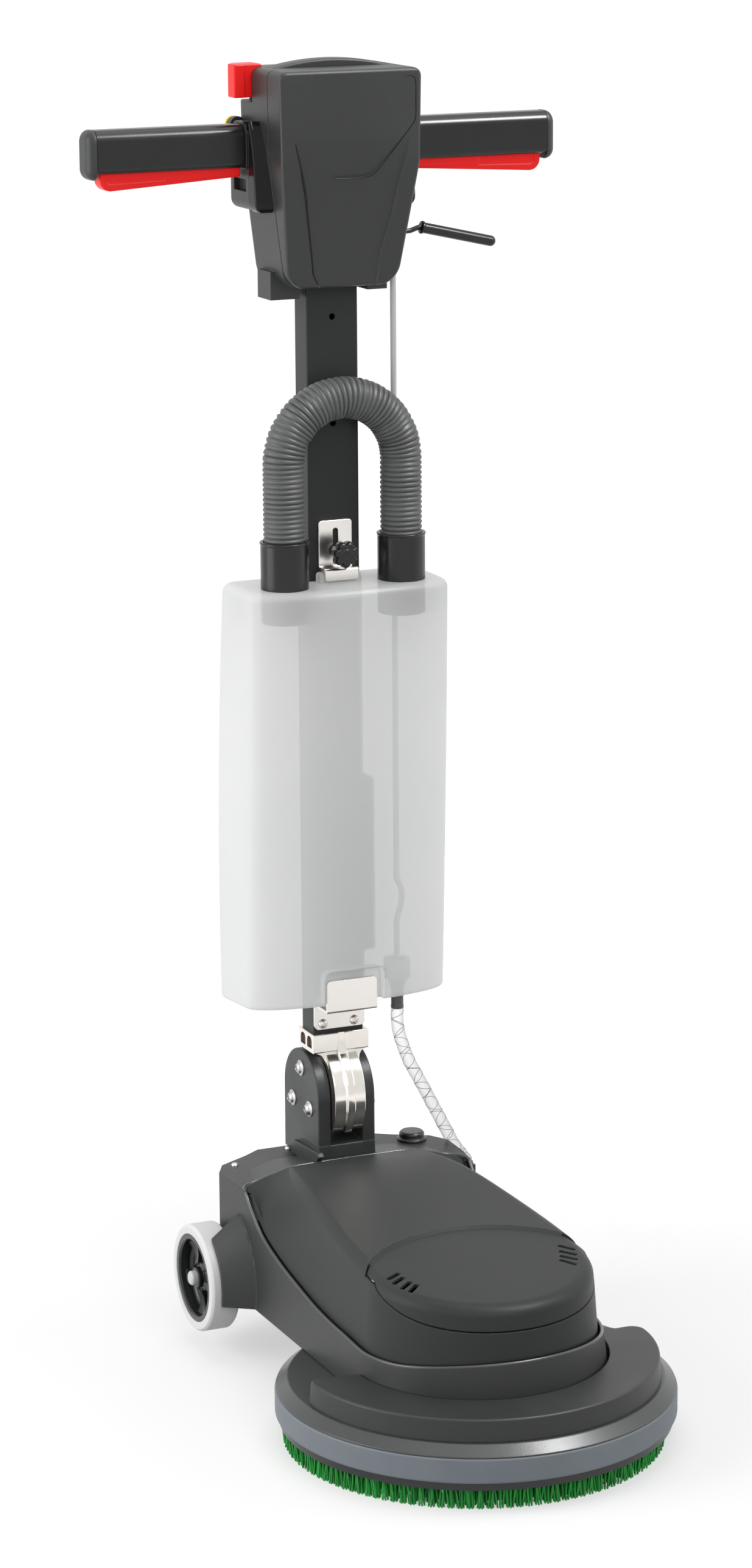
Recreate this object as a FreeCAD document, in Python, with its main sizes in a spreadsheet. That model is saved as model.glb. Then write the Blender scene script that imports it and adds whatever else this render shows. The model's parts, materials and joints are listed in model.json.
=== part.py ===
import FreeCAD, Part
import math
import os
import re
import Sketcher

# Rotary floor scrubber: a disc brush under a low deck, two transport wheels, a handle that
# tilts on the deck, a solution tank with its valve, and a head with two grips.
# Millimetres. +X to the right seen from the front, +Y back to the operator, +Z up.
# The origin is where the brush axis meets the floor.

SIZES = {
    # brush
    "bristle_length": 19.0,
    "bristle_outer_radius": 174.0,
    "bristle_inner_radius": 96.0,
    "brush_plate_thickness": 6.6,
    "brush_hub_radius": 30.0,
    "brush_hub_height": 7.4,
    "spindle_radius": 10.0,
    "spindle_seat": 3.0,
    # clearances
    "running_gap": 0.5,
    "seat_gap": 0.1,
    "fit_gap": 0.05,
    # guard over the brush
    "bumper_radius": 177.6,
    "bumper_height": 22.5,
    "bumper_wall": 4.9,
    "guard_wall": 4.0,
    "guard_top_height": 58.0,
    "guard_top_radius": 166.0,
    "guard_lip_height": 1.0,
    "guard_skirt_height": 18.6,
    "crescent_height": 20.0,
    "crescent_outer_radius": 163.5,
    "crescent_inner_radius": 119.0,
    "crescent_back": 3.0,
    "crescent_wall": 3.0,
    "crescent_edge": 5.0,
    "crescent_corner": 12.0,
    # gear train and motor
    "gear_module": 1.5,
    "gear_teeth": 70.0,
    "pinion_teeth": 14.0,
    "gear_width": 10.0,
    "gear_backlash": 0.3,
    "gear_case_wall": 3.0,
    "gear_clearance": 3.0,
    "gear_case_floor": 4.0,
    "motor_radius": 64.0,
    "motor_height": 100.0,
    "motor_wall": 4.0,
    "rotor_radius": 30.0,
    "rotor_height": 56.0,
    "stator_height": 70.0,
    "stator_lift": 17.0,
    "shaft_radius": 6.0,
    "air_gap": 0.6,
    # case and deck
    "nose_radius": 117.0,
    "nose_rim_radius": 112.4,
    "case_half_width": 117.0,
    "case_wall": 4.0,
    "ledge_length": 88.0,
    "rear_corner_length": 48.0,
    "seam_height": 98.0,
    "seam_nose_rise": 11.0,
    "ledge_height": 165.0,
    "deck_nose_height": 167.0,
    "deck_nose_drop": 9.0,
    "deck_height": 181.0,
    "deck_rear_height": 175.0,
    "deck_length": 272.0,
    "deck_inset": 4.4,
    "deck_wall": 3.0,
    "deck_edge_radius": 10.0,
    "deck_skirt": 8.0,
    "ridge_half_width": 102.0,
    "ridge_rear_half_width": 62.0,
    "ramp_length": 28.0,
    "cap_arc_radius": 125.0,
    "cap_rear_length": 62.0,
    "cap_lip_height": 132.5,
    "cap_lip_rise": 26.0,
    "cap_gap": 0.7,
    "cap_step": 2.0,
    "vent_width": 2.6,
    "vent_length": 13.0,
    "vent_pitch": 6.5,
    # wheels
    "axle_setback": 25.0,
    "axle_height": 71.7,
    "axle_radius": 6.0,
    "wheel_radius": 50.0,
    "rim_radius": 41.0,
    "wheel_width": 28.0,
    "wheel_inner_face": 122.0,
    "hub_boss_radius": 13.0,
    "hub_boss_recess": 6.0,
    "rim_wall": 4.0,
    "spoke_width": 9.0,
    "spoke_depth": 16.0,
    "tyre_shoulder": 3.0,
    "axle_cap_radius": 8.5,
    "axle_cap_length": 6.5,
    "axle_cap_wall": 3.0,
    "fender_clearance": 1.5,
    "fender_edge": 2.5,
    "fender_flare": 18.0,
    "fender_cover": 20.5,
    "fender_setback": 28.0,
    "fender_floor": 59.0,
    "plug_flange_radius": 14.0,
    "plug_head_radius": 12.0,
    "plug_head_height": 9.0,
    # handle pivot
    "pivot_setback": 51.5,
    "pivot_rise": 64.0,
    "cheek_radius": 41.0,
    "bracket_half_width": 28.6,
    "cheek_wall": 12.6,
    "bracket_base_height": 22.0,
    "drum_radius": 30.0,
    "drum_bolt_circle": 23.0,
    "bolt_radius": 4.0,
    "bolt_head_radius": 7.5,
    "bolt_head_height": 5.0,
    "side_play": 0.3,
    "casting_radius": 51.0,
    "casting_ring_radius": 37.5,
    "casting_rib_height": 3.0,
    "casting_rib_width": 7.0,
    "block_rise": 43.5,
    "block_height": 18.5,
    "block_half_width": 28.0,
    "block_front_reach": 29.5,
    "block_back_reach": 6.5,
    # handle column
    "column_half_width": 25.0,
    "column_depth": 28.0,
    "column_wall": 2.5,
    "column_setback": 23.5,
    "column_length": 847.5,
    "column_hole_radius": 3.0,
    "column_hole_drop": 163.0,
    "column_hole_pitch": 96.0,
    "duct_width": 11.0,
    "duct_rise": 94.5,
    "duct_height": 163.0,
    "plate_wall": 3.0,
    "hook_half_width": 25.3,
    "hook_rise": 48.5,
    "hook_reach": 33.0,
    "hook_lip_height": 28.5,
    "hook_plate_drop": 26.5,
    # tank and hoses
    "tank_lift": 10.0,
    "tank_height": 387.0,
    "tank_half_width": 103.0,
    "tank_end_half_width": 100.5,
    "tank_foot_reach": 40.0,
    "tank_top_reach": 54.0,
    "tank_wrap": 32.0,
    "tank_corner": 24.0,
    "tank_wall": 3.0,
    "tank_play": 1.2,
    "tank_notch_half_width": 30.0,
    "tank_notch_height": 29.0,
    "tank_dish_depth": 16.0,
    "tank_rim_width": 9.0,
    "tank_foot_half_width": 24.0,
    "nib_height": 9.0,
    "nib_depth": 10.0,
    "arch_half_span": 57.3,
    "arch_gap": 1.5,
    "arch_leg_height": 111.5,
    "arch_leg_lift": 2.0,
    "hose_radius": 19.0,
    "hose_wall": 2.5,
    "cuff_radius": 21.75,
    "cuff_height": 59.0,
    "cuff_seat": 15.0,
    "cuff_flange": 1.2,
    "outlet_x": 62.0,
    "outlet_setback": 5.0,
    "valve_radius": 12.5,
    "valve_height": 18.0,
    "valve_bore": 7.5,
    "neck_radius": 8.0,
    "neck_drop": 4.0,
    "plug_radius": 6.5,
    "plug_height": 10.0,
    "nozzle_radius": 4.2,
    "nozzle_drop": 25.0,
    "outlet_cuff_wall": 1.7,
    "feed_hose_radius": 6.0,
    "pull_rod_radius": 2.7,
    "spigot_x": 131.0,
    "spigot_setback": 28.0,
    "spigot_top": 145.0,
    # tank clip and its knob
    "clip_half_width": 16.4,
    "clip_rise": 55.0,
    "clip_reach": 17.5,
    "clip_lip_height": 11.0,
    "clip_nib_gap": 1.0,
    "slot_drop": 7.2,
    "clip_travel": 8.0,
    "stud_drop": 28.0,
    "stud_radius": 2.5,
    "stud_collar_radius": 5.0,
    "knob_radius": 12.5,
    "knob_lobe_radius": 3.2,
    "knob_lobes": 7.0,
    "knob_thickness": 12.0,
    # head
    "head_rise": 59.0,
    "head_height": 193.0,
    "head_reach": 48.0,
    "head_kink_drop": 82.0,
    "head_slope": 21.5,
    "head_front_depth": 30.0,
    "head_middle_depth": 60.0,
    "head_back_depth": 9.0,
    "head_half_width": 68.0,
    "head_waist_half_width": 66.5,
    "head_foot_half_width": 53.0,
    "head_corner": 18.0,
    "head_edge": 4.0,
    "head_wall": 3.0,
    "dome_rise": 7.0,
    "dome_half_width": 57.0,
    "dome_depth": 19.0,
    "foot_block_height": 25.0,
    "grip_height": 38.0,
    "grip_depth": 29.0,
    "grip_corner": 9.0,
    "grip_drop": 86.8,
    "grip_setback": 7.0,
    "grip_half_span": 217.0,
    "grip_wall": 2.5,
    "grip_cap_length": 9.0,
    "grip_cap_drop": 5.5,
    "boss_reach": 77.5,
    "boss_setback": 3.0,
    "boss_depth": 42.0,
    "boss_height": 77.0,
    "boss_drop": 48.0,
    "cheek_depth": 35.0,
    "trigger_width": 16.0,
    "trigger_end_gap": 4.0,
    "trigger_inner": 81.0,
    "trigger_drop_outer": 16.0,
    "trigger_drop_inner": 8.0,
    "trigger_rise": 5.0,
    "trigger_play": 1.0,
    "trigger_pin_radius": 3.0,
    "trigger_pin_x": 87.0,
    "trigger_pin_rise": 5.8,
    "release_half_depth": 12.0,
    "release_inner": 57.0,
    "release_outer": 84.0,
    "release_setback": 30.0,
    "release_pin_drop": 22.0,
    "release_pin_radius": 3.0,
    "release_rise": 3.0,
    "button_x": 73.0,
    "button_drop": 3.5,
    "button_radius": 7.0,
    "button_stem_radius": 4.0,
    "button_stem_length": 7.0,
    "button_travel": 3.7,
    "button_head": 4.0,
    # solution lever
    "lever_pivot_x": 31.0,
    "lever_rise": 43.0,
    "lever_pin_radius": 2.5,
    "lever_wire_radius": 2.2,
    "lever_reach": 163.0,
    "lever_bend_x": 77.0,
    "lever_knee_x": 89.0,
    "lever_knee_rise": 3.0,
    "lever_tip_drop": 14.0,
    "lever_bend_radius": 16.0,
    "sleeve_radius": 4.2,
    "sleeve_length": 77.0,
}

# Where pieces meet: each place is worked out from the sizes above.
PLACES = {
    "case_length": "deck_length + ledge_length",
    "axle_length": "deck_length + axle_setback",
    "spigot_length": "deck_length + spigot_setback",
    "pivot_length": "deck_length + pivot_setback",
    "pivot_height": "ledge_height + pivot_rise",
    "bracket_base_top": "ledge_height + bracket_base_height",
    "block_bottom": "pivot_height + block_rise",
    "block_front": "pivot_length - block_front_reach",
    "block_back": "pivot_length + block_back_reach",
    "column_front": "pivot_length - column_setback",
    "column_top": "block_bottom + column_length",
    "column_hole_height": "column_top - column_hole_drop",
    "duct_bottom": "block_bottom + duct_rise",
    "hook_shelf_height": "block_bottom + hook_rise",
    "tank_bottom": "hook_shelf_height + tank_lift",
    "tank_top": "tank_bottom + tank_height",
    "tank_front_bottom": "column_front - tank_foot_reach",
    "tank_front_top": "column_front - tank_top_reach",
    "tank_back": "column_front + tank_wrap",
    "outlet_length": "column_front + outlet_setback",
    "arch_length": "column_front - hose_radius - arch_gap",
    "arch_leg_bottom": "tank_top + arch_leg_lift",
    "arch_height": "tank_top + arch_leg_height",
    "clip_top": "tank_top + clip_rise",
    "slot_top": "clip_top - slot_drop",
    "stud_height": "clip_top - stud_drop",
    "head_top": "column_top + head_rise",
    "head_bottom": "head_top - head_height",
    "head_kink_height": "head_top - head_kink_drop",
    "head_front": "column_front - head_reach",
    "head_split": "head_front + head_front_depth",
    "head_back_split": "head_split + head_middle_depth",
    "head_back": "head_back_split + head_back_depth",
    "grip_bottom": "head_top - grip_drop",
    "grip_front": "column_front + grip_setback",
    "boss_front": "column_front + boss_setback",
    "boss_back": "boss_front + boss_depth",
    "boss_top": "head_top - boss_drop",
    "boss_bottom": "boss_top - boss_height",
    "cheek_front": "boss_front - cheek_depth",
    "trigger_outer": "grip_half_span - trigger_end_gap",
    "trigger_pin_height": "grip_bottom + trigger_pin_rise",
    "release_length": "column_front + release_setback",
    "release_pin_height": "head_top - release_pin_drop",
    "release_top": "head_top + release_rise",
    "button_height": "boss_top - button_drop",
    "lever_height": "head_bottom + lever_rise",
}

doc = FreeCAD.newDocument("floor_scrubber")
sheet = doc.addObject("Spreadsheet::Sheet", "Sizes")
for row, (alias, value) in enumerate(SIZES.items(), start=1):
    sheet.set(f"A{row}", alias)
    sheet.set(f"B{row}", str(value))
    sheet.setAlias(f"B{row}", alias)
doc.recompute()
for row, (alias, rule) in enumerate(PLACES.items(), start=len(SIZES) + 1):
    sheet.set(f"A{row}", alias)
    sheet.set(f"B{row}", f"={rule}")
    sheet.setAlias(f"B{row}", alias)
doc.recompute()

AXES = {
    "X": FreeCAD.Vector(1, 0, 0),
    "Y": FreeCAD.Vector(0, 1, 0),
    "Z": FreeCAD.Vector(0, 0, 1),
}
aliasWord = re.compile(r"\b(" + "|".join(sorted([*SIZES, *PLACES], key=len, reverse=True)) + r")\b")
subparts = []


def size(alias):
    return float(sheet.get(alias))


def bind(thing, path, rule):
    """Tie a property of thing to an expression of the sheet's sizes."""
    thing.setExpression(path, aliasWord.sub(r"Sizes.\1", str(rule)))


def place(thing, at, along="Z"):
    thing.Placement = FreeCAD.Placement(FreeCAD.Vector(), FreeCAD.Rotation(AXES["Z"], AXES[along]))
    for letter, rule in zip("xyz", at):
        bind(thing, f"Placement.Base.{letter}", rule)
    return thing


def box(name, low, high):
    """A box from its low corner to its high corner, six rules in all."""
    thing = doc.addObject("Part::Box", name)
    for side, start, end in zip(("Length", "Width", "Height"), low, high):
        bind(thing, side, f"({end}) - ({start})")
    return place(thing, low)


def rod(name, radius, length, at, along="Z"):
    thing = doc.addObject("Part::Cylinder", name)
    bind(thing, "Radius", radius)
    bind(thing, "Height", length)
    return place(thing, at, along)


def fuse(name, *shapes):
    thing = doc.addObject("Part::MultiFuse", name)
    thing.Shapes = list(shapes)
    return thing


def cut(name, base, *tools):
    thing = doc.addObject("Part::Cut", name)
    thing.Base = base
    thing.Tool = tools[0] if len(tools) == 1 else fuse(name + "_tools", *tools)
    return thing


def rounded(name, base, radius, wanted):
    """Fillet those edges of base that wanted(edge) picks."""
    doc.recompute()
    thing = doc.addObject("Part::Fillet", name)
    thing.Base = base
    thing.Edges = [
        (number, size(radius), size(radius))
        for number, edge in enumerate(base.Shape.Edges, start=1)
        if wanted(edge)
    ]
    return thing


def runs_along(edge, axis):
    return abs(edge.tangentAt(edge.FirstParameter).dot(AXES[axis])) > 0.999 and len(edge.Vertexes) == 2


def node(label, thing):
    thing.Label = label
    subparts.append(thing)
    return thing


def shaped(label, shape):
    """A sub-part whose shape is made in code from the sheet's sizes."""
    thing = doc.addObject("Part::Feature", label)
    thing.Shape = shape
    thing.Placement = FreeCAD.Placement()
    return node(label, thing)


def lathe(label, corners):
    """A PartDesign body turned about Z from an outline of (radius, height) rules."""
    body = doc.addObject("PartDesign::Body", label)
    plane = [f for f in body.Origin.OriginFeatures if f.Role == "XZ_Plane"][0]
    sketch = body.newObject("Sketcher::SketchObject", label + "_outline")
    sketch.AttachmentSupport = (plane, [""])
    sketch.MapMode = "FlatFace"
    count = len(corners)
    spots = [
        FreeCAD.Vector(
            300 + 100 * math.cos(2 * math.pi * i / count), 100 * math.sin(2 * math.pi * i / count), 0,
        )
        for i in range(count)
    ]
    for i in range(count):
        sketch.addGeometry(Part.LineSegment(spots[i], spots[(i + 1) % count]))
    for i in range(count):
        sketch.addConstraint(Sketcher.Constraint("Coincident", i, 2, (i + 1) % count, 1))
    for i, corner in enumerate(corners):
        for kind, start, rule in (
            ("DistanceX", spots[i].x, corner[0]), ("DistanceY", spots[i].y, corner[1]),
        ):
            number = sketch.addConstraint(Sketcher.Constraint(kind, -1, 1, i, 1, start))
            bind(sketch, f"Constraints[{number}]", rule)
    turned = body.newObject("PartDesign::Revolution", label + "_turned")
    turned.Profile = sketch
    turned.ReferenceAxis = (sketch, ["V_Axis"])
    turned.Angle = 360
    doc.recompute()
    return body


def vector(x, y, z):
    return FreeCAD.Vector(x, y, z)


def smooth_wire(points, radii, closed=False):
    """Straight runs joined by tangent arcs; radii holds one radius for each point, 0 for a sharp one."""
    count = len(points)
    starts, ends, arcs = [], [], []
    for i, point in enumerate(points):
        free = not closed and i in (0, count - 1)
        if free or radii[i] == 0:
            starts.append(point)
            ends.append(point)
            arcs.append(None)
            continue
        back = (points[i - 1] - point).normalize()
        ahead = (points[(i + 1) % count] - point).normalize()
        half = back.getAngle(ahead) / 2
        reach = radii[i] / math.tan(half)
        middle = (back + ahead).normalize()
        centre = point + middle * (radii[i] / math.sin(half))
        starts.append(point + back * reach)
        ends.append(point + ahead * reach)
        arcs.append(centre - middle * radii[i])
    edges = []
    for i in range(count):
        if arcs[i] is not None:
            edges.append(Part.Arc(starts[i], arcs[i], ends[i]).toShape())
        if closed or i < count - 1:
            edges.append(Part.LineSegment(ends[i], starts[(i + 1) % count]).toShape())
    return Part.Wire(edges)


def swept(wire, radius):
    """A round solid of one radius along a wire."""
    first = wire.Edges[0]
    start = first.valueAt(first.FirstParameter)
    circle = Part.Wire(Part.makeCircle(radius, start, first.tangentAt(first.FirstParameter)))
    return wire.makePipeShell([circle], True, True)


def prism(wire, travel):
    return Part.Face(wire).extrude(travel)


def block(low, high):
    low, high = FreeCAD.Vector(*low), FreeCAD.Vector(*high)
    span = high - low
    return Part.makeBox(span.x, span.y, span.z, low)


def one_solid(shape):
    """The single solid that a boolean leaves, with its split faces joined."""
    return shape.removeSplitter().Solids[0] if len(shape.Solids) == 1 else shape


# Heights and lengths that several pieces share.
GUARD_UNDER = "(guard_top_height - guard_wall)"
BUMPER_BOTTOM = "(bristle_length + brush_plate_thickness + running_gap)"
BUMPER_TOP = "(bristle_length + brush_plate_thickness + running_gap + bumper_height)"
SKIRT_RADIUS = "(bumper_radius - bumper_wall - seat_gap)"
GEAR_CASE_BOTTOM = "(guard_top_height - guard_wall - 6 - gear_width - gear_case_floor)"
CENTRE_DISTANCE = "(gear_module * (gear_teeth + pinion_teeth) / 2)"
COLUMN_BACK = "(column_front + column_depth)"
COLUMN_BOTTOM = "(block_bottom + block_height)"


def make_brush():
    node("bristle_ring", cut(
        "bristle_ring",
        rod("bristle_outer", "bristle_outer_radius", "bristle_length", (0, 0, 0)),
        rod("bristle_inner", "bristle_inner_radius", "bristle_length", (0, 0, 0)),
    ))
    seat = "bristle_length + spindle_seat"
    node("brush_plate", cut(
        "brush_plate",
        fuse(
            "brush_plate_solid",
            rod("plate_disc", "bristle_outer_radius", "brush_plate_thickness", (0, 0, "bristle_length")),
            rod(
                "plate_hub",
                "brush_hub_radius",
                "brush_plate_thickness + brush_hub_height",
                (0, 0, "bristle_length"),
            ),
        ),
        rod(
            "plate_bore",
            "spindle_radius + fit_gap",
            "brush_plate_thickness + brush_hub_height",
            (0, 0, seat),
        ),
    ))
    node(
        "spindle",
        rod("spindle", "spindle_radius", f"{GUARD_UNDER} - running_gap - ({seat})", (0, 0, seat)),
    )


def make_guard():
    shaft_bore = rod(
        "guard_bore",
        "shaft_radius + 2",
        "guard_wall * 4",
        (0, CENTRE_DISTANCE, f"{GUARD_UNDER} - guard_wall"),
    )
    shell = lathe("guard_body", [
        (0, "guard_top_height"),
        ("guard_top_radius", "guard_top_height"),
        ("bumper_radius - guard_lip_height", f"{BUMPER_TOP} + guard_lip_height"),
        ("bumper_radius - guard_lip_height", BUMPER_TOP),
        (SKIRT_RADIUS, BUMPER_TOP),
        (SKIRT_RADIUS, f"{BUMPER_TOP} - guard_skirt_height"),
        (f"{SKIRT_RADIUS} - guard_wall", f"{BUMPER_TOP} - guard_skirt_height"),
        (f"{SKIRT_RADIUS} - guard_wall", f"{GUARD_UNDER} - guard_wall"),
        (f"{SKIRT_RADIUS} - guard_wall * 2", GUARD_UNDER),
        (0, GUARD_UNDER),
    ])
    node("guard_shell", cut("guard_shell", shell, shaft_bore))
    node("bumper_ring", lathe("bumper_ring", [
        ("bumper_radius - bumper_wall", BUMPER_BOTTOM),
        ("bumper_radius - 2", BUMPER_BOTTOM),
        ("bumper_radius", f"{BUMPER_BOTTOM} + 2"),
        ("bumper_radius", f"{BUMPER_TOP} - 2"),
        ("bumper_radius - 2", BUMPER_TOP),
        ("bumper_radius - bumper_wall", BUMPER_TOP),
    ]))


def make_crescent():
    """Raised half ring in front of the deck, hollow from below, with rounded ends."""
    outer, inner, wall = size("crescent_outer_radius"), size("crescent_inner_radius"), size("crescent_wall")
    bottom, height, back = size("guard_top_height"), size("crescent_height"), size("crescent_back")
    corner = size("crescent_corner")

    def half_ring(out, within, reach, tall, turn):
        left_out = vector(-math.sqrt(out**2 - reach**2), -reach, bottom)
        left_in = vector(-math.sqrt(within**2 - reach**2), -reach, bottom)
        right_out, right_in = vector(-left_out.x, -reach, bottom), vector(-left_in.x, -reach, bottom)
        ring = Part.Wire([
            Part.Arc(left_out, vector(0, -out, bottom), right_out).toShape(),
            Part.LineSegment(right_out, right_in).toShape(),
            Part.Arc(right_in, vector(0, -within, bottom), left_in).toShape(),
            Part.LineSegment(left_in, left_out).toShape(),
        ])
        solid = prism(ring, vector(0, 0, tall))
        ends = [e for e in solid.Edges if runs_along(e, "Z")]
        return solid.makeFillet(turn, ends) if turn else solid

    skin = half_ring(outer, inner, back, height, corner)
    rim = [e for e in skin.Edges if e.BoundBox.ZMin > bottom + height - 0.01]
    skin = skin.makeFillet(size("crescent_edge"), rim)
    core = half_ring(outer - wall, inner + wall, back + wall, height - wall, 0)
    shaped("guard_crescent", skin.cut(core.common(
        half_ring(outer - wall, inner + wall, back + corner, height, 0)
    )))


def gear_outline(module, teeth, addendum, backlash, phase, centre, bottom):
    """Involute teeth as short straight flanks, one of them centred on phase."""
    pressure = math.radians(20)
    pitch = module * teeth / 2
    base = pitch * math.cos(pressure)
    root, tip = pitch - 1.25 * module, pitch + addendum * module

    def involute(angle):
        return math.tan(angle) - angle

    def half_angle(radius):
        turn = math.acos(min(1, base / radius))
        return (math.pi * module / 2 - backlash) / (2 * pitch) + involute(pressure) - involute(turn)

    start = max(base, root)
    steps = [start + (tip - start) * part / 3 for part in range(4)]
    flank = [(root, half_angle(start))] * (root < start) + [
        (radius, half_angle(radius)) for radius in steps
    ]
    corners = []
    for tooth in range(int(teeth)):
        middle = phase + 2 * math.pi * tooth / teeth
        for radius, half in flank:
            corners.append((radius, middle - half))
        for radius, half in reversed(flank):
            corners.append((radius, middle + half))
    spots = [
        vector(centre.x + radius * math.cos(angle), centre.y + radius * math.sin(angle), bottom)
        for radius, angle in corners
    ]
    return Part.makePolygon(spots + spots[:1])


def make_gears():
    module, width = size("gear_module"), size("gear_width")
    gap, backlash = size("fit_gap"), size("gear_backlash")
    bottom = size("guard_top_height") - size("guard_wall") - 4 - width
    apart = module * (size("gear_teeth") + size("pinion_teeth")) / 2
    up = vector(0, 0, width)
    wheel = gear_outline(module, size("gear_teeth"), 0.8, backlash, math.pi / 2, vector(0, 0, 0), bottom)
    wheel_bore = Part.makeCylinder(size("spindle_radius") + gap, width, vector(0, 0, bottom))
    shaped("drive_gear", prism(wheel, up).cut(wheel_bore))
    half_tooth = math.pi / size("pinion_teeth")
    pinion = gear_outline(
        module, size("pinion_teeth"), 1.0, backlash, half_tooth - math.pi / 2, vector(0, apart, 0), bottom
    )
    pinion_bore = Part.makeCylinder(size("shaft_radius") + gap, width, vector(0, apart, bottom))
    shaped("pinion", prism(pinion, up).cut(pinion_bore))


def make_gear_case():
    wheel_room = "gear_module * (gear_teeth + 2) / 2 + gear_clearance"
    pinion_room = "gear_module * (pinion_teeth + 2) / 2 + gear_clearance"
    tall = f"{GUARD_UNDER} - {GEAR_CASE_BOTTOM}"
    inside = f"{GEAR_CASE_BOTTOM} + gear_case_floor"
    node("gear_case", cut(
        "gear_case",
        fuse(
            "gear_case_solid",
            rod("gear_case_wheel", f"{wheel_room} + gear_case_wall", tall, (0, 0, GEAR_CASE_BOTTOM)),
            rod(
                "gear_case_pinion",
                f"{pinion_room} + gear_case_wall",
                tall,
                (0, CENTRE_DISTANCE, GEAR_CASE_BOTTOM),
            ),
        ),
        rod("gear_case_room", wheel_room, tall, (0, 0, inside)),
        rod("gear_case_pinion_room", pinion_room, tall, (0, CENTRE_DISTANCE, inside)),
        rod("gear_case_bore", "spindle_radius + fit_gap", tall, (0, 0, f"{GEAR_CASE_BOTTOM} - 1")),
    ))


def make_motor():
    top = "(guard_top_height + motor_height)"
    bore = rod(
        "motor_shaft_bore",
        "shaft_radius + fit_gap",
        "motor_height + 2",
        (0, CENTRE_DISTANCE, "guard_top_height - 1"),
    )
    room = rod(
        "motor_room", "motor_radius - motor_wall", "motor_height - motor_wall * 2",
        (0, CENTRE_DISTANCE, "guard_top_height + motor_wall"),
    )
    can = rod("motor_can", "motor_radius", "motor_height", (0, CENTRE_DISTANCE, "guard_top_height"))
    node("motor_case", cut("motor_case", can, room, bore))
    stator_bottom = "guard_top_height + stator_lift"
    node("motor_stator", cut(
        "motor_stator",
        rod(
            "stator_outer",
            "motor_radius - motor_wall - seat_gap",
            "stator_height",
            (0, CENTRE_DISTANCE, stator_bottom),
        ),
        rod("stator_bore", "rotor_radius + air_gap", "stator_height", (0, CENTRE_DISTANCE, stator_bottom)),
    ))
    shaft_bottom = f"({GEAR_CASE_BOTTOM} + gear_case_floor + running_gap)"
    core_bottom = "guard_top_height + stator_lift + (stator_height - rotor_height) / 2"
    node("motor_rotor", fuse(
        "motor_rotor",
        rod("rotor_core", "rotor_radius", "rotor_height", (0, CENTRE_DISTANCE, core_bottom)),
        rod(
            "rotor_shaft",
            "shaft_radius",
            f"{top} - running_gap - {shaft_bottom}",
            (0, CENTRE_DISTANCE, shaft_bottom),
        ),
    ))


# The rim of the lower case, as (share of the deck's length, share of its rise to the ledge).
RIM_COURSE = [(0.0, 0.0), (0.25, 0.052), (0.47, 0.172), (0.75, 0.455), (0.9, 0.79), (0.985, 0.985)]
CASE_TOP = size("deck_height") + 30


def rim_height(share):
    for (start, low), (end, high) in zip(RIM_COURSE, RIM_COURSE[1:]):
        if share <= end:
            return size("seam_height") + (size("ledge_height") - size("seam_height")) * (
                low + (high - low) * (share - start) / (end - start)
            )
    return size("ledge_height")


def nose_radius_at(height):
    """Radius of the case's tapering nose at a height."""
    draft = (size("nose_radius") - size("nose_rim_radius")) / (
        size("seam_height") - size("guard_top_height")
    )
    return size("nose_radius") - draft * (height - size("guard_top_height"))


def case_half_width_at(length, height):
    """Half width of the case beside the deck: the nose's taper fades out towards the back."""
    straight = size("case_length") - size("rear_corner_length")
    return size("case_half_width") - (
        size("case_half_width") - nose_radius_at(height)
    ) * (1 - length / straight)


def case_outline(inset, height):
    radius = nose_radius_at(height) - inset
    half, back = size("case_half_width") - inset, size("case_length") - inset
    corner = size("case_length") - size("rear_corner_length")
    rear = [
        (half, corner),
        (half - 0.22 * size("rear_corner_length"), back - 0.6 * size("rear_corner_length")),
        (half - 0.85 * size("rear_corner_length"), back - 0.25 * size("rear_corner_length")),
        (half - 1.21 * size("rear_corner_length"), back),
    ]
    right = [vector(x, y, height) for x, y in rear]
    left = [vector(-x, y, height) for x, y in reversed(rear)]
    start, end = vector(-radius, 0, height), vector(radius, 0, height)
    around = [end] + right + left + [start]
    edges = [Part.Arc(start, vector(0, -radius, height), end).toShape()]
    edges += [Part.LineSegment(a, b).toShape() for a, b in zip(around, around[1:])]
    return Part.Wire(edges)


def case_form(inset, bottom, top):
    return Part.makeLoft([case_outline(inset, bottom), case_outline(inset, top)], True, True)


def fender(side):
    """The flare in front of a wheel: a cone about the axle, hollow where it covers the tyre."""
    hollow = size("wheel_radius") + size("fender_clearance")
    tip = hollow + size("fender_edge")
    root = tip + size("fender_flare")
    wall = size("case_half_width")
    reach = size("wheel_inner_face") + size("fender_cover") - wall
    depth = wall - nose_radius_at(size("axle_height"))
    centre = vector(side * wall, size("axle_length"), size("axle_height"))
    axis = vector(side, 0, 0)
    cone = Part.makeCone(root, tip, reach, centre, axis)
    foot = Part.makeCylinder(root, depth, centre - axis * depth, axis)
    low_x, high_x = sorted((side * (wall - depth - 1), side * (wall + reach + 1)))
    front = block(
        (low_x, size("axle_length") - root - 1, size("fender_floor")),
        (high_x, size("axle_length") - size("fender_setback"), size("axle_height") + root + 1),
    )
    return cone.cut(Part.makeCylinder(hollow, reach, centre, axis)).fuse(foot).common(front)


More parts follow.
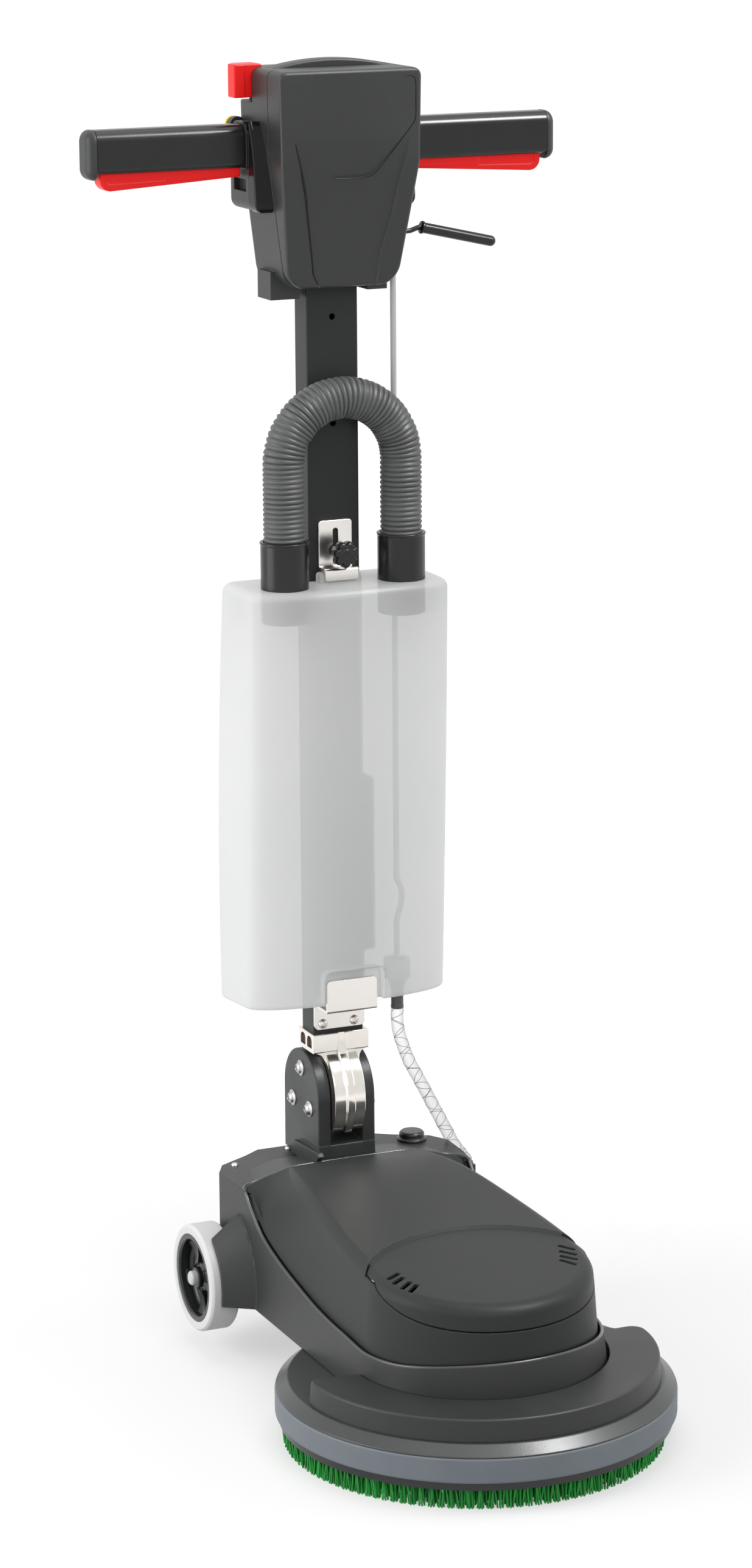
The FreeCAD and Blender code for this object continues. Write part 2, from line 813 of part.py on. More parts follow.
def make_case():
    wall, floor = size("case_wall"), size("guard_top_height")
    ledge, deck = size("ledge_height"), size("deck_length")
    wide = size("case_half_width") * 2
    open_end = deck + size("seat_gap")
    points = [
        vector(-wide, share * deck, rim_height(share)) for share, _ in RIM_COURSE
    ]
    nose = [
        vector(-wide, -size("nose_radius") - 5, size("seam_height") + size("seam_nose_rise")),
        vector(-wide, -size("nose_radius") * 0.5, size("seam_height") + size("seam_nose_rise") * 0.27),
    ]
    rim = Part.BSplineCurve()
    rim.interpolate(nose + points)
    back_end = vector(-wide, open_end, ledge)
    far = size("case_length") + 10
    above = Part.Wire([rim.toShape()] + [
        Part.LineSegment(a, b).toShape() for a, b in (
            (points[-1], back_end),
            (back_end, vector(-wide, far, ledge)),
            (vector(-wide, far, ledge), vector(-wide, far, CASE_TOP + 5)),
            (vector(-wide, far, CASE_TOP + 5), vector(-wide, nose[0].y, CASE_TOP + 5)),
            (vector(-wide, nose[0].y, CASE_TOP + 5), nose[0]),
        )
    ])
    solid = case_form(0, floor, CASE_TOP).cut(prism(above, vector(wide * 2, 0, 0)))
    motor_end = size("gear_module") * (size("gear_teeth") + size("pinion_teeth")) / 2 + size("motor_radius")
    room = case_form(wall, floor - 5, CASE_TOP)
    front_room = room.common(block((-wide, -wide, floor - 5), (wide, motor_end + 3, CASE_TOP)))
    deck_room = room.common(block((-wide, motor_end, floor + wall), (wide, open_end, CASE_TOP)))
    rear_room = room.common(block((-wide, open_end - 1, floor + wall), (wide, far, ledge - wall)))
    solid = solid.cut(Part.makeCompound([front_room, deck_room]).fuse(rear_room))

    ridge, ramp = size("ridge_rear_half_width"), open_end + size("ramp_length")
    low, crest = ledge - wall, size("deck_rear_height")
    spread = ridge + (crest - ledge + 2) * 3

    def ramp_section(length, top):
        corners = [
            (-spread, low),
            (-spread, ledge - 1.5),
            (-ridge, top),
            (ridge, top),
            (spread, ledge - 1.5),
            (spread, low),
        ]
        spots = [vector(x, length, z) for x, z in corners]
        return Part.makePolygon(spots + spots[:1])

    solid = solid.fuse(
        Part.makeLoft([ramp_section(open_end, crest), ramp_section(ramp, ledge + 0.2)], True, True)
    )
    for side in (-1, 1):
        solid = solid.fuse(fender(side).cut(room))
    pocket_half = size("bracket_half_width") + size("seat_gap")
    pocket_front = size("pivot_length") - size("cheek_radius") - 1.7
    solid = solid.cut(block((-pocket_half, pocket_front, ledge), (pocket_half, far, CASE_TOP)))
    bore = Part.makeCylinder(
        size("axle_radius") + size("seat_gap"), wide * 1.5, vector(
            -wide * 0.75, size("axle_length"), size("axle_height"),
        ),
        AXES["X"],
    )
    shaped("chassis_case", one_solid(solid.cut(bore)))


def deck_form(inset, drop):
    """The deck's outer form, drawn in by inset and carried down by drop below its skirt."""
    length = size("deck_length")
    rise = size("deck_height") - size("deck_nose_height")
    stations = [
        (0.0, size("deck_nose_height")),
        (0.25, size("deck_nose_height") + 0.36 * rise),
        (0.47, size("deck_nose_height") + 0.75 * rise),
        (0.75, size("deck_height")),
        (1.0, size("deck_rear_height")),
    ]
    narrow = size("ridge_half_width") - size("ridge_rear_half_width")
    edge = size("deck_edge_radius") - inset
    margin = size("deck_inset") + inset
    wires = []
    for share, top in stations:
        seam = rim_height(min(share, 0.985)) - 0.5
        low = seam - size("deck_skirt")
        ridge = size("ridge_half_width") - narrow * share**1.8 - inset
        foot = case_half_width_at(share * length, low) - margin
        side = case_half_width_at(share * length, seam) - margin
        corners = [(-foot, low - drop), (-side, seam), (-ridge, top - inset)]
        corners += [(-x, z) for x, z in reversed(corners)]
        y = share * length if share < 1 else length - inset
        radii = [0, 0, edge, edge, 0, 0]
        wires.append(smooth_wire([vector(x, y, z) for x, z in corners], radii, closed=True))
    rear = Part.makeLoft(wires, True, False)

    seam = rim_height(0) - 0.5
    low = seam - size("deck_skirt")
    top = size("deck_nose_height") - inset
    ridge = size("ridge_half_width") - inset
    half = [(0, low - drop), (case_half_width_at(0, low) - margin, low - drop)]
    half += [(case_half_width_at(0, seam) - margin, seam), (ridge, top), (0, top)]
    profile = smooth_wire([vector(x, 0, z) for x, z in half], [0, 0, 0, edge, 0], closed=True)
    nose = Part.Face(profile).revolve(vector(0, 0, 0), AXES["Z"], -180)
    lean = FreeCAD.Matrix()
    lean.A32 = size("deck_nose_drop") / size("ridge_half_width")
    return rear.fuse(nose.transformGeometry(lean))


def cap_zone(gap):
    """The room of the front cap: above a rising line at the sides, in front of an arc on the deck."""
    lip, rise = size("cap_lip_height") + gap, size("cap_lip_rise")
    wide, high = size("nose_radius") + 20, CASE_TOP + 10
    back = size("cap_rear_length") + 20
    start, middle, end = (-wide + 12, lip), (-58, lip + 0.25 * rise), (-8, lip + rise)
    arc = Part.Arc(*[vector(-wide, y, z) for y, z in (start, middle, end)])
    rest = [(-8, lip + rise), (back, lip + rise + 7), (back, high), (-wide + 12, high), start]
    spots = [vector(-wide, y, z) for y, z in rest]
    edges = [arc.toShape()] + [Part.LineSegment(a, b).toShape() for a, b in zip(spots, spots[1:])]
    radius = size("cap_arc_radius")
    drum = Part.makeCylinder(radius - gap, high, vector(0, size("cap_rear_length") - radius, 0))
    return prism(Part.Wire(edges), vector(wide * 2, 0, 0)).common(drum)


def make_deck():
    wall = size("deck_wall")
    outer, inner = deck_form(0, 0), deck_form(wall, 10)
    shaped("deck_cover", one_solid(outer.cut(inner).cut(cap_zone(0))))
    down = vector(0, 0, -size("cap_step"))
    shell = outer.translated(down).cut(inner.translated(down))
    cap = shell.common(cap_zone(size("cap_gap")))
    turn_centre = vector(0, 0, 0)
    vents = []
    for side in (-1, 1):
        for number in range(4):
            slot = block(
                (-size("vent_length") / 2, -size("vent_width") / 2, size("cap_lip_height")),
                (size("vent_length") / 2, size("vent_width") / 2, CASE_TOP),
            )
            slot.rotate(turn_centre, AXES["Z"], side * 20)
            slot.translate(vector(
                side * (size("ridge_half_width") - size("deck_edge_radius") - 12 - number * 0.9),
                -22 - number * size("vent_pitch"), 0,
            ))
            vents.append(slot)
    shaped("front_cap", one_solid(cap.cut(Part.makeCompound(vents))))


def make_wheels():
    across = "(wheel_inner_face + wheel_width)"
    cap_seat = f"({across} - hub_boss_recess + seat_gap * 5)"
    node("wheel_axle", rod(
        "wheel_axle", "axle_radius", f"2 * ({cap_seat} + axle_cap_length - axle_cap_wall - seat_gap)",
        (f"-({cap_seat} + axle_cap_length - axle_cap_wall - seat_gap)", "axle_length", "axle_height"), "X",
    ))
    for word, sign, start, cap_start in (
        (
            "left", "-1", f"-{across}", f"-({cap_seat} + axle_cap_length)",
        ), ("right", "1", "wheel_inner_face", cap_seat),
    ):
        hole_start = cap_start if word == "right" else f"{cap_start} + axle_cap_wall"
        node(f"{word}_axle_cap", cut(
            f"{word}_axle_cap",
            rod(
                f"{word}_cap_solid",
                "axle_cap_radius",
                "axle_cap_length",
                (cap_start, "axle_length", "axle_height"),
                "X",
            ),
            rod(
                f"{word}_cap_bore", "axle_radius + seat_gap", "axle_cap_length - axle_cap_wall",
                (hole_start, "axle_length", "axle_height"), "X",
            ),
        ))
        first = size("wheel_inner_face")
        if word == "left":
            first = -size("wheel_inner_face") - size("wheel_width")
        wheel = lathe(f"{word}_tyre", [
            ("rim_radius", 0),
            ("wheel_radius - tyre_shoulder", 0),
            ("wheel_radius", "tyre_shoulder * 1.6"),
            ("wheel_radius", "wheel_width - tyre_shoulder * 1.6"),
            ("wheel_radius - tyre_shoulder", "wheel_width"),
            ("rim_radius", "wheel_width"),
        ])
        node(f"{word}_tyre", place(wheel, (start, "axle_length", "axle_height"), "X"))
        make_hub(word, first)


def make_hub(word, first):
    width, rim = size("wheel_width"), size("rim_radius") - size("seat_gap")
    recess = size("hub_boss_recess")
    centre = vector(first, size("axle_length"), size("axle_height"))
    boss = centre + vector(recess if word == "left" else 0, 0, 0)
    across = AXES["X"]
    ring = Part.makeCylinder(rim, width, centre, across)
    ring = ring.cut(Part.makeCylinder(rim - size("rim_wall"), width, centre, across))
    parts = [Part.makeCylinder(size("hub_boss_radius"), width - recess, boss, across)]
    depth, thick = size("spoke_depth"), size("spoke_width")
    for number in range(5):
        low = centre + vector((width - depth) / 2, -thick / 2, 0)
        spoke = Part.makeBox(depth, thick, rim - size("rim_wall") / 2, low)
        spoke.rotate(centre, across, number * 72 + 36)
        parts.append(spoke)
    bore = Part.makeCylinder(size("axle_radius") + size("fit_gap"), width, centre, across)
    shaped(f"{word}_hub", one_solid(ring.fuse(parts).cut(bore)))


def make_rear_fittings():
    node("rear_plug", place(lathe("rear_plug", [
        (0, 0),
        ("plug_flange_radius", 0),
        ("plug_flange_radius", 2),
        ("plug_head_radius", 3),
        ("plug_head_radius", "plug_head_height - 2"),
        ("plug_head_radius - 2", "plug_head_height"),
        (0, "plug_head_height"),
    ]), ("case_half_width - 31", "case_length - 33", "ledge_height")))
    foot = "(case_half_width + fit_gap)"
    node("hose_spigot", fuse(
        "hose_spigot",
        box(
            "spigot_block", (foot, "spigot_length - 7", "spigot_top - 14"),
            ("spigot_x + feed_hose_radius", "spigot_length + 7", "spigot_top - 2"),
        ),
        rod("spigot_collar", "feed_hose_radius", 4, ("spigot_x", "spigot_length", "spigot_top - 4")),
    ))


def make_bracket():
    inner = "(bracket_half_width - cheek_wall)"
    front, back = "(pivot_length - cheek_radius)", "(pivot_length + cheek_radius)"
    at_pivot = ("pivot_length", "pivot_height")
    pieces = [box(
        "bracket_base", ("-bracket_half_width", f"{front} - 1.5", "ledge_height"),
        ("bracket_half_width", back, "bracket_base_top"),
    )]
    for word, low, high in (
        ("left", "-bracket_half_width", f"-{inner}"), ("right", inner, "bracket_half_width"),
    ):
        pieces.append(
            box(f"{word}_web", (low, front, "bracket_base_top - 1"), (high, back, "pivot_height"))
        )
        pieces.append(rod(f"{word}_cheek_disc", "cheek_radius", "cheek_wall", (low, *at_pivot), "X"))
    slot_radius = "casting_radius + casting_rib_height + 2"
    slot = rod("casting_room", slot_radius, f"{inner} * 2", (f"-{inner}", *at_pivot), "X")
    solid = cut("bracket_slotted", fuse("bracket_solid", *pieces), slot)
    holes = bolt_rods(
        "bracket_hole", "bolt_radius + seat_gap", "-bracket_half_width - 1", "bracket_half_width * 2 + 2",
    )
    node("pivot_bracket", cut("pivot_bracket", solid, *holes))
    drum_half = f"({inner} - seat_gap)"
    drum = rod("drum_solid", "drum_radius", f"{drum_half} * 2", (f"-{drum_half}", *at_pivot), "X")
    drum_holes = bolt_rods(
        "drum_hole", "bolt_radius + seat_gap", f"-{drum_half} - 1", f"{drum_half} * 2 + 2",
    )
    node("hinge_drum", cut("hinge_drum", drum, *drum_holes))
    head = "bolt_head_height"
    shanks = bolt_rods(
        "bolt_shank",
        "bolt_radius",
        f"-bracket_half_width - {head} / 2",
        f"bracket_half_width * 2 + {head}",
    )
    heads = bolt_rods("bolt_head", "bolt_head_radius", f"-bracket_half_width - {head}", head)
    nuts = bolt_rods("bolt_nut", "bolt_head_radius - 1", "bracket_half_width", head)
    bolts = doc.addObject("Part::Compound", "bracket_bolts")
    bolts.Links = [
        fuse(f"bracket_bolt_{n}", *pieces) for n, pieces in enumerate(zip(shanks, heads, nuts), start=1)
    ]
    node("bracket_bolts", bolts)


def bolt_rods(name, radius, start, length):
    """Three rods along X on the drum's bolt circle, the first above the pivot."""
    return [
        rod(
            f"{name}_{number}", radius, length,
            (
                start,
                f"pivot_length + drum_bolt_circle * cos({90 + 120 * number} * 1 deg)",
                f"pivot_height + drum_bolt_circle * sin({90 + 120 * number} * 1 deg)",
            ), "X",
        )
        for number in range(3)
    ]


def make_casting():
    """The handle's foot: a block above the bracket on a ribbed disc that turns on the drum."""
    half = size("bracket_half_width") - size("cheek_wall") - size("side_play")
    centre = vector(-half, size("pivot_length"), size("pivot_height"))
    across = AXES["X"]

    def sector(radius, wide):
        """A slice of a disc, from 60 degrees above the back to 215 degrees."""
        middle = vector(-wide / 2, centre.y, centre.z)
        disc = Part.makeCylinder(radius, wide, middle, across, 155)
        disc.rotate(middle, across, 60 - angle_of_start)
        return disc

    angle_of_start = 90
    solid = Part.makeCylinder(size("casting_ring_radius"), half * 2, centre, across)
    solid = solid.fuse([
        sector(size("casting_radius"), half * 2),
        sector(size("casting_radius") + size("casting_rib_height"), size("casting_rib_width")),
        block(
            (-size("block_half_width"), size("block_front"), size("block_bottom")),
            (size("block_half_width"), size("block_back"), size("block_bottom") + size("block_height")),
        ),
    ])
    bore = Part.makeCylinder(size("drum_radius") + size("fit_gap"), half * 2, centre, across)
    shaped("hinge_block", one_solid(solid.cut(bore)))


def make_column():
    side, front = "column_half_width", "column_front"
    node("column", cut(
        "column",
        box("column_solid", (f"-{side}", front, COLUMN_BOTTOM), (side, COLUMN_BACK, "column_top")),
        box(
            "column_room", (f"-{side} + column_wall", f"{front} + column_wall", COLUMN_BOTTOM),
            (f"{side} - column_wall", f"{COLUMN_BACK} - column_wall", "column_top"),
        ),
        rod(
            "column_hole",
            "column_hole_radius",
            "column_wall * 2",
            (0, f"{front} - 1", "column_hole_height"),
            "Y",
        ),
        rod(
            "lower_column_hole", "column_hole_radius", "column_wall * 2",
            (0, f"{front} - 1", "column_hole_height - column_hole_pitch"), "Y",
        ),
        rod(
            "stud_hole",
            "stud_radius + fit_gap",
            "column_wall * 2",
            (0, f"{front} - 1", "stud_height"),
            "Y",
        ),
    ))
    duct = box(
        "duct_solid",
        (side, front, "duct_bottom"),
        (f"{side} + duct_width", COLUMN_BACK, "duct_bottom + duct_height"),
    )
    node("column_duct", rounded("column_duct", duct, "plate_wall", lambda edge: (
        edge.BoundBox.XMin > size("column_half_width") + 1 and runs_along(edge, "Y")
    )))
    shelf, plate = "hook_shelf_height", "plate_wall"
    lip_front = f"({front} - hook_reach)"
    hook = fuse(
        "hook_solid",
        box(
            "hook_plate",
            ("-hook_half_width", f"{front} - {plate}", f"{shelf} - hook_plate_drop"),
            ("hook_half_width", front, shelf),
        ),
        box(
            "hook_shelf",
            ("-hook_half_width", lip_front, f"{shelf} - {plate}"),
            ("hook_half_width", front, shelf),
        ),
        box(
            "hook_lip", ("-hook_half_width", lip_front, f"{shelf} - {plate}"),
            ("hook_half_width", f"{lip_front} + {plate}", f"{shelf} + hook_lip_height"),
        ),
    )
    lip_top = size("hook_shelf_height") + size("hook_lip_height")
    node("tank_hook", rounded("tank_hook", hook, "plate_wall", lambda edge: (
        edge.BoundBox.ZMax > lip_top - 0.01 and runs_along(edge, "Y")
    )))


def tank_section(inset, height, half, front):
    """Plan of the tank: straight sides, broad corners and a bowed front."""
    back, corner = size("tank_back") - inset, size("tank_corner")
    half, front = half - inset, front + inset
    side_end, bow_end = vector(half, front + corner, height), vector(
        half - corner * 0.6, front + corner * 0.42, height,
    )
    corner_middle = vector(half - corner * 0.12, front + corner * 0.66, height)

    def mirror(spot):
        return vector(-spot.x, spot.y, spot.z)

    return Part.Wire([
        Part.LineSegment(vector(-half, back, height), vector(half, back, height)).toShape(),
        Part.LineSegment(vector(half, back, height), side_end).toShape(),
        Part.Arc(side_end, corner_middle, bow_end).toShape(),
        Part.Arc(bow_end, vector(0, front, height), mirror(bow_end)).toShape(),
        Part.Arc(mirror(bow_end), mirror(corner_middle), mirror(side_end)).toShape(),
        Part.LineSegment(mirror(side_end), vector(-half, back, height)).toShape(),
    ])


def tank_form(inset, low, high):
    bottom, top = size("tank_bottom"), size("tank_top")
    middle = (bottom + top) / 2
    half, end = size("tank_half_width"), size("tank_end_half_width")
    front, back = size("tank_front_bottom"), size("tank_front_top")
    wires = [
        tank_section(inset, low, end, front),
        tank_section(inset, middle, half, front + (back - front) * 0.65),
        tank_section(inset, high, end, back),
    ]
    return Part.makeLoft(wires, True, False)


def make_tank():
    wall, play = size("tank_wall"), size("tank_play")
    bottom, top = size("tank_bottom"), size("tank_top")
    channel_half, channel_front = size("column_half_width") + play, size("column_front") - play
    duct_reach = size("column_half_width") + size("duct_width") + play
    duct_low, duct_high = size("duct_bottom") - play, size("duct_bottom") + size("duct_height") + play
    lip_front = size("column_front") - size("hook_reach")
    notch_half, notch_top = size("tank_notch_half_width"), bottom + size("tank_notch_height")
    notch_back = lip_front + size("plate_wall") + play
    far = size("tank_back") + 20

    def recesses(grow):
        return [
            block(
                (-channel_half - grow, channel_front - grow, bottom - 5),
                (channel_half + grow, far, top + 5),
            ),
            block((0, channel_front - grow, duct_low - grow), (duct_reach + grow, far, duct_high + grow)),
            block(
                (-notch_half - grow, size("tank_front_top") - 20, bottom - 5),
                (notch_half + grow, notch_back + grow, notch_top + grow),
            ),
        ]

    solid = tank_form(0, bottom, top)
    rim = [
        e for e in solid.Edges if e.BoundBox.ZMin > top - 0.01 and e.BoundBox.YMin < size("tank_back") - 1
    ]
    solid = solid.makeFillet(size("tank_rim_width") - wall, rim)
    dish = tank_form(size("tank_rim_width"), top - size("tank_dish_depth"), top + 5)
    room = tank_form(wall, bottom + wall, top - size("tank_dish_depth") - wall)
    wide = size("tank_half_width") * 2
    dish_front = block((-wide, 0, 0), (wide, size("column_front") - 12, top * 2))
    solid = solid.cut(dish.common(dish_front)).cut(recesses(0))
    room = room.cut(recesses(wall))
    solid = solid.cut(room)

    nib_back = size("column_front") - play - 2.5
    foot_half = size("tank_foot_half_width")
    foot = block(
        (-foot_half, notch_back, size("hook_shelf_height") + size("seat_gap")),
        (foot_half, nib_back, bottom + 1),
    )
    dish_floor = top - size("tank_dish_depth")
    nib_half = size("clip_half_width") + 4
    nib = block(
        (-nib_half, nib_back - size("nib_depth"), dish_floor - 1),
        (nib_half, nib_back, top + size("nib_height")),
    )
    solid = solid.fuse([foot, nib])
    valve_at = vector(size("outlet_x"), size("outlet_length"), bottom - 5)
    holes = [
        Part.makeCylinder(size("neck_radius") + size("seat_gap"), wall + 10, valve_at),
        Part.makeCylinder(size("pull_rod_radius") + 1, top, valve_at + vector(0, 0, wall + 50)),
    ]
    cuff_floor = dish_floor - wall
    for side in (-1, 1):
        spot = vector(side * size("arch_half_span"), size("arch_length"), cuff_floor - 1)
        holes.append(Part.makeCylinder(size("cuff_radius") + size("seat_gap"), top, spot))
    shaped("tank", one_solid(solid.cut(Part.makeCompound(holes))))


def make_arch():
    floor = size("tank_top") - size("tank_dish_depth")
    span, y = size("arch_half_span"), size("arch_length")
    bottom, spring = floor - size("cuff_seat"), size("arch_height")
    bore = size("hose_radius") + size("seat_gap")
    for word, side in (("left", -1), ("right", 1)):
        spot = vector(side * span, y, bottom)
        outer = Part.makeCylinder(size("cuff_radius"), size("cuff_height") + size("cuff_seat"), spot)
        inner = Part.makeCylinder(bore, size("cuff_height") + size("cuff_seat"), spot)
        flange = Part.makeCylinder(
            size("cuff_radius") + size("cuff_flange"),
            3,
            vector(spot.x, y, floor - size("tank_wall") - 3.1),
        )
        shaped(f"{word}_cuff", one_solid(outer.fuse(flange).cut(inner)))
    legs = size("arch_leg_bottom")
    ends = [
        vector(-span, y, legs), vector(-span, y, spring), vector(span, y, spring), vector(span, y, legs),
    ]
    path = Part.Wire([
        Part.LineSegment(ends[0], ends[1]).toShape(),
        Part.Arc(ends[1], vector(0, y, spring + span), ends[2]).toShape(),
        Part.LineSegment(ends[2], ends[3]).toShape(),
    ])
    hose = swept(path, size("hose_radius")).cut(swept(path, size("hose_radius") - size("hose_wall")))
    shaped("arch_hose", one_solid(hose))


def make_valve():
    at = ("outlet_x", "outlet_length")
    floor = "(tank_bottom + tank_wall)"
    neck_bottom = "(tank_bottom - neck_drop)"
    nozzle_bottom = "(tank_bottom - nozzle_drop)"
    bore_floor = f"({floor} + 2)"
    solid = fuse(
        "valve_solid",
        rod("valve_cup", "valve_radius", "valve_height", (*at, floor)),
        rod("valve_neck", "neck_radius", f"{floor} - {neck_bottom}", (*at, neck_bottom)),
        rod("valve_nozzle", "nozzle_radius", f"{neck_bottom} - {nozzle_bottom}", (*at, nozzle_bottom)),
    )
    node("valve_housing", cut(
        "valve_housing", solid,
        rod("valve_room", "valve_bore", "valve_height", (*at, bore_floor)),
        rod("valve_way", "nozzle_radius - 1.4", "tank_height", (*at, nozzle_bottom)),
    ))
    cuff_bottom = f"({nozzle_bottom} - 2)"
    cuff_outer = rod(
        "outlet_cuff_outer",
        "nozzle_radius + outlet_cuff_wall",
        f"{neck_bottom} - {cuff_bottom}",
        (*at, cuff_bottom),
    )
    cuff_inner = rod(
        "outlet_cuff_inner",
        "nozzle_radius + seat_gap",
        f"{neck_bottom} - {cuff_bottom}",
        (*at, cuff_bottom),
    )
    node("outlet_cuff", cut("outlet_cuff", cuff_outer, cuff_inner))
    plug_bottom = f"({bore_floor} + running_gap)"
    node("valve_plug", rod("valve_plug", "plug_radius", "plug_height", (*at, plug_bottom)))
    rod_bottom = f"({plug_bottom} + plug_height)"
    eye = "(lever_wire_radius * 2.8)"
    stem = rod("rod_stem", "pull_rod_radius", f"lever_height - {eye} + 1 - {rod_bottom}", (*at, rod_bottom))
    lug = rod(
        "rod_eye",
        eye,
        "lever_wire_radius * 1.8",
        ("outlet_x - lever_wire_radius * 0.9", "outlet_length", "lever_height"),
        "X",
    )
    hole = rod(
        "rod_eye_hole", "lever_wire_radius + 1.2", "lever_wire_radius * 4",
        ("outlet_x - lever_wire_radius * 2", "outlet_length", "lever_height"), "X",
    )
    node("pull_rod", cut("pull_rod", fuse("pull_rod_solid", stem, lug), hole))


def make_feed_hose():
    """The clear hose from the valve's outlet to the spigot on the case, along its own route."""
    start = vector(size("outlet_x"), size("outlet_length"), size("tank_bottom") - size("nozzle_drop") - 2.3)
    end = vector(size("spigot_x"), size("spigot_length"), size("spigot_top") + 0.2)
    shares = [
        (0.0, 0.0), (0.0, 0.124), (0.087, 0.266), (0.246, 0.408), (0.435, 0.55),
        (0.63, 0.683), (0.826, 0.802), (0.961, 0.907), (1.0, 1.0),
    ]
    points = [
        vector(
            start.x + (end.x - start.x) * across,
            start.y + (end.y - start.y) * across,
            start.z + (end.z - start.z) * down,
        )
        for across, down in shares
    ]
    radii = [0.0]
    for back, point, ahead in zip(points, points[1:], points[2:]):
        turn = (point - back).getAngle(ahead - point)
        radii.append(0.45 * min((point - back).Length, (ahead - point).Length) / math.tan(turn / 2))
    radii.append(0.0)
    path = smooth_wire(points, radii)
    hose = swept(path, size("feed_hose_radius"))
    section = math.pi * size("feed_hose_radius") ** 2
    print(
        "feed hose radii",
        [round(r) for r in radii[1:-1]],
        "volume share",
        round(hose.Volume / section / path.Length, 4),
    )
    shaped("feed_hose", hose)


def make_clip():
    """The catch over the tank's nib, slotted on the stud of the star knob."""
    shelf = "(tank_top + nib_height + clip_nib_gap)"
    back, plate = "(column_front - fit_gap)", "plate_wall"
    front = f"({back} - clip_reach)"
    slot_bottom = "(stud_height - stud_radius - clip_travel - running_gap)"
    solid = fuse(
        "clip_solid",
        box(
            "clip_plate",
            ("-clip_half_width", f"{back} - {plate}", shelf),
            ("clip_half_width", back, "clip_top"),
        ),
        box(
            "clip_shelf",
            ("-clip_half_width", front, shelf),
            ("clip_half_width", back, f"{shelf} + {plate}"),
        ),
        box(
            "clip_lip", ("-clip_half_width", front, f"{shelf} + {plate} - clip_lip_height"),
            ("clip_half_width", f"{front} + {plate} - 1", f"{shelf} + {plate}"),
        ),
    )
    node("tank_clip", cut(
        "tank_clip", solid,
        box(
            "clip_slot",
            ("-stud_radius - seat_gap", f"{back} - {plate} - 1", slot_bottom),
            ("stud_radius + seat_gap", f"{back} + 1", "slot_top"),
        ),
    ))
    knob_back = f"({front} - running_gap)"
    y_inner = f"({back} - {plate} - running_gap)"
    pieces = [
        rod(
            "knob_disc",
            "knob_radius - knob_lobe_radius",
            "knob_thickness",
            (0, f"{knob_back} - knob_thickness", "stud_height"),
            "Y",
        ),
        rod(
            "stud_collar",
            "stud_collar_radius",
            f"{y_inner} - {knob_back} + 1",
            (0, f"{knob_back} - 1", "stud_height"),
            "Y",
        ),
        rod(
            "stud",
            "stud_radius",
            f"column_front + column_wall * 2 - {knob_back}",
            (0, knob_back, "stud_height"),
            "Y",
        ),
    ]
    for number in range(int(size("knob_lobes"))):
        angle = f"{number} * 360 deg / knob_lobes"
        pieces.append(rod(
            f"knob_lobe_{number + 1}", "knob_lobe_radius", "knob_thickness",
            (
                f"(knob_radius - knob_lobe_radius) * cos({angle})", f"{knob_back} - knob_thickness",
                f"stud_height + (knob_radius - knob_lobe_radius) * sin({angle})",
            ), "Y",
        ))
    node("star_knob", fuse("star_knob", *pieces))


def head_outline(inset, y):
    """Front view of the head: near parallel above the kink, tapering to a rounded foot."""
    top, bottom, corner = size("head_top") - inset, size("head_bottom") + inset, size("head_corner") - inset
    kink = size("head_kink_height")
    half = [
        (size("head_foot_half_width") - inset, bottom, corner),
        (size("head_waist_half_width") - inset, kink, 0),
        (size("head_half_width") - inset, top, max(8 - inset, 1)),
    ]
    corners = half + [(-x, z, radius) for x, z, radius in reversed(half)]
    return smooth_wire(
        [vector(x, y, z) for x, z, radius in corners], [radius for x, z, radius in corners], closed=True,
    )


def head_side(inset, y_end):
    """Side view of the head from its sloping front to y_end, wide enough to cut with."""
    wide, top, bottom = size("head_half_width") + 30, size("head_top") + 30, size("head_bottom") - 30
    front, kink = size("head_front") + inset, size("head_kink_height")
    slope = size("head_slope") / (kink - size("head_bottom"))
    corners = [
        (front, top),
        (front, kink),
        (front + slope * (kink - bottom), bottom),
        (y_end, bottom),
        (y_end, top),
    ]
    spots = [vector(-wide, y, z) for y, z in corners]
    return prism(Part.makePolygon(spots + spots[:1]), vector(wide * 2, 0, 0))


def release_notch(grow):
    """Room of the release lever at the head's rear left corner."""
    return block(
        (-size("release_outer") - 20, size("release_length") - size("release_half_depth") - 1 - grow,
         size("release_pin_height") - 8 - grow),
        (-size("release_inner") + 0.7 + grow, size("head_back") + 20, size("head_top") + 20),
    )


def make_head_front():
    wall, split = size("head_wall"), size("head_split")
    solid = prism(head_outline(0, 0), vector(0, split, 0)).common(head_side(0, split))
    ahead = [e for e in solid.Edges if e.BoundBox.YMax < split - 1]
    face = [
        e for e in ahead
        if e.BoundBox.XLength + e.BoundBox.ZLength > 1 and not runs_along(e, "X")
        or e.BoundBox.ZMin > size("head_top") - 1
    ]
    edge = size("head_edge")
    solid = solid.makeFillet(edge, [e for e in face if e.BoundBox.YLength < 40])
    room = prism(head_outline(wall, 0), vector(0, split + 1, 0)).common(head_side(wall + 1, split + 1))
    shaped("head_front", one_solid(solid.cut(room)))


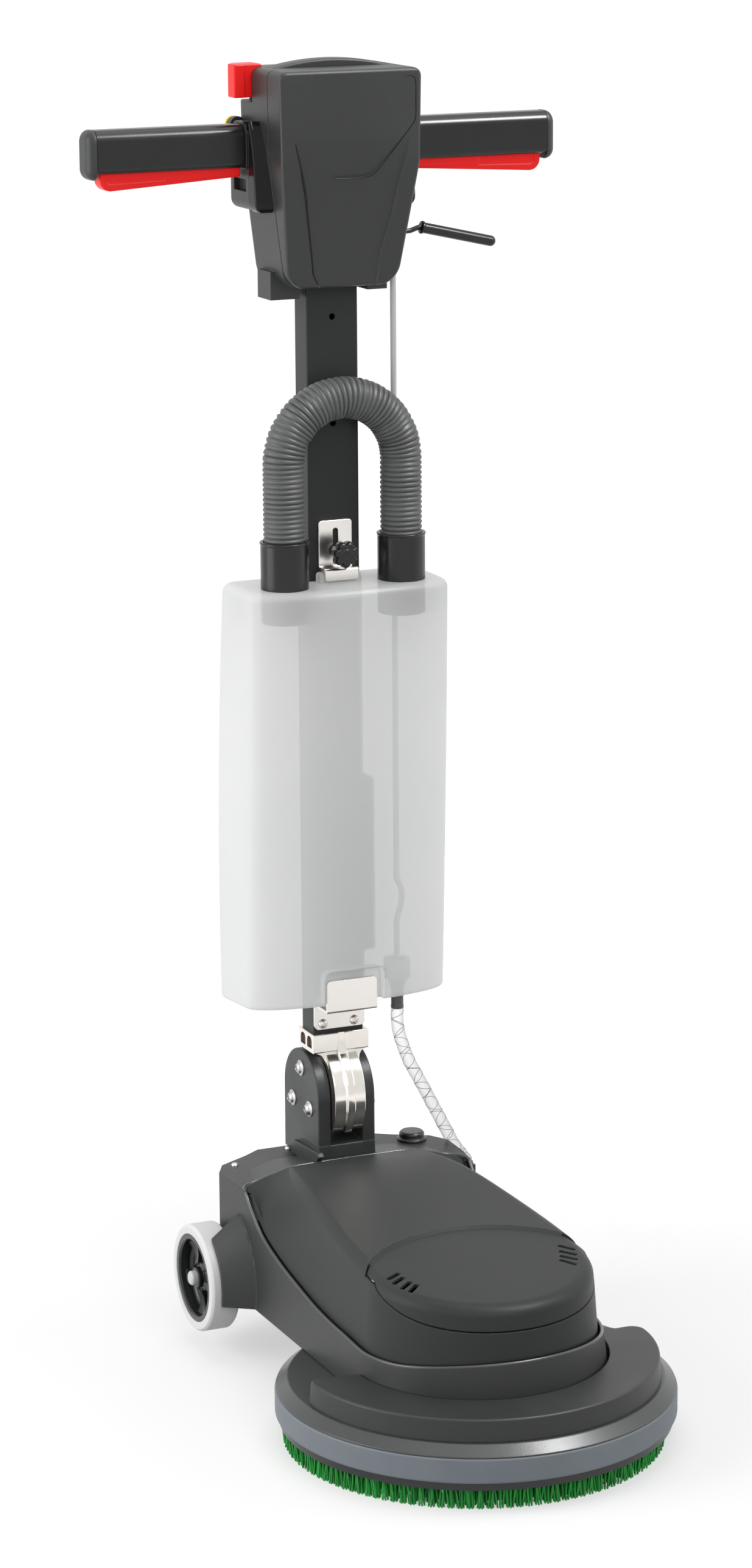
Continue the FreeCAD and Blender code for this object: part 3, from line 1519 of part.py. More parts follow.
def make_head_housing():
    wall, gap = size("head_wall"), size("seat_gap")
    start, end = size("head_split") + gap, size("head_back_split")
    span = vector(0, end - start, 0)
    solid = prism(head_outline(0, start), span)
    shell = solid.cut(prism(head_outline(wall, start), span))
    grip_low, grip_high = size("grip_bottom"), size("grip_bottom") + size("grip_height")
    front, back = size("grip_front"), size("grip_front") + size("grip_depth")
    reach, side_wall = size("boss_reach"), size("head_foot_half_width") - 1
    extra = [release_notch(wall).common(solid)]
    for side in (-1, 1):
        low_x, high_x = sorted((side * (size("head_waist_half_width") - wall), side * reach))
        boss = block(
            (low_x, size("boss_front"), size("boss_bottom")), (high_x, size("boss_back"), size("boss_top")),
        )
        upright = [e for e in boss.Edges if runs_along(e, "Y") and abs(e.CenterOfMass.x) > reach - 0.1]
        extra.append(boss.makeFillet(9, upright))
    button_at = vector(-size("button_x"), size("boss_back") - 7.4, size("button_height"))
    extra.append(Part.makeCylinder(size("button_stem_radius") + 3.5, 7.4, button_at, AXES["Y"]))
    foot, block_top = size("head_bottom") - size("foot_block_height") * 0.45, size("head_bottom") + 14
    beside = size("column_half_width") + 6
    extra.append(
        block(
            (-size("head_foot_half_width") - 11, size("column_front"), foot),
            (-beside, back - 6, block_top),
        )
    )
    extra.append(
        block(
            (2 - size("head_foot_half_width") + 78, start, foot + 7),
            (46, back - 20, size("head_bottom") + 1),
        )
    )
    pivot, high = size("lever_pivot_x"), size("lever_height")
    web_front = size("outlet_length") + size("lever_wire_radius") * 2.8
    extra.append(
        block(
            (size("column_half_width") + 0.5, web_front, high - 14),
            (side_wall + 4, web_front + wall, high + 14),
        )
    )
    pin_start = size("outlet_length") - size("lever_wire_radius") * 1.8
    pin_at = vector(pivot, pin_start, high)
    extra.append(Part.makeCylinder(size("lever_pin_radius"), web_front - pin_start + 1, pin_at, AXES["Y"]))

    solid = shell.fuse(extra)
    column_gap = size("column_half_width") + gap
    tools = [
        release_notch(0),
        block((-column_gap, size("column_front") - gap, foot - 1),
              (column_gap, size("column_front") + size("column_depth") + gap, size("column_top"))),
        Part.makeCylinder(
            size("release_pin_radius") + size("fit_gap"), wall * 4,
            vector(
                -size("release_inner") - wall, size("release_length"), size("release_pin_height"),
            ), AXES["X"],
        ),
        Part.makeCylinder(
            size("button_stem_radius") + size("fit_gap"), 20, button_at + vector(0, 0.5, 0), AXES["Y"],
        ),
        block(
            (side_wall - 8, size("outlet_length") - 4, high - 6), (
                size("head_half_width") + 5, size("outlet_length") + 4, high + 16,
            ),
        ),
        prism(head_outline(1.5 - gap, end), vector(0, 20, 0)),
        Part.makeCylinder(
            size("pull_rod_radius") + 1.5, 60, vector(size("outlet_x"), size("outlet_length"), high - 50),
        ),
        block(
            (size("outlet_x") - 4, size("outlet_length") - 8, high - 9),
            (size("outlet_x") + 4, size("outlet_length") + 6, high + 18),
        ),
    ]
    for side in (-1, 1):
        low_x, high_x = sorted((side * (size("head_waist_half_width") - wall - 5), side * (reach + 5)))
        hole = block((low_x, front - gap, grip_low - gap), (high_x, back + gap, grip_high + gap))
        tools.append(hole.makeFillet(size("grip_corner"), [e for e in hole.Edges if runs_along(e, "X")]))
        low_x, high_x = sorted((side * (reach - 6), side * (reach + 5)))
        tools.append(
            block(
                (low_x, front + 2, size("boss_bottom") + 17), (high_x, back + 2, size("boss_bottom") + 28),
            )
        )
    shaped("head_housing", one_solid(solid.cut(tools)))


def make_head_back():
    wall, gap = size("head_wall"), size("seat_gap")
    start, end = size("head_back_split") + gap, size("head_back")
    solid = prism(head_outline(1.5, start), vector(0, end - start, 0))
    rear = [e for e in solid.Edges if e.BoundBox.YMin > end - 0.01]
    solid = solid.makeFillet(size("head_edge"), rear)
    room = prism(head_outline(1.5 + wall, start - 1), vector(0, end - start + 1 - wall, 0))
    shaped("head_back", one_solid(solid.cut(room).cut(release_notch(0))))


def make_dome():
    """The arched carrying handle on top of the head, joined to it by its two feet."""
    half, rise, top = size("dome_half_width"), size("dome_rise"), size("head_top") + size("seat_gap") / 2
    y = size("head_split") + 14
    wire = Part.Wire([
        Part.Arc(vector(-half, y, top), vector(0, y, top + rise), vector(half, y, top)).toShape(),
        Part.LineSegment(vector(half, y, top), vector(-half, y, top)).toShape(),
    ])
    shaped("carry_rib", prism(wire, vector(0, size("dome_depth"), 0)))


def make_grips():
    front, low, wall = size("grip_front"), size("grip_bottom"), size("grip_wall")
    back, high = front + size("grip_depth"), low + size("grip_height")
    end, corner, gap = size("grip_half_span"), size("grip_corner"), size("fit_gap")
    middle = (front + back) / 2
    slot_half = size("trigger_width") / 2 + size("trigger_play")
    waist = size("head_waist_half_width")
    for word, side in (("left", -1), ("right", 1)):

        def span(start, stop, low_y, low_z, high_y, high_z):
            low_x, high_x = sorted((side * start, side * stop))
            return block((low_x, low_y, low_z), (high_x, high_y, high_z))

        tube = span(waist - 2, end, front, low, back, high)
        tube = tube.makeFillet(corner, [e for e in tube.Edges if runs_along(e, "X")])
        room = span(waist - 3, end + 1, front + wall, low + wall, back - wall, high - wall)
        room = room.makeFillet(corner - wall, [e for e in room.Edges if runs_along(e, "X")])
        slot = span(
            size("trigger_inner") - 1.5, end - 2,
            middle - slot_half, low - 1, middle + slot_half, low + corner,
        )
        pin_at = vector(side * size("trigger_pin_x"), front - 1, size("trigger_pin_height"))
        pin_bore = Part.makeCylinder(size("trigger_pin_radius") + gap, back - front + 2, pin_at, AXES["Y"])
        shaped(f"{word}_grip", one_solid(tube.cut([room, slot, pin_bore])))

        cap = span(
            end,
            end + size("grip_cap_length"),
            front - 0.5,
            low - size("grip_cap_drop"),
            back + 0.5,
            high + 0.5,
        )
        cap = cap.makeFillet(corner, [e for e in cap.Edges if runs_along(e, "X")])
        outer = [e for e in cap.Edges if abs(e.CenterOfMass.x) > end + size("grip_cap_length") - 0.01]
        shaped(f"{word}_end_cap", cap.makeFillet(size("head_edge"), outer))

        start, split = size("cheek_front"), size("boss_front")
        plan = [
            (waist + 0.1, start),
            (size("boss_reach"), split - 5),
            (size("boss_reach"), split),
            (waist + 0.1, split),
        ]
        base = size("boss_bottom") - 1
        spots = [vector(side * x, y, base) for x, y in plan]
        cheek = prism(Part.makePolygon(spots + spots[:1]), vector(0, 0, size("boss_top") + 0.5 - base))
        sharp = [e for e in cheek.Edges if runs_along(e, "Z") and abs(e.CenterOfMass.x) > waist + 1]
        cheek = cheek.makeFillet(2, [e for e in sharp if e.CenterOfMass.y < split - 1])
        body = prism(head_outline(-0.1, 0), vector(0, size("head_back"), 0))
        shaped(f"{word}_cheek", one_solid(cheek.cut(body)))
        make_trigger(word, side, middle)


def make_trigger(word, side, middle):
    """A blade in the grip's slot that turns up about the pin at its inner end."""
    low, half = size("grip_bottom"), size("trigger_width") / 2
    inner, outer, top = size("trigger_inner"), size("trigger_outer"), low + size("trigger_rise")
    corners = [
        (inner, low - size("trigger_drop_inner"), 2),
        (outer - 4, low - size("trigger_drop_outer"), 9),
        (outer, low - 2, 0),
        (outer, top, 0),
        (inner, top, 0),
    ]
    wire = smooth_wire(
        [vector(side * x, middle - half, z) for x, z, turn in corners],
        [c[2] for c in corners],
        closed=True,
    )
    blade = prism(wire, vector(0, half * 2, 0))
    pin_at = vector(side * size("trigger_pin_x"), 0, size("trigger_pin_height"))
    long = size("grip_depth") - 0.6
    eye = Part.makeCylinder(
        size("trigger_pin_radius") + 2, half * 2, pin_at + vector(0, middle - half, 0), AXES["Y"],
    )
    pin = Part.makeCylinder(
        size("trigger_pin_radius"), long, pin_at + vector(0, middle - long / 2, 0), AXES["Y"],
    )
    shaped(f"{word}_trigger", one_solid(blade.fuse([eye, pin])))


def make_controls():
    wall = size("head_wall")
    inner, outer, y = size("release_inner"), size("release_outer"), size("release_length")
    half, low, top = size("release_half_depth"), size("release_pin_height") - 5, size("release_top")
    side = [
        (y - half, low + 7), (y - half / 2, low), (y + half / 2, low),
        (y + half, low + 12), (y + half, top), (y - half, top),
    ]
    spots = [vector(-outer, a, b) for a, b in side]
    lever = prism(Part.makePolygon(spots + spots[:1]), vector(outer - inner, 0, 0))
    plan = [
        (-outer, y - half),
        (-inner, y - half),
        (-inner, y + half),
        (7.5 - outer, y + half - 1),
        (-outer, y + half - 9),
    ]
    spots = [vector(a, b, low) for a, b in plan]
    lever = lever.common(prism(Part.makePolygon(spots + spots[:1]), vector(0, 0, top - low)))
    crown = [e for e in lever.Edges if e.BoundBox.ZMin > top - 0.01]
    lever = lever.makeFillet(2, crown)
    pin = Part.makeCylinder(
        size("release_pin_radius"), wall + 1, vector(
            -inner - 0.5, y, size("release_pin_height"),
        ), AXES["X"],
    )
    shaped("release_lever", one_solid(lever.fuse(pin)))
    stem_start = "(boss_back + button_travel + running_gap - button_stem_length)"
    head_start = "(boss_back + button_travel + running_gap)"
    node("safety_button", fuse(
        "safety_button",
        rod(
            "button_stem",
            "button_stem_radius",
            "button_stem_length + 1",
            ("-button_x", stem_start, "button_height"),
            "Y",
        ),
        rod("button_cap", "button_radius", "button_head", ("-button_x", head_start, "button_height"), "Y"),
    ))

    pivot, high, y = size("lever_pivot_x"), size("lever_height"), size("outlet_length")
    reach, radius = size("lever_reach"), size("lever_wire_radius")
    sleeve = size("sleeve_length")
    start, bend = vector(pivot, y, high), vector(size("lever_bend_x"), y, high)
    knee = vector(size("lever_knee_x"), y, high + size("lever_knee_rise"))
    tip = vector(reach, y, high - size("lever_tip_drop"))
    turn = size("lever_bend_radius")
    wire = swept(smooth_wire([start, bend, knee, tip], [0, turn, turn, 0]), radius)
    eye_radius, pin_gap = size("lever_pin_radius") + radius, size("lever_pin_radius") + size("fit_gap")
    eye = Part.makeCylinder(eye_radius, radius * 2, start - vector(0, radius, 0), AXES["Y"])
    bore = Part.makeCylinder(pin_gap, radius * 4, start - vector(0, radius * 2, 0), AXES["Y"])
    shaped("lever_wire", one_solid(wire.fuse(eye).cut(bore)))
    along = (tip - knee).normalize()
    first = tip - along * (sleeve - 4)
    shell = Part.makeCylinder(size("sleeve_radius"), sleeve, first, along)
    shell = shell.makeFillet(1.5, [e for e in shell.Edges if e.BoundBox.XMin > reach - 4])
    inside = Part.makeCylinder(radius + size("fit_gap"), sleeve - 3.5, first, along)
    shaped("lever_sleeve", shell.cut(inside))


make_brush()
make_guard()
make_crescent()
make_gears()
make_gear_case()
make_motor()
make_case()
make_deck()
make_wheels()
make_rear_fittings()
make_bracket()
make_casting()
make_column()
make_tank()
make_arch()
make_valve()
make_feed_hose()
make_clip()
make_head_front()
make_head_housing()
make_head_back()
make_dome()
make_grips()
make_controls()
doc.recompute()

for thing in doc.Objects:
    if "Invalid" in thing.State or "Error" in thing.State:
        raise RuntimeError(f"{thing.Name} did not recompute: {thing.State}")
for thing in subparts:
    if thing.Shape.isNull() or not thing.Shape.isValid() or not thing.Shape.Solids:
        raise RuntimeError(f"{thing.Label} has no valid solid")

os.makedirs("parts", exist_ok=True)
for thing in subparts:
    thing.Shape.exportStep(f"parts/{thing.Label}.step")
print(len(subparts), "sub-parts,", sum(len(thing.Shape.Solids) for thing in subparts), "solids")
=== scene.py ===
import json
import math

import bmesh
import bpy
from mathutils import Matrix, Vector
from mathutils.bvhtree import BVHTree


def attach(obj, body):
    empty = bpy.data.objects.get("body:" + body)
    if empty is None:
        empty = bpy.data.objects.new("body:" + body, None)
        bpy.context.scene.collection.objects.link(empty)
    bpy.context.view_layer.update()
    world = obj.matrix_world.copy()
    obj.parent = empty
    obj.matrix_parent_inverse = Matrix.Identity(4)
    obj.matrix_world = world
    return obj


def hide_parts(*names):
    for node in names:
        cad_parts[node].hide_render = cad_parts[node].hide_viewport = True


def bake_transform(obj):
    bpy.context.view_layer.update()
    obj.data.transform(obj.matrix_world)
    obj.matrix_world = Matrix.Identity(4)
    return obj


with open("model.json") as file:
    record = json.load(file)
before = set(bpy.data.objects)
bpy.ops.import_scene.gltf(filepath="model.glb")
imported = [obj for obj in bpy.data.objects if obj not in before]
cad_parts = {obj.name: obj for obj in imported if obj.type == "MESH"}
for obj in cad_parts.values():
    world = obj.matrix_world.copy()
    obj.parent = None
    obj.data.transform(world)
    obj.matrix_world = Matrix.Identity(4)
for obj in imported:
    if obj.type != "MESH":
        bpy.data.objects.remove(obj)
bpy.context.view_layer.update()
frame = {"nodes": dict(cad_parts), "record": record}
nodes = frame["nodes"]
print("frame loaded:", len(nodes), "nodes")


# sRGB 0-255 to the linear colour that a shader takes
def tone(red, green, blue):
    def linear(value):
        value /= 255
        return value / 12.92 if value <= 0.04045 else ((value + 0.055) / 1.055) ** 2.4
    return (linear(red), linear(green), linear(blue), 1.0)


def addObject(name, data):
    obj = bpy.data.objects.new(name, data)
    bpy.context.scene.collection.objects.link(obj)
    return obj


# Camera
camera = dict(
    place=(-1.549068, -3.311691, 1.473014), yaw=23.7447, pitch=-13.5419, roll=-0.4011, lens=101.13,
)


def makeCamera(spec):
    data = bpy.data.cameras.new("studioCamera")
    data.lens = spec["lens"]
    data.sensor_width = 36
    obj = addObject("studioCamera", data)
    yaw, pitch, roll = (math.radians(spec[key]) for key in ("yaw", "pitch", "roll"))
    forward = Vector((math.sin(yaw) * math.cos(pitch), math.cos(yaw) * math.cos(pitch), math.sin(pitch)))
    right = Vector((math.cos(yaw), -math.sin(yaw), 0))
    up = right.cross(forward)
    turnedRight = right * math.cos(roll) + up * math.sin(roll)
    turnedUp = up * math.cos(roll) - right * math.sin(roll)
    matrix = obj.matrix_world.copy()
    for row in range(3):
        matrix[row][0], matrix[row][1], matrix[row][2] = turnedRight[row], turnedUp[row], -forward[row]
        matrix[row][3] = spec["place"][row]
    obj.matrix_world = matrix
    bpy.context.scene.camera = obj


makeCamera(camera)

# Light and floor
studio = dict(
    ambient=0.42, floorTone=0.5, glowNear=0.53, glowFar=0.85, glowStart=0.5, glowEnd=1.3, glowMiddle=(-0.1, 0.1, 0),
    lamps=[
        dict(name="leftLamp", place=(-2.6, 0.5, 1.3), aim=(0, 0.1, 0.6), size=(1.8, 2.4), power=50),
        dict(name="frontLamp", place=(-0.3, -3.4, 2.4), aim=(0, 0.1, 0.5), size=(2.4, 1.6), power=31),
        dict(name="topLamp", place=(0.2, 0.3, 3.2), aim=(0, 0.1, 0.2), size=(2.2, 2.2), power=24),
        dict(name="rightLamp", place=(2.6, -0.6, 1.6), aim=(0, 0.1, 0.6), size=(1.2, 2.4), power=15),
        dict(name="glintLamp", place=(1.3, -1.1, 3.0), aim=(0, 0, 0.4), size=(0.8, 0.8), power=105, glint=True),
    ],
)


# a node of any tree, with its links or values by socket
def addNode(tree, kind, links=(), **settings):
    node = tree.nodes.new(kind)
    for key, value in settings.items():
        setattr(node, key, value)
    for socket, value in dict(links).items():
        if isinstance(value, bpy.types.NodeSocket):
            tree.links.new(value, node.inputs[socket])
        else:
            node.inputs[socket].default_value = value
    return node


def mathNode(tree, operation, first, second, clamp=False):
    return addNode(tree, "ShaderNodeMath", {0: first, 1: second}, operation=operation, use_clamp=clamp).outputs[0]


# carries a value from start..end to low..high
def mapRange(tree, value, low=0.0, high=1.0, start=0.0, end=1.0, kind="LINEAR"):
    return addNode(tree, "ShaderNodeMapRange", {
        "Value": value, "From Min": start, "From Max": end, "To Min": low, "To Max": high,
    }, interpolation_type=kind).outputs["Result"]


def ownPlace(tree):
    return addNode(tree, "ShaderNodeTexCoord").outputs["Object"]


# A factor that is 1 for camera, glossy and transmission rays
def lightPathWhite(tree):
    path = addNode(tree, "ShaderNodeLightPath").outputs
    seen = mathNode(tree, "MAXIMUM", path["Is Camera Ray"], path["Is Glossy Ray"])
    return mathNode(tree, "MAXIMUM", seen, path["Is Transmission Ray"])


def makeLamp(spec):
    data = bpy.data.lights.new(spec["name"], "AREA")
    data.shape = "RECTANGLE"
    data.size, data.size_y = spec["size"]
    data.energy = spec["power"]
    obj = addObject(spec["name"], data)
    obj.location = spec["place"]
    obj.visible_diffuse = not spec.get("glint", False)
    aim = Vector(spec["aim"]) - Vector(spec["place"])
    obj.rotation_euler = aim.to_track_quat("-Z", "Y").to_euler()


def makeFloor(spec):
    mesh = bpy.data.meshes.new("studioFloor")
    reach = 30
    corners = [(-reach, -reach, 0), (reach, -reach, 0), (reach, reach, 0), (-reach, reach, 0)]
    mesh.from_pydata(corners, [], [(0, 1, 2, 3)])
    floor = addObject("studioFloor", mesh)
    material = bpy.data.materials.new("floorPaper")
    material.use_nodes = True
    tree = material.node_tree
    tree.nodes.clear()
    away = addNode(tree, "ShaderNodeVectorMath", {0: ownPlace(tree), 1: spec["glowMiddle"]}, operation="DISTANCE")
    level = mapRange(tree, away.outputs["Value"], spec["glowNear"], spec["glowFar"], spec["glowStart"],
                     spec["glowEnd"], "SMOOTHSTEP")
    strength = mathNode(tree, "MULTIPLY", lightPathWhite(tree), level)
    diffuse = addNode(tree, "ShaderNodeBsdfDiffuse", {"Color": (spec["floorTone"],) * 3 + (1,)})
    glow = addNode(tree, "ShaderNodeEmission", {"Strength": strength})
    both = addNode(tree, "ShaderNodeAddShader", {0: diffuse.outputs[0], 1: glow.outputs[0]})
    addNode(tree, "ShaderNodeOutputMaterial", {"Surface": both.outputs[0]})
    mesh.materials.append(material)


def makeStudio(spec):
    scene = bpy.context.scene
    scene.view_settings.view_transform = "Standard"
    world = bpy.data.worlds.new("studioWorld")
    world.use_nodes = True
    scene.world = world
    tree = world.node_tree
    background = tree.nodes["Background"]
    background.inputs["Color"].default_value = (1, 1, 1, 1)
    tree.links.new(mapRange(tree, lightPathWhite(tree), spec["ambient"]), background.inputs["Strength"])
    for lamp in spec["lamps"]:
        makeLamp(lamp)
    makeFloor(spec)


makeStudio(studio)
print("camera, lamps and floor made")


# Shader groups
def newGroup(name, inputs, outputs):
    group = bpy.data.node_groups.new(name, "ShaderNodeTree")
    for label, kind, value in inputs:
        socket = group.interface.new_socket(name=label, in_out="INPUT", socket_type=kind)
        socket.default_value = value
    for label, kind in outputs:
        group.interface.new_socket(name=label, in_out="OUTPUT", socket_type=kind)
    return group, group.nodes.new("NodeGroupInput"), group.nodes.new("NodeGroupOutput")


def noiseFac(tree, place, scale, detail, roughness=0.5):
    return addNode(tree, "ShaderNodeTexNoise", {
        "Vector": place, "Scale": scale, "Detail": detail, "Roughness": roughness}).outputs["Fac"]


# Moulded or cast grain: a fine height, and a slow tone that drifts over the surface
def makeGrainGroup():
    group, start, end = newGroup(
        "surfaceGrain",
        [("Grain Scale", "NodeSocketFloat", 900.0), ("Drift Scale", "NodeSocketFloat", 9.0)],
        [("Height", "NodeSocketFloat"), ("Tone", "NodeSocketFloat")],
    )
    place = ownPlace(group)
    fine = noiseFac(group, place, start.outputs["Grain Scale"], 3.0)
    drift = noiseFac(group, place, start.outputs["Drift Scale"], 5.0, 0.55)
    group.links.new(fine, end.inputs["Height"])
    group.links.new(mapRange(group, drift, start=0.3, end=0.7), end.inputs["Tone"])
    return group


# Rounded edges in the shading, and a mask of them broken up by noise: the mask sets edge wear and painted highlight
# lines along the edges
def makeWearAndHighlightGroup():
    group, start, end = newGroup(
        "edgeWearAndHighlight",
        [("Radius", "NodeSocketFloat", 0.0012), ("Break Up", "NodeSocketFloat", 120.0)],
        [("Normal", "NodeSocketVector"), ("Mask", "NodeSocketFloat")],
    )
    rounded = addNode(group, "ShaderNodeBevel", {"Radius": start.outputs["Radius"]}, samples=4).outputs["Normal"]
    plain = addNode(group, "ShaderNodeNewGeometry").outputs["Normal"]
    turn = addNode(group, "ShaderNodeVectorMath", {0: rounded, 1: plain}, operation="DOT_PRODUCT")
    edge = mapRange(group, turn.outputs["Value"], start=0.99, end=0.75)
    noise = noiseFac(group, ownPlace(group), start.outputs["Break Up"], 4.0)
    patch = mapRange(group, noise, start=0.35, end=0.65)
    group.links.new(mathNode(group, "MULTIPLY", edge, patch), end.inputs["Mask"])
    group.links.new(rounded, end.inputs["Normal"])
    return group


# A thin film that settles on what faces up, thicker in patches
def makeDustGroup():
    group, start, end = newGroup(
        "settledDust",
        [("Amount", "NodeSocketFloat", 0.1), ("Patch Scale", "NodeSocketFloat", 22.0)],
        [("Mask", "NodeSocketFloat")],
    )
    normal = addNode(group, "ShaderNodeNewGeometry").outputs["Normal"]
    split = addNode(group, "ShaderNodeSeparateXYZ", {0: normal})
    upward = mathNode(group, "MAXIMUM", split.outputs["Z"], 0.0)
    noise = noiseFac(group, ownPlace(group), start.outputs["Patch Scale"], 6.0)
    cover = mathNode(group, "MULTIPLY", upward, noise)
    group.links.new(mathNode(group, "MULTIPLY", cover, start.outputs["Amount"], clamp=True), end.inputs["Mask"])
    return group


grainGroup, wearAndHighlightGroup, dustGroup = makeGrainGroup(), makeWearAndHighlightGroup(), makeDustGroup()


def useGroup(tree, group, **values):
    links = {label.replace("_", " "): value for label, value in values.items()}
    node = addNode(tree, "ShaderNodeGroup", node_tree=group)
    for label, value in links.items():
        node.inputs[label].default_value = value
    return node.outputs


def mixColour(tree, factor, first, second):
    return addNode(tree, "ShaderNodeMix", {"Factor": factor, 6: first, 7: second}, data_type="RGBA").outputs[2]


# the start of each material: a Principled shader whose roughness follows a drifting tone
def startSurface(name, spec):
    material = bpy.data.materials.new(name)
    material.use_nodes = True
    tree = material.node_tree
    shader = tree.nodes["Principled BSDF"]
    sockets = {"Specular IOR Level": spec.get("specular"), "Metallic": spec.get("metallic"),
               **spec.get("sockets", {})}
    for label, value in sockets.items():
        if value is not None:
            shader.inputs[label].default_value = value
    grain = useGroup(tree, grainGroup, Grain_Scale=spec["grainScale"], Drift_Scale=spec["driftScale"])
    tree.links.new(mapRange(tree, grain["Tone"], *spec["rough"]), shader.inputs["Roughness"])
    colour = mixColour(tree, grain["Tone"], tone(*spec["colour"]), tone(*spec["second"]))
    return material, tree, shader, grain, colour


def addBump(tree, shader, height, normal, strength, distance=0.0004):
    bump = addNode(tree, "ShaderNodeBump", {
        "Strength": strength, "Distance": distance, "Height": height, "Normal": normal})
    tree.links.new(bump.outputs["Normal"], shader.inputs["Normal"])


# lets a share of the view through the surface
def openSurface(tree, share, skin):
    clear = addNode(tree, "ShaderNodeBsdfTransparent")
    whole = addNode(tree, "ShaderNodeMixShader", {0: share, 1: skin, 2: clear.outputs[0]})
    tree.links.new(whole.outputs[0], tree.nodes["Material Output"].inputs["Surface"])


dustTone, breakUp = (146, 148, 147), 120.0


# A Principled material with grain, drifting tone, edge wear with painted edge highlights, and dust from its own
# values
def surface(name, spec):
    material, tree, shader, grain, colour = startSurface(name, spec)
    # the edge colour is partly real wear and partly a painted highlight line along each rounded edge
    wearAndHighlight = useGroup(tree, wearAndHighlightGroup, Radius=spec["edge"], Break_Up=spec.get("breakUp", breakUp))
    wearAndHighlightShare = mathNode(tree, "MULTIPLY", wearAndHighlight["Mask"], spec["wearAndHighlight"])
    colour = mixColour(tree, wearAndHighlightShare, colour, tone(*spec["wearAndHighlightColour"]))
    if spec.get("dust"):
        dust = useGroup(tree, dustGroup, Amount=spec["dust"])
        colour = mixColour(tree, dust["Mask"], colour, tone(*dustTone))
    tree.links.new(colour, shader.inputs["Base Color"])
    if spec["grainDepth"]:
        addBump(tree, shader, grain["Height"], wearAndHighlight["Normal"], spec["grainDepth"])
    return material
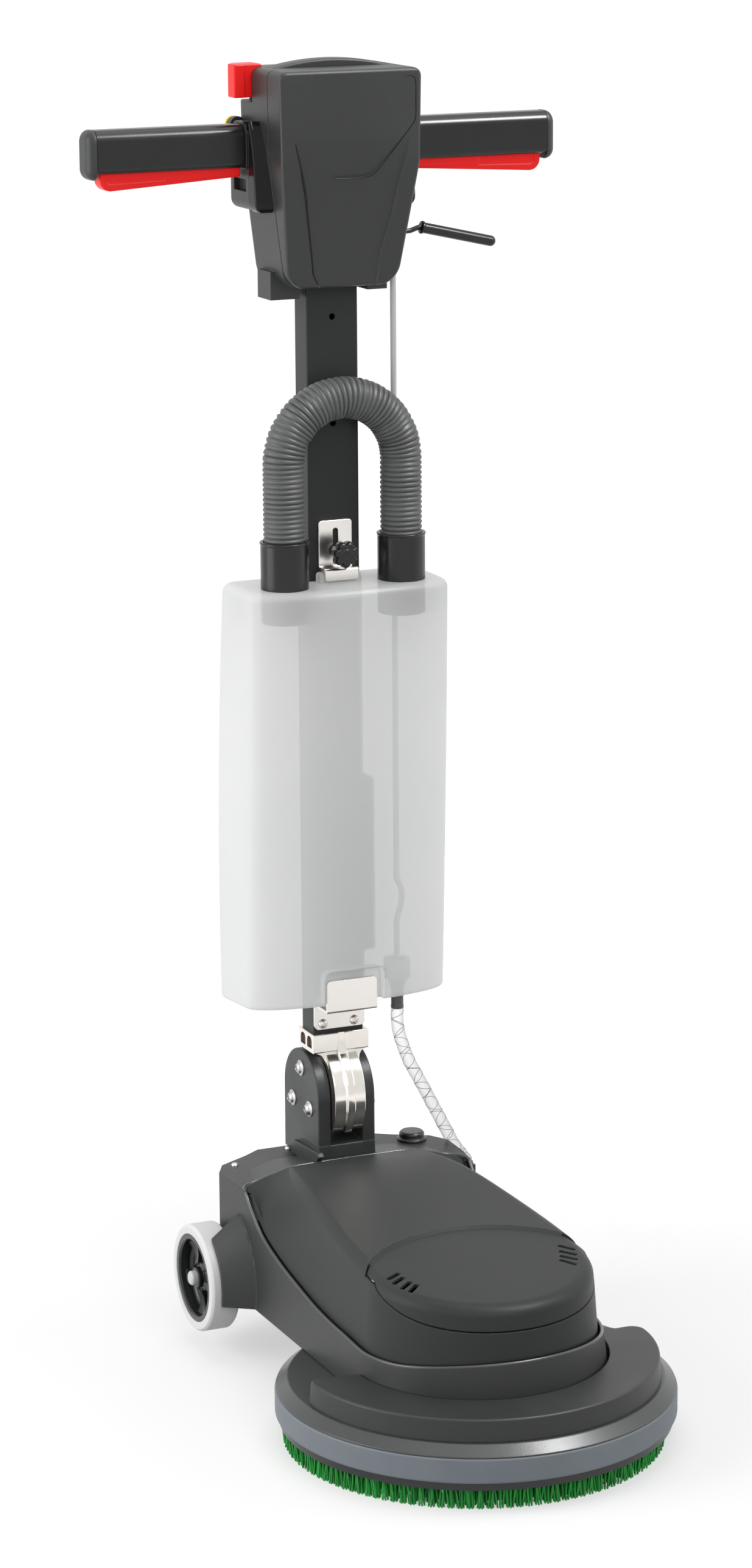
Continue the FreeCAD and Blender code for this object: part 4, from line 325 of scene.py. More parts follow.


# the edge colour of each finish is partly worn edge and partly a painted highlight along the rounded edges
finishes = dict(
    charcoalPlastic=dict(
        colour=(44, 46, 45), second=(49, 51, 50), wearAndHighlightColour=(128, 130, 128), wearAndHighlight=0.55, dust=0.06,
        rough=(0.36, 0.48), grainScale=1500.0, driftScale=7.0, grainDepth=0.25, edge=0.0014, specular=0.38,
    ),
    deckPlastic=dict(
        colour=(57, 59, 58), second=(62, 64, 63), wearAndHighlightColour=(128, 130, 128), wearAndHighlight=0.55, dust=0.02,
        rough=(0.38, 0.48), grainScale=1500.0, driftScale=7.0, grainDepth=0.25, edge=0.0014, specular=0.12,
    ),
    # guard skirt: a lighter copy of the charcoal plastic, its lighter colour a painted sheen on the cone, on a
    # glossier finish
    guardPaintedSheen=dict(
        colour=(60, 62, 62), second=(66, 68, 68), wearAndHighlightColour=(128, 130, 128), wearAndHighlight=0.4, dust=0.02,
        rough=(0.26, 0.34), grainScale=1500.0, driftScale=7.0, grainDepth=0.16, edge=0.0012, specular=0.55,
    ),
    # rim bead: a lighter, glossier copy of the charcoal plastic, its lighter colour a painted highlight line along
    # the rim
    rimPaintedHighlight=dict(
        colour=(66, 68, 67), second=(74, 76, 75), wearAndHighlightColour=(150, 152, 150), wearAndHighlight=0.4, dust=0.04,
        rough=(0.22, 0.3), grainScale=1200.0, driftScale=7.0, grainDepth=0.1, edge=0.0004, specular=0.6,
    ),
    glossBlack=dict(
        colour=(22, 23, 23), second=(26, 27, 27), wearAndHighlightColour=(70, 72, 72), wearAndHighlight=0.15, dust=0.02,
        rough=(0.2, 0.3), grainScale=500.0, driftScale=12.0, grainDepth=0.03, edge=0.0006, specular=0.36,
    ),
    headPlastic=dict(
        colour=(43, 45, 44), second=(48, 50, 49), wearAndHighlightColour=(110, 112, 110), wearAndHighlight=0.15, dust=0.05,
        rough=(0.36, 0.48), grainScale=1500.0, driftScale=7.0, grainDepth=0.25, edge=0.0006, specular=0.38,
    ),
    cheekBlack=dict(
        colour=(18, 19, 19), second=(24, 24, 24), wearAndHighlightColour=(120, 120, 120), wearAndHighlight=0.35, dust=0.02,
        rough=(0.16, 0.26), grainScale=500.0, driftScale=12.0, grainDepth=0.05, edge=0.0008, specular=0.18,
    ),
    cuffGrey=dict(
        colour=(92, 92, 93), second=(100, 100, 101), wearAndHighlightColour=(130, 130, 130), wearAndHighlight=0.3, dust=0.05,
        rough=(0.3, 0.42), grainScale=900.0, driftScale=20.0, grainDepth=0.12, edge=0.0006, specular=0.4,
    ),
    pocketBrown=dict(
        colour=(62, 42, 38), second=(84, 58, 52), wearAndHighlightColour=(110, 84, 78), wearAndHighlight=0.3, dust=0.05,
        rough=(0.5, 0.7), grainScale=900.0, driftScale=90.0, grainDepth=0.3, edge=0.0006,
    ),
    threadGrey=dict(
        colour=(126, 128, 128), second=(146, 148, 148), wearAndHighlightColour=(170, 172, 172), wearAndHighlight=0.2,
        rough=(0.4, 0.5), grainScale=900.0, driftScale=60.0, grainDepth=0.05, edge=0.0002,
    ),
    redPlastic=dict(
        colour=(250, 20, 20), second=(255, 28, 26), wearAndHighlightColour=(250, 100, 92), wearAndHighlight=0.25, dust=0.04,
        rough=(0.3, 0.42), grainScale=1100.0, driftScale=14.0, grainDepth=0.12, edge=0.001,
        # painted glow: a faint red emission lifts the red above what the lamps give
        sockets={"Specular IOR Level": 0.3, "Emission Color": (0.9, 0.012, 0.012, 1.0), "Emission Strength": 0.12},
    ),
    yellowPlastic=dict(
        colour=(248, 220, 10), second=(252, 230, 30), wearAndHighlightColour=(255, 244, 150), wearAndHighlight=0.3,
        rough=(0.3, 0.4), grainScale=1100.0, driftScale=14.0, grainDepth=0.12, edge=0.0008,
    ),
    bumperRubber=dict(
        colour=(110, 117, 124), second=(122, 129, 136), wearAndHighlightColour=(150, 156, 160), wearAndHighlight=0.4, dust=0.06,
        rough=(0.5, 0.66), grainScale=700.0, driftScale=16.0, grainDepth=0.3, edge=0.0012,
    ),
    hoseGrey=dict(
        colour=(84, 86, 85), second=(94, 96, 95), wearAndHighlightColour=(130, 132, 131), wearAndHighlight=0.3, dust=0.06,
        rough=(0.42, 0.56), grainScale=900.0, driftScale=14.0, grainDepth=0.18, edge=0.0006,
    ),
    tyreGrey=dict(
        colour=(226, 227, 226), second=(234, 235, 234), wearAndHighlightColour=(200, 200, 196), wearAndHighlight=0.3, dust=0.06,
        rough=(0.5, 0.66), grainScale=650.0, driftScale=18.0, grainDepth=0.3, edge=0.0015,
    ),
    hubPlastic=dict(
        colour=(27, 29, 29), second=(34, 36, 36), wearAndHighlightColour=(110, 112, 112), wearAndHighlight=0.35, dust=0.03,
        rough=(0.2, 0.32), grainScale=900.0, driftScale=18.0, grainDepth=0.2, edge=0.0008,
    ),
    bristleGreen=dict(
        colour=(24, 142, 49), second=(37, 168, 66), wearAndHighlightColour=(70, 170, 90), wearAndHighlight=0.1,
        rough=(0.4, 0.55), grainScale=300.0, driftScale=60.0, grainDepth=0.05, edge=0.0002,
    ),
    whitePlastic=dict(
        colour=(206, 207, 204), second=(216, 217, 214), wearAndHighlightColour=(190, 190, 186), wearAndHighlight=0.2, dust=0.05,
        rough=(0.35, 0.48), grainScale=900.0, driftScale=14.0, grainDepth=0.15, edge=0.0008,
    ),
    paintedSteel=dict(
        colour=(54, 56, 55), second=(59, 61, 60), wearAndHighlightColour=(118, 120, 119), wearAndHighlight=0.4, dust=0.02,
        rough=(0.3, 0.4), grainScale=420.0, driftScale=6.0, grainDepth=0.14, edge=0.0008, specular=0.12,
    ),
    bracketMetal=dict(
        colour=(46, 48, 48), second=(53, 55, 55), wearAndHighlightColour=(128, 130, 130), wearAndHighlight=0.5, dust=0.05,
        rough=(0.36, 0.5), grainScale=500.0, driftScale=14.0, grainDepth=0.2, edge=0.0014, specular=0.38,
    ),
    polishedAlloy=dict(
        colour=(216, 212, 206), second=(226, 222, 216), wearAndHighlightColour=(240, 238, 234), wearAndHighlight=0.3,
        rough=(0.1, 0.14), grainScale=1400.0, driftScale=30.0, grainDepth=0.0, edge=0.0004, metallic=1.0,
    ),
    stainless=dict(
        colour=(214, 210, 206), second=(222, 218, 214), wearAndHighlightColour=(238, 236, 232), wearAndHighlight=0.3,
        rough=(0.18, 0.28), grainScale=900.0, driftScale=20.0, grainDepth=0.03, edge=0.0008, metallic=1.0,
    ),
    steel=dict(
        colour=(180, 180, 178), second=(196, 196, 194), wearAndHighlightColour=(220, 220, 218), wearAndHighlight=0.3,
        rough=(0.22, 0.36), grainScale=500.0, driftScale=30.0, grainDepth=0.08, edge=0.0008, metallic=1.0,
    ),
    motorIron=dict(
        colour=(96, 98, 100), second=(110, 112, 114), wearAndHighlightColour=(160, 162, 164), wearAndHighlight=0.3,
        rough=(0.35, 0.5), grainScale=400.0, driftScale=20.0, grainDepth=0.15, edge=0.001, metallic=1.0,
    ),
)
materials = {name: surface(name, spec) for name, spec in finishes.items()}


# Thin natural plastic: the near skin lets a share of the view through, the far skin more; a faint emission is a
# painted glow over the whole skin
tankPlastic = dict(
    colour=(232, 234, 233), second=(238, 239, 238), rough=(0.3, 0.42), grainScale=320.0, driftScale=5.0,
    near=0.16, far=0.5, glow=0.35, edge=0.004, breakUp=60.0, grainDepth=0.06, grainReach=0.0006,
    # painted glow: a faint whitish emission lifts the tank's brightness
    sockets={"Specular IOR Level": 0.35, "Emission Color": (0.97, 1.0, 0.99, 1.0), "Emission Strength": 0.05},
)


def makeTankPlastic(spec):
    material, tree, shader, grain, colour = startSurface("tankPlastic", spec)
    tree.links.new(colour, shader.inputs["Base Color"])
    wearAndHighlight = useGroup(tree, wearAndHighlightGroup, Radius=spec["edge"], Break_Up=spec["breakUp"])
    addBump(tree, shader, grain["Height"], wearAndHighlight["Normal"], spec["grainDepth"], spec["grainReach"])
    through = addNode(tree, "ShaderNodeBsdfTranslucent", {"Color": colour})
    body = addNode(tree, "ShaderNodeMixShader", {0: spec["glow"], 1: shader.outputs[0], 2: through.outputs[0]})
    behind = addNode(tree, "ShaderNodeNewGeometry").outputs["Backfacing"]
    openSurface(tree, mapRange(tree, behind, spec["near"], spec["far"]), body.outputs[0])
    return material


# Clear tube: open in the middle, greyer where it is seen edge on
clearHose = dict(
    colour=(188, 192, 192), second=(206, 209, 209), rough=(0.12, 0.2), grainScale=240.0, driftScale=26.0,
    open=0.86, edgeOpen=0.25, edgeBlend=0.35,
)


def makeClearHose(spec):
    material, tree, shader, _, colour = startSurface("clearHose", spec)
    tree.links.new(colour, shader.inputs["Base Color"])
    facing = addNode(tree, "ShaderNodeLayerWeight", {"Blend": spec["edgeBlend"]}).outputs["Facing"]
    openSurface(tree, mapRange(tree, facing, spec["open"], spec["edgeOpen"]), shader.outputs[0])
    return material


materials["tankPlastic"] = makeTankPlastic(tankPlastic)
materials["clearHose"] = makeClearHose(clearHose)
slotFinish = {
    "charcoal_plastic": "charcoalPlastic", "gloss_black": "glossBlack", "red_plastic": "redPlastic",
    "yellow_plastic": "yellowPlastic", "tank_plastic": "tankPlastic", "bumper_rubber": "bumperRubber",
    "hose_grey": "hoseGrey", "clear_hose": "clearHose", "tyre_grey": "tyreGrey", "hub_plastic": "hubPlastic",
    "bristle_green": "bristleGreen", "white_plastic": "whitePlastic", "painted_steel": "paintedSteel",
    "bracket_metal": "bracketMetal", "polished_alloy": "polishedAlloy", "stainless": "stainless",
    "steel": "steel", "motor_iron": "motorIron",
}
slotOf = {part["node"]: part["material_slot"] for part in frame["record"]["subparts"]}
bodyOf = {node: body for body, names in frame["record"]["behaviour"]["bodies"].items() for node in names}
ownFinish = {"lever_wire": "glossBlack"}
for name, obj in nodes.items():
    for slot in obj.material_slots:
        slot.material = materials[ownFinish.get(name, slotFinish[slotOf[name]])]
print("materials made:", len(materials))


# Mesh helpers: the values of the pieces are millimetres, the meshes are metres
def makeObject(name, points, faces, edges=()):
    mesh = bpy.data.meshes.new(name)
    mesh.from_pydata([Vector(point) / 1000 for point in points], edges, faces)
    obj = addObject(name, mesh)
    return tidyMesh(obj) if faces else obj


# merges doubles and turns the faces outwards
def tidyMesh(obj):
    work = bmesh.new()
    work.from_mesh(obj.data)
    bmesh.ops.remove_doubles(work, verts=work.verts, dist=2e-6)
    bmesh.ops.recalc_face_normals(work, faces=work.faces)
    work.to_mesh(obj.data)
    work.free()
    return obj


# joins rings of points into a skin: closed rings, capped ends unless it loops
def loft(name, rings, loop=False, caps=True):
    count, faces = len(rings[0]), []
    for first in range(len(rings) if loop else len(rings) - 1):
        second = (first + 1) % len(rings)
        for spot in range(count):
            after = (spot + 1) % count
            faces.append((first * count + spot, first * count + after, second * count + after,
                second * count + spot))
    if caps and not loop:
        faces += [tuple(range(count)), tuple(range((len(rings) - 1) * count, len(rings) * count))]
    return makeObject(name, [point for ring in rings for point in ring], faces)


# a closed outline with its corners (u, v, radius) rounded
def roundedLine(corners, steps=6):
    line = []
    for number, (u, v, radius) in enumerate(corners):
        if not radius:
            line.append((u, v))
            continue
        spot = Vector((u, v))
        before = (Vector(corners[number - 1][:2]) - spot).normalized()
        after = (Vector(corners[(number + 1) % len(corners)][:2]) - spot).normalized()
        half = before.angle(after) / 2
        centre = spot + (before + after).normalized() * radius / math.sin(half)
        start, end = (spot + way * radius / math.tan(half) - centre for way in (before, after))
        first = math.atan2(start.y, start.x)
        sweep = (math.atan2(end.y, end.x) - first + math.pi) % (2 * math.pi) - math.pi
        for step in range(steps + 1):
            angle = first + sweep * step / steps
            line.append((centre.x + radius * math.cos(angle), centre.y + radius * math.sin(angle)))
    return line


# the outline drawn in by inset, towards its own middle side
def insetLine(line, inset):
    area = sum(a[0] * b[1] - b[0] * a[1] for a, b in zip(line, line[1:] + line[:1]))
    turn = 1 if area > 0 else -1
    result = []
    for number, spot in enumerate(line):
        before, after = Vector(line[number - 1]), Vector(line[(number + 1) % len(line)])
        ways = [w.normalized() for w in (Vector(spot) - before, after - Vector(spot)) if w.length > 1e-6]
        way = sum(ways, Vector((0, 0))).normalized()
        normal = Vector((-way.y, way.x)) * turn
        scale = 1 / max(0.5, normal.dot(Vector((-ways[0].y, ways[0].x)) * turn))
        result.append(tuple(Vector(spot) + normal * inset * scale))
    return result


axisOrder = {"X": lambda u, v, w: (w, u, v), "Y": lambda u, v, w: (u, w, v), "Z": lambda u, v, w: (u, v, w)}


# the angles of a quarter turn, from 0 to 90 degrees
def quarter(steps):
    return [math.pi / 2 * step / steps for step in range(steps + 1)]


# an outline carried along an axis, with its two end edges rounded by edge
def prism(name, line, axis, low, high, edge=0.0, steps=3):
    place, rings = axisOrder[axis], []
    stops = [(low, 0.0), (high, 0.0)]
    if edge:
        turns = quarter(steps)
        stops = [(low + edge * (1 - math.sin(turn)), edge * (1 - math.cos(turn))) for turn in reversed(turns)]
        stops += [(high - edge * (1 - math.sin(turn)), edge * (1 - math.cos(turn))) for turn in turns]
    for level, inset in stops:
        ring = insetLine(line, inset) if inset else line
        rings.append([place(u, v, level) for u, v in ring])
    return loft(name, rings)


# a closed profile of (radius, height) turned about an axis through centre
def turned(name, profile, centre=(0, 0), axis="Z", steps=64):
    place, rings = axisOrder[axis], []
    for step in range(steps):
        angle = 2 * math.pi * step / steps
        rings.append([
            place(centre[0] + radius * math.cos(angle), centre[1] + radius * math.sin(angle), height)
            for radius, height in profile
        ])
    return loft(name, rings, loop=True)


# rings about a line of points; radius may be one number for each point
def tubeRings(path, radius, sides):
    path = [Vector(point) for point in path]
    radii = radius if isinstance(radius, list) else [radius] * len(path)
    rings, across = [], None
    for number, point in enumerate(path):
        before, after = path[max(number - 1, 0)], path[min(number + 1, len(path) - 1)]
        way = (after - before).normalized()
        if across is None:
            across = way.orthogonal().normalized()
        across = (across - way * across.dot(way)).normalized()
        other = way.cross(across)
        rings.append([
            point + (across * math.cos(turn) + other * math.sin(turn)) * radii[number]
            for turn in (2 * math.pi * side / sides for side in range(sides))
        ])
    return rings


# a round rod along a line of points
def tube(name, path, radius, sides=16):
    return loft(name, tubeRings(path, radius, sides))


# a smooth line through points: Catmull-Rom, with steps spots on each stretch
def smoothLine(points, steps=6):
    points = [Vector(point) for point in points]
    ends = [points[0] * 2 - points[1]] + points + [points[-1] * 2 - points[-2]]
    line = []
    for number in range(1, len(ends) - 2):
        a, b, c, d = ends[number - 1:number + 3]
        for step in range(steps):
            t = step / steps
            line.append(0.5 * (2 * b + (c - a) * t + (2 * a - 5 * b + 4 * c - d) * t**2
                               + (3 * b - a - 3 * c + d) * t**3))
    return line + [points[-1]]


# makes the modifiers part of the mesh
def settle(obj):
    bpy.context.view_layer.update()
    mesh = bpy.data.meshes.new_from_object(obj.evaluated_get(bpy.context.evaluated_depsgraph_get()))
    obj.modifiers.clear()
    obj.data = mesh
    return obj


def soften(obj, width, segments=3, angle=30):
    modifier = obj.modifiers.new("softEdges", "BEVEL")
    modifier.width, modifier.segments = width / 1000, segments
    modifier.limit_method, modifier.angle_limit = "ANGLE", math.radians(angle)
    return settle(obj)


def carve(obj, tool, how="DIFFERENCE"):
    modifier = obj.modifiers.new("carve", "BOOLEAN")
    modifier.operation, modifier.object, modifier.solver = how, tool, "EXACT"
    settle(obj)
    bpy.data.objects.remove(tool)
    return obj


def joined(name, *parts):
    work = bmesh.new()
    for part in parts:
        work.from_mesh(part.data)
        bpy.data.objects.remove(part)
    mesh = bpy.data.meshes.new(name)
    work.to_mesh(mesh)
    work.free()
    return addObject(name, mesh)


# gives a piece its finish and its body
def dress(obj, body, slotName, finish=None, smooth=32):
    obj.data.materials.clear()
    obj.data.materials.append(materials[finish or slotFinish[slotName]])
    obj.data.shade_smooth()
    obj.data.set_sharp_from_angle(angle=math.radians(smooth))
    modifier = obj.modifiers.new("flatNormals", "WEIGHTED_NORMAL")
    modifier.keep_sharp = True
    settle(obj)
    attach(obj, body)
    return obj


# lets a piece stand for CAD nodes, and takes finish and body from the first of them
def standFor(obj, *names, finish=None, smooth=32):
    dress(obj, bodyOf[names[0]], slotOf[names[0]], finish, smooth)
    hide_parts(*names)
    return obj


# a geometry tree with named inputs
def newTree(name, sizes):
    tree = bpy.data.node_groups.new(name, "GeometryNodeTree")
    tree.interface.new_socket(name="Geometry", in_out="INPUT", socket_type="NodeSocketGeometry")
    for label, kind, value in sizes:
        socket = tree.interface.new_socket(name=label, in_out="INPUT", socket_type=kind)
        if value is not None:
            socket.default_value = value
    tree.interface.new_socket(name="Geometry", in_out="OUTPUT", socket_type="NodeSocketGeometry")
    return tree, tree.nodes.new("NodeGroupInput"), tree.nodes.new("NodeGroupOutput")


# ends a tree in Realize Instances and Set Material
def endTree(tree, geometry, finish, end):
    real = addNode(tree, "GeometryNodeRealizeInstances", {"Geometry": geometry})
    dressed = addNode(tree, "GeometryNodeSetMaterial", {"Geometry": real.outputs[0], "Material": finish})
    tree.links.new(dressed.outputs[0], end.inputs[0])


def runTree(obj, tree, values):
    modifier = obj.modifiers.new(tree.name, "NODES")
    modifier.node_group = tree
    for item in tree.interface.items_tree:
        if item.item_type == "SOCKET" and item.in_out == "INPUT" and item.name in values:
            modifier[item.identifier] = values[item.name]
    return settle(obj)


# the value at one spot of a line of (spot, value) pairs
def along(pairs, spot):
    for (a, low), (b, high) in zip(pairs, pairs[1:]):
        if spot <= b:
            return low + (high - low) * max(0.0, (spot - a) / (b - a))
    return pairs[-1][1]


# Brush: tufts of strands set along a spiral
bristles = dict(
    innerRadius=99.0, outerRadius=171.0, turns=9, pitch=8.4, tuftRadius=2.6, strandRadius=0.85,
    length=19.0, lean=0.16, seed=11,
)


def makeBristles(spec):
    mm = 0.001
    tree, start, end = newTree("bristleTufts", [
        ("Inner Radius", "NodeSocketFloat", 0.1), ("Outer Radius", "NodeSocketFloat", 0.17),
        ("Turns", "NodeSocketFloat", 9.0), ("Pitch", "NodeSocketFloat", 0.008),
        ("Tuft Radius", "NodeSocketFloat", 0.003), ("Strand Radius", "NodeSocketFloat", 0.001),
        ("Length", "NodeSocketFloat", 0.019), ("Lean", "NodeSocketFloat", 0.05),
        ("Seed", "NodeSocketInt", 1), ("Finish", "NodeSocketMaterial", None),
    ])
    take = start.outputs
    strand = addNode(tree, "GeometryNodeMeshCone", {
        "Vertices": 5, "Radius Top": take["Strand Radius"], "Radius Bottom": take["Strand Radius"],
        "Depth": take["Length"]})
    ring = addNode(tree, "GeometryNodeMeshCircle", {"Vertices": 6, "Radius": take["Tuft Radius"]})
    middle = addNode(tree, "GeometryNodeMeshLine", {"Count": 1})
    spots = addNode(tree, "GeometryNodeJoinGeometry")
    tree.links.new(ring.outputs[0], spots.inputs[0])
    tree.links.new(middle.outputs[0], spots.inputs[0])
    lean = addNode(tree, "FunctionNodeRandomValue", {"Seed": take["Seed"]}, data_type="FLOAT_VECTOR")
    less = mathNode(tree, "MULTIPLY", take["Lean"], -1.0)
    low = addNode(tree, "ShaderNodeCombineXYZ", {"X": less, "Y": less})
    high = addNode(tree, "ShaderNodeCombineXYZ", {"X": take["Lean"], "Y": take["Lean"]})
    tree.links.new(low.outputs[0], lean.inputs[0])
    tree.links.new(high.outputs[0], lean.inputs[1])
    tilt = addNode(tree, "FunctionNodeEulerToRotation", {0: lean.outputs[0]})
    tuft = addNode(tree, "GeometryNodeInstanceOnPoints", {
        "Points": spots.outputs[0], "Instance": strand.outputs[0], "Rotation": tilt.outputs[0]})
    whole = addNode(tree, "GeometryNodeRealizeInstances", {"Geometry": tuft.outputs[0]})
    spiral = addNode(tree, "GeometryNodeCurveSpiral", {
        "Resolution": 48, "Rotations": take["Turns"], "Start Radius": take["Inner Radius"],
        "End Radius": take["Outer Radius"], "Height": 0.0})
    points = addNode(tree, "GeometryNodeResampleCurve", {
        "Curve": spiral.outputs[0], "Length": take["Pitch"]}, mode="LENGTH")
    turn = addNode(tree, "FunctionNodeRandomValue", {
        2: 0.0, 3: 6.283, "Seed": take["Seed"]}, data_type="FLOAT")
    about = addNode(tree, "ShaderNodeCombineXYZ", {"Z": turn.outputs[1]})
    spun = addNode(tree, "FunctionNodeEulerToRotation", {0: about.outputs[0]})
    placed = addNode(tree, "GeometryNodeInstanceOnPoints", {
        "Points": points.outputs[0], "Instance": whole.outputs[0], "Rotation": spun.outputs[0]})
    endTree(tree, placed.outputs[0], take["Finish"], end)
    obj = makeObject("bristleTufts", [(0, 0, 0)], [])
    runTree(obj, tree, {
        "Inner Radius": spec["innerRadius"] * mm, "Outer Radius": spec["outerRadius"] * mm,
        "Turns": float(spec["turns"]), "Pitch": spec["pitch"] * mm,
        "Tuft Radius": spec["tuftRadius"] * mm, "Strand Radius": spec["strandRadius"] * mm,
        "Length": spec["length"] * mm, "Lean": spec["lean"], "Seed": spec["seed"],
        "Finish": materials["bristleGreen"]})
    return standFor(obj, "bristle_ring")


makeBristles(bristles)

# Guard: bumper, skirt and crescent
guard = dict(
    steps=160, bumper=[(172.7, 26.1, 1.0), (177.6, 26.1, 2.2), (177.6, 48.6, 1.9), (172.7, 48.6, 0.8)],
    shell=[(0, 54, 0), (164.6, 54, 0), (168.6, 50, 0), (168.6, 30, 0), (172.6, 30, 0), (172.6, 48.6, 0),
           (176.4, 48.7, 0.4), (176.6, 49.8, 0.6), (166.2, 58, 2.4), (0, 58, 0)],
)


def makeGuard(spec):
    bumper = turned("bumperBand", roundedLine(spec["bumper"], 5), steps=spec["steps"])
    standFor(bumper, "bumper_ring")
    shell = turned("guardSkirt", roundedLine(spec["shell"], 4), steps=spec["steps"])
    # the skirt's lighter finish paints in the sheen of its cone
    standFor(shell, "guard_shell", finish="guardPaintedSheen", smooth=26)


makeGuard(guard)

crescent = dict(
    outerRadius=163.5, innerRadius=117.4, bottom=58.0, top=78.0, endCorner=11.0, edge=2.0, arcSteps=96,
    innerDraft=1.9,
)


def makeCrescent(spec):
    outer, inner = spec["outerRadius"], spec["innerRadius"]
    swing = [math.pi * step / spec["arcSteps"] for step in range(spec["arcSteps"] + 1)]
    rings = []
    stops = [(spec["bottom"], 0.0, 0.0)]
    for turn in quarter(5):
        stops.append((spec["top"] - spec["edge"] * (1 - math.sin(turn)), 1.6 + spec["edge"] * (1 - math.cos(turn)),
                      spec["edge"] * (1 - math.cos(turn)) * 0.5))
    for level, inset, shift in stops:
        reach = outer - inset
        rise = (level - spec["bottom"]) / (spec["top"] - spec["bottom"])
        within = inner - spec["innerDraft"] * rise + shift
        right = [(reach * 0.9995, 1.5 - inset * 0.6, spec["endCorner"]), (137, 1.5 - inset * 0.6, 3.0),
                 (132, 8 - inset * 0.6, 3.0), (within + 2.5, 8 - inset * 0.6, 1.5), (within + 2.2, -12, 0)]
        left = [(-within - 0.2, -4.5 - inset * 0.6, 1.0), (-134, -4.5 - inset * 0.6, 3.0),
                (-139, 1.5 - inset * 0.6, 3.0), (-reach * 0.9995, 1.5 - inset * 0.6, spec["endCorner"])]
        outside = [(-reach * math.cos(a), -reach * math.sin(a), 0) for a in swing if outer * math.sin(a) > 20]
        inside = []
        for a in swing:
            if inner * math.sin(a) > 12:
                room = 2.2 * max(0.0, math.cos(a)) ** 2
                inside.append(((within + room) * math.cos(a), -(within + room) * math.sin(a), 0))
        line = roundedLine(outside + right + inside + left, 7)
        rings.append([(x, y, level) for x, y in line])
    standFor(loft("crescentBumper", rings), "guard_crescent", smooth=40)


makeCrescent(crescent)
print("brush and guard made")

# Case: nose and sides under a rim, a ramp and a ledge behind the deck
case = dict(
    floor=58.0, noseRadius=117.0, taper=0.115, halfWidth=117.0, cornerStart=312.0, seamLength=257.0,
    rim=[(-117, 108.6), (-112, 108.0), (-60, 100.5), (-30, 98.6), (0, 98.0), (35, 100.0), (60, 101.0), (97, 104.5),
         (136, 111.0), (177, 119.5), (218, 133.0), (244, 151.0), (252, 158.5), (257, 163.2)],
    rearPlan=[(117, 276), (117, 295), (117, 312), (106.4, 331.2), (76.2, 348), (59, 360), (30, 360)],
    ledge=165.0, rimRound=1.9, lipWidth=3.2,
    crest=[(0, 274, 175), (25, 274, 175), (57, 274, 174.6), (80, 274.1, 169.7), (97, 273.6, 165.2),
           (101.6, 272.0, 164.6), (106.4, 267.8, 164.2), (109.8, 262.4, 163.9), (111.2, 258.2, 163.6)],
    foot=[(0, 328), (25, 328), (57, 326), (74, 317), (88, 308), (96, 304), (102, 301), (106, 299), (108, 298)],
    beadRadius=1.6, beadRise=0.25,
    beadCourse=[(112.9, 261.0, 164.2), (111.3, 265.4, 164.5), (108.4, 269.2, 164.7), (104.5, 272.2, 165.0),
                (100.0, 274.1, 165.4), (95.0, 275.0, 166.2), (87, 275.3, 168.0), (80, 275.3, 169.9),
                (68, 275.3, 172.6), (57, 275.3, 174.7), (46, 275.3, 175.2), (25, 275.3, 175.3), (8, 275.3, 175.3)],
)


def caseNoseRadius(spec, z):
    return spec["noseRadius"] - spec["taper"] * (z - spec["floor"])


def caseHalfAt(spec, y, z):
    fade = max(0.0, 1 - max(0.0, y) / spec["cornerStart"])
    return spec["halfWidth"] - (spec["halfWidth"] - caseNoseRadius(spec, z)) * fade


# a spot on the wall: way is an angle for the nose, or (side, length) for a side
def caseSpot(spec, way, inset, z):
    if isinstance(way, float):
        radius = caseNoseRadius(spec, z) - inset
        return (radius * math.cos(way), -radius * math.sin(way), z)
    side, y = way
    return (side * (caseHalfAt(spec, y, z) - inset), y, z)


def caseWays(spec):
    lengths = [spec["seamLength"], 252.0, 247.0, 242.0, 236.0, 228.0, 218.0]
    lengths += [208.0 - 13 * k for k in range(16)]
    sides = [length for length in lengths if length > 6]
    turns = [math.pi * k / 72 for k in range(73)]
    return [(1, y) for y in sides] + turns + [(-1, y) for y in reversed(sides)]


def rimAt(spec, way):
    y = -spec["noseRadius"] * math.sin(way) if isinstance(way, float) else way[1]
    return smoothAlong(spec["rim"], y)


# like along, but bent smoothly through its pairs
def smoothAlong(pairs, spot):
    places = [pair[0] for pair in pairs]
    if spot <= places[0]:
        return pairs[0][1]
    if spot >= places[-1]:
        return pairs[-1][1]
    number = next(k for k in range(len(pairs) - 1) if spot <= places[k + 1])

    def slopeAt(k):
        low, high = max(k - 1, 0), min(k + 1, len(pairs) - 1)
        return (pairs[high][1] - pairs[low][1]) / (places[high] - places[low])

    (a, low), (b, high) = pairs[number], pairs[number + 1]
    t, span = (spot - a) / (b - a), b - a
    return ((2 * t**3 - 3 * t**2 + 1) * low + (t**3 - 2 * t**2 + t) * span * slopeAt(number)
            + (3 * t**2 - 2 * t**3) * high + (t**3 - t**2) * span * slopeAt(number + 1))


def makeCase(spec):
    floor, turn, lip = spec["floor"], spec["rimRound"], spec["lipWidth"]
    bends = quarter(4)
    rings = []
    for way in caseWays(spec):
        top = rimAt(spec, way)
        heights = [floor, floor + 1.2] + [floor + (top - turn - floor) * share for share in (0.3, 0.6, 0.85)]
        ring = [caseSpot(spec, way, 0.8 if k == 0 else 0, z) for k, z in enumerate(heights)]
        ring += [caseSpot(spec, way, turn * (1 - math.cos(b)), top - turn * (1 - math.sin(b))) for b in bends]
        ring += [caseSpot(spec, way, lip - 0.8 * (1 - math.sin(b)), top - 0.8 * (1 - math.cos(b))) for b in bends]
        ring += [caseSpot(spec, way, lip, top - 7), caseSpot(spec, way, lip + 1, floor)]
        rings.append(ring)
    wall = loft("caseWall", rings)
    rear = makeCaseRear(spec)
    parts = [wall, rear]
    for side in (-1, 1):
        parts.append(makeFender(side, fender))
    standFor(joined("chassisCase", *parts), "chassis_case", smooth=28)


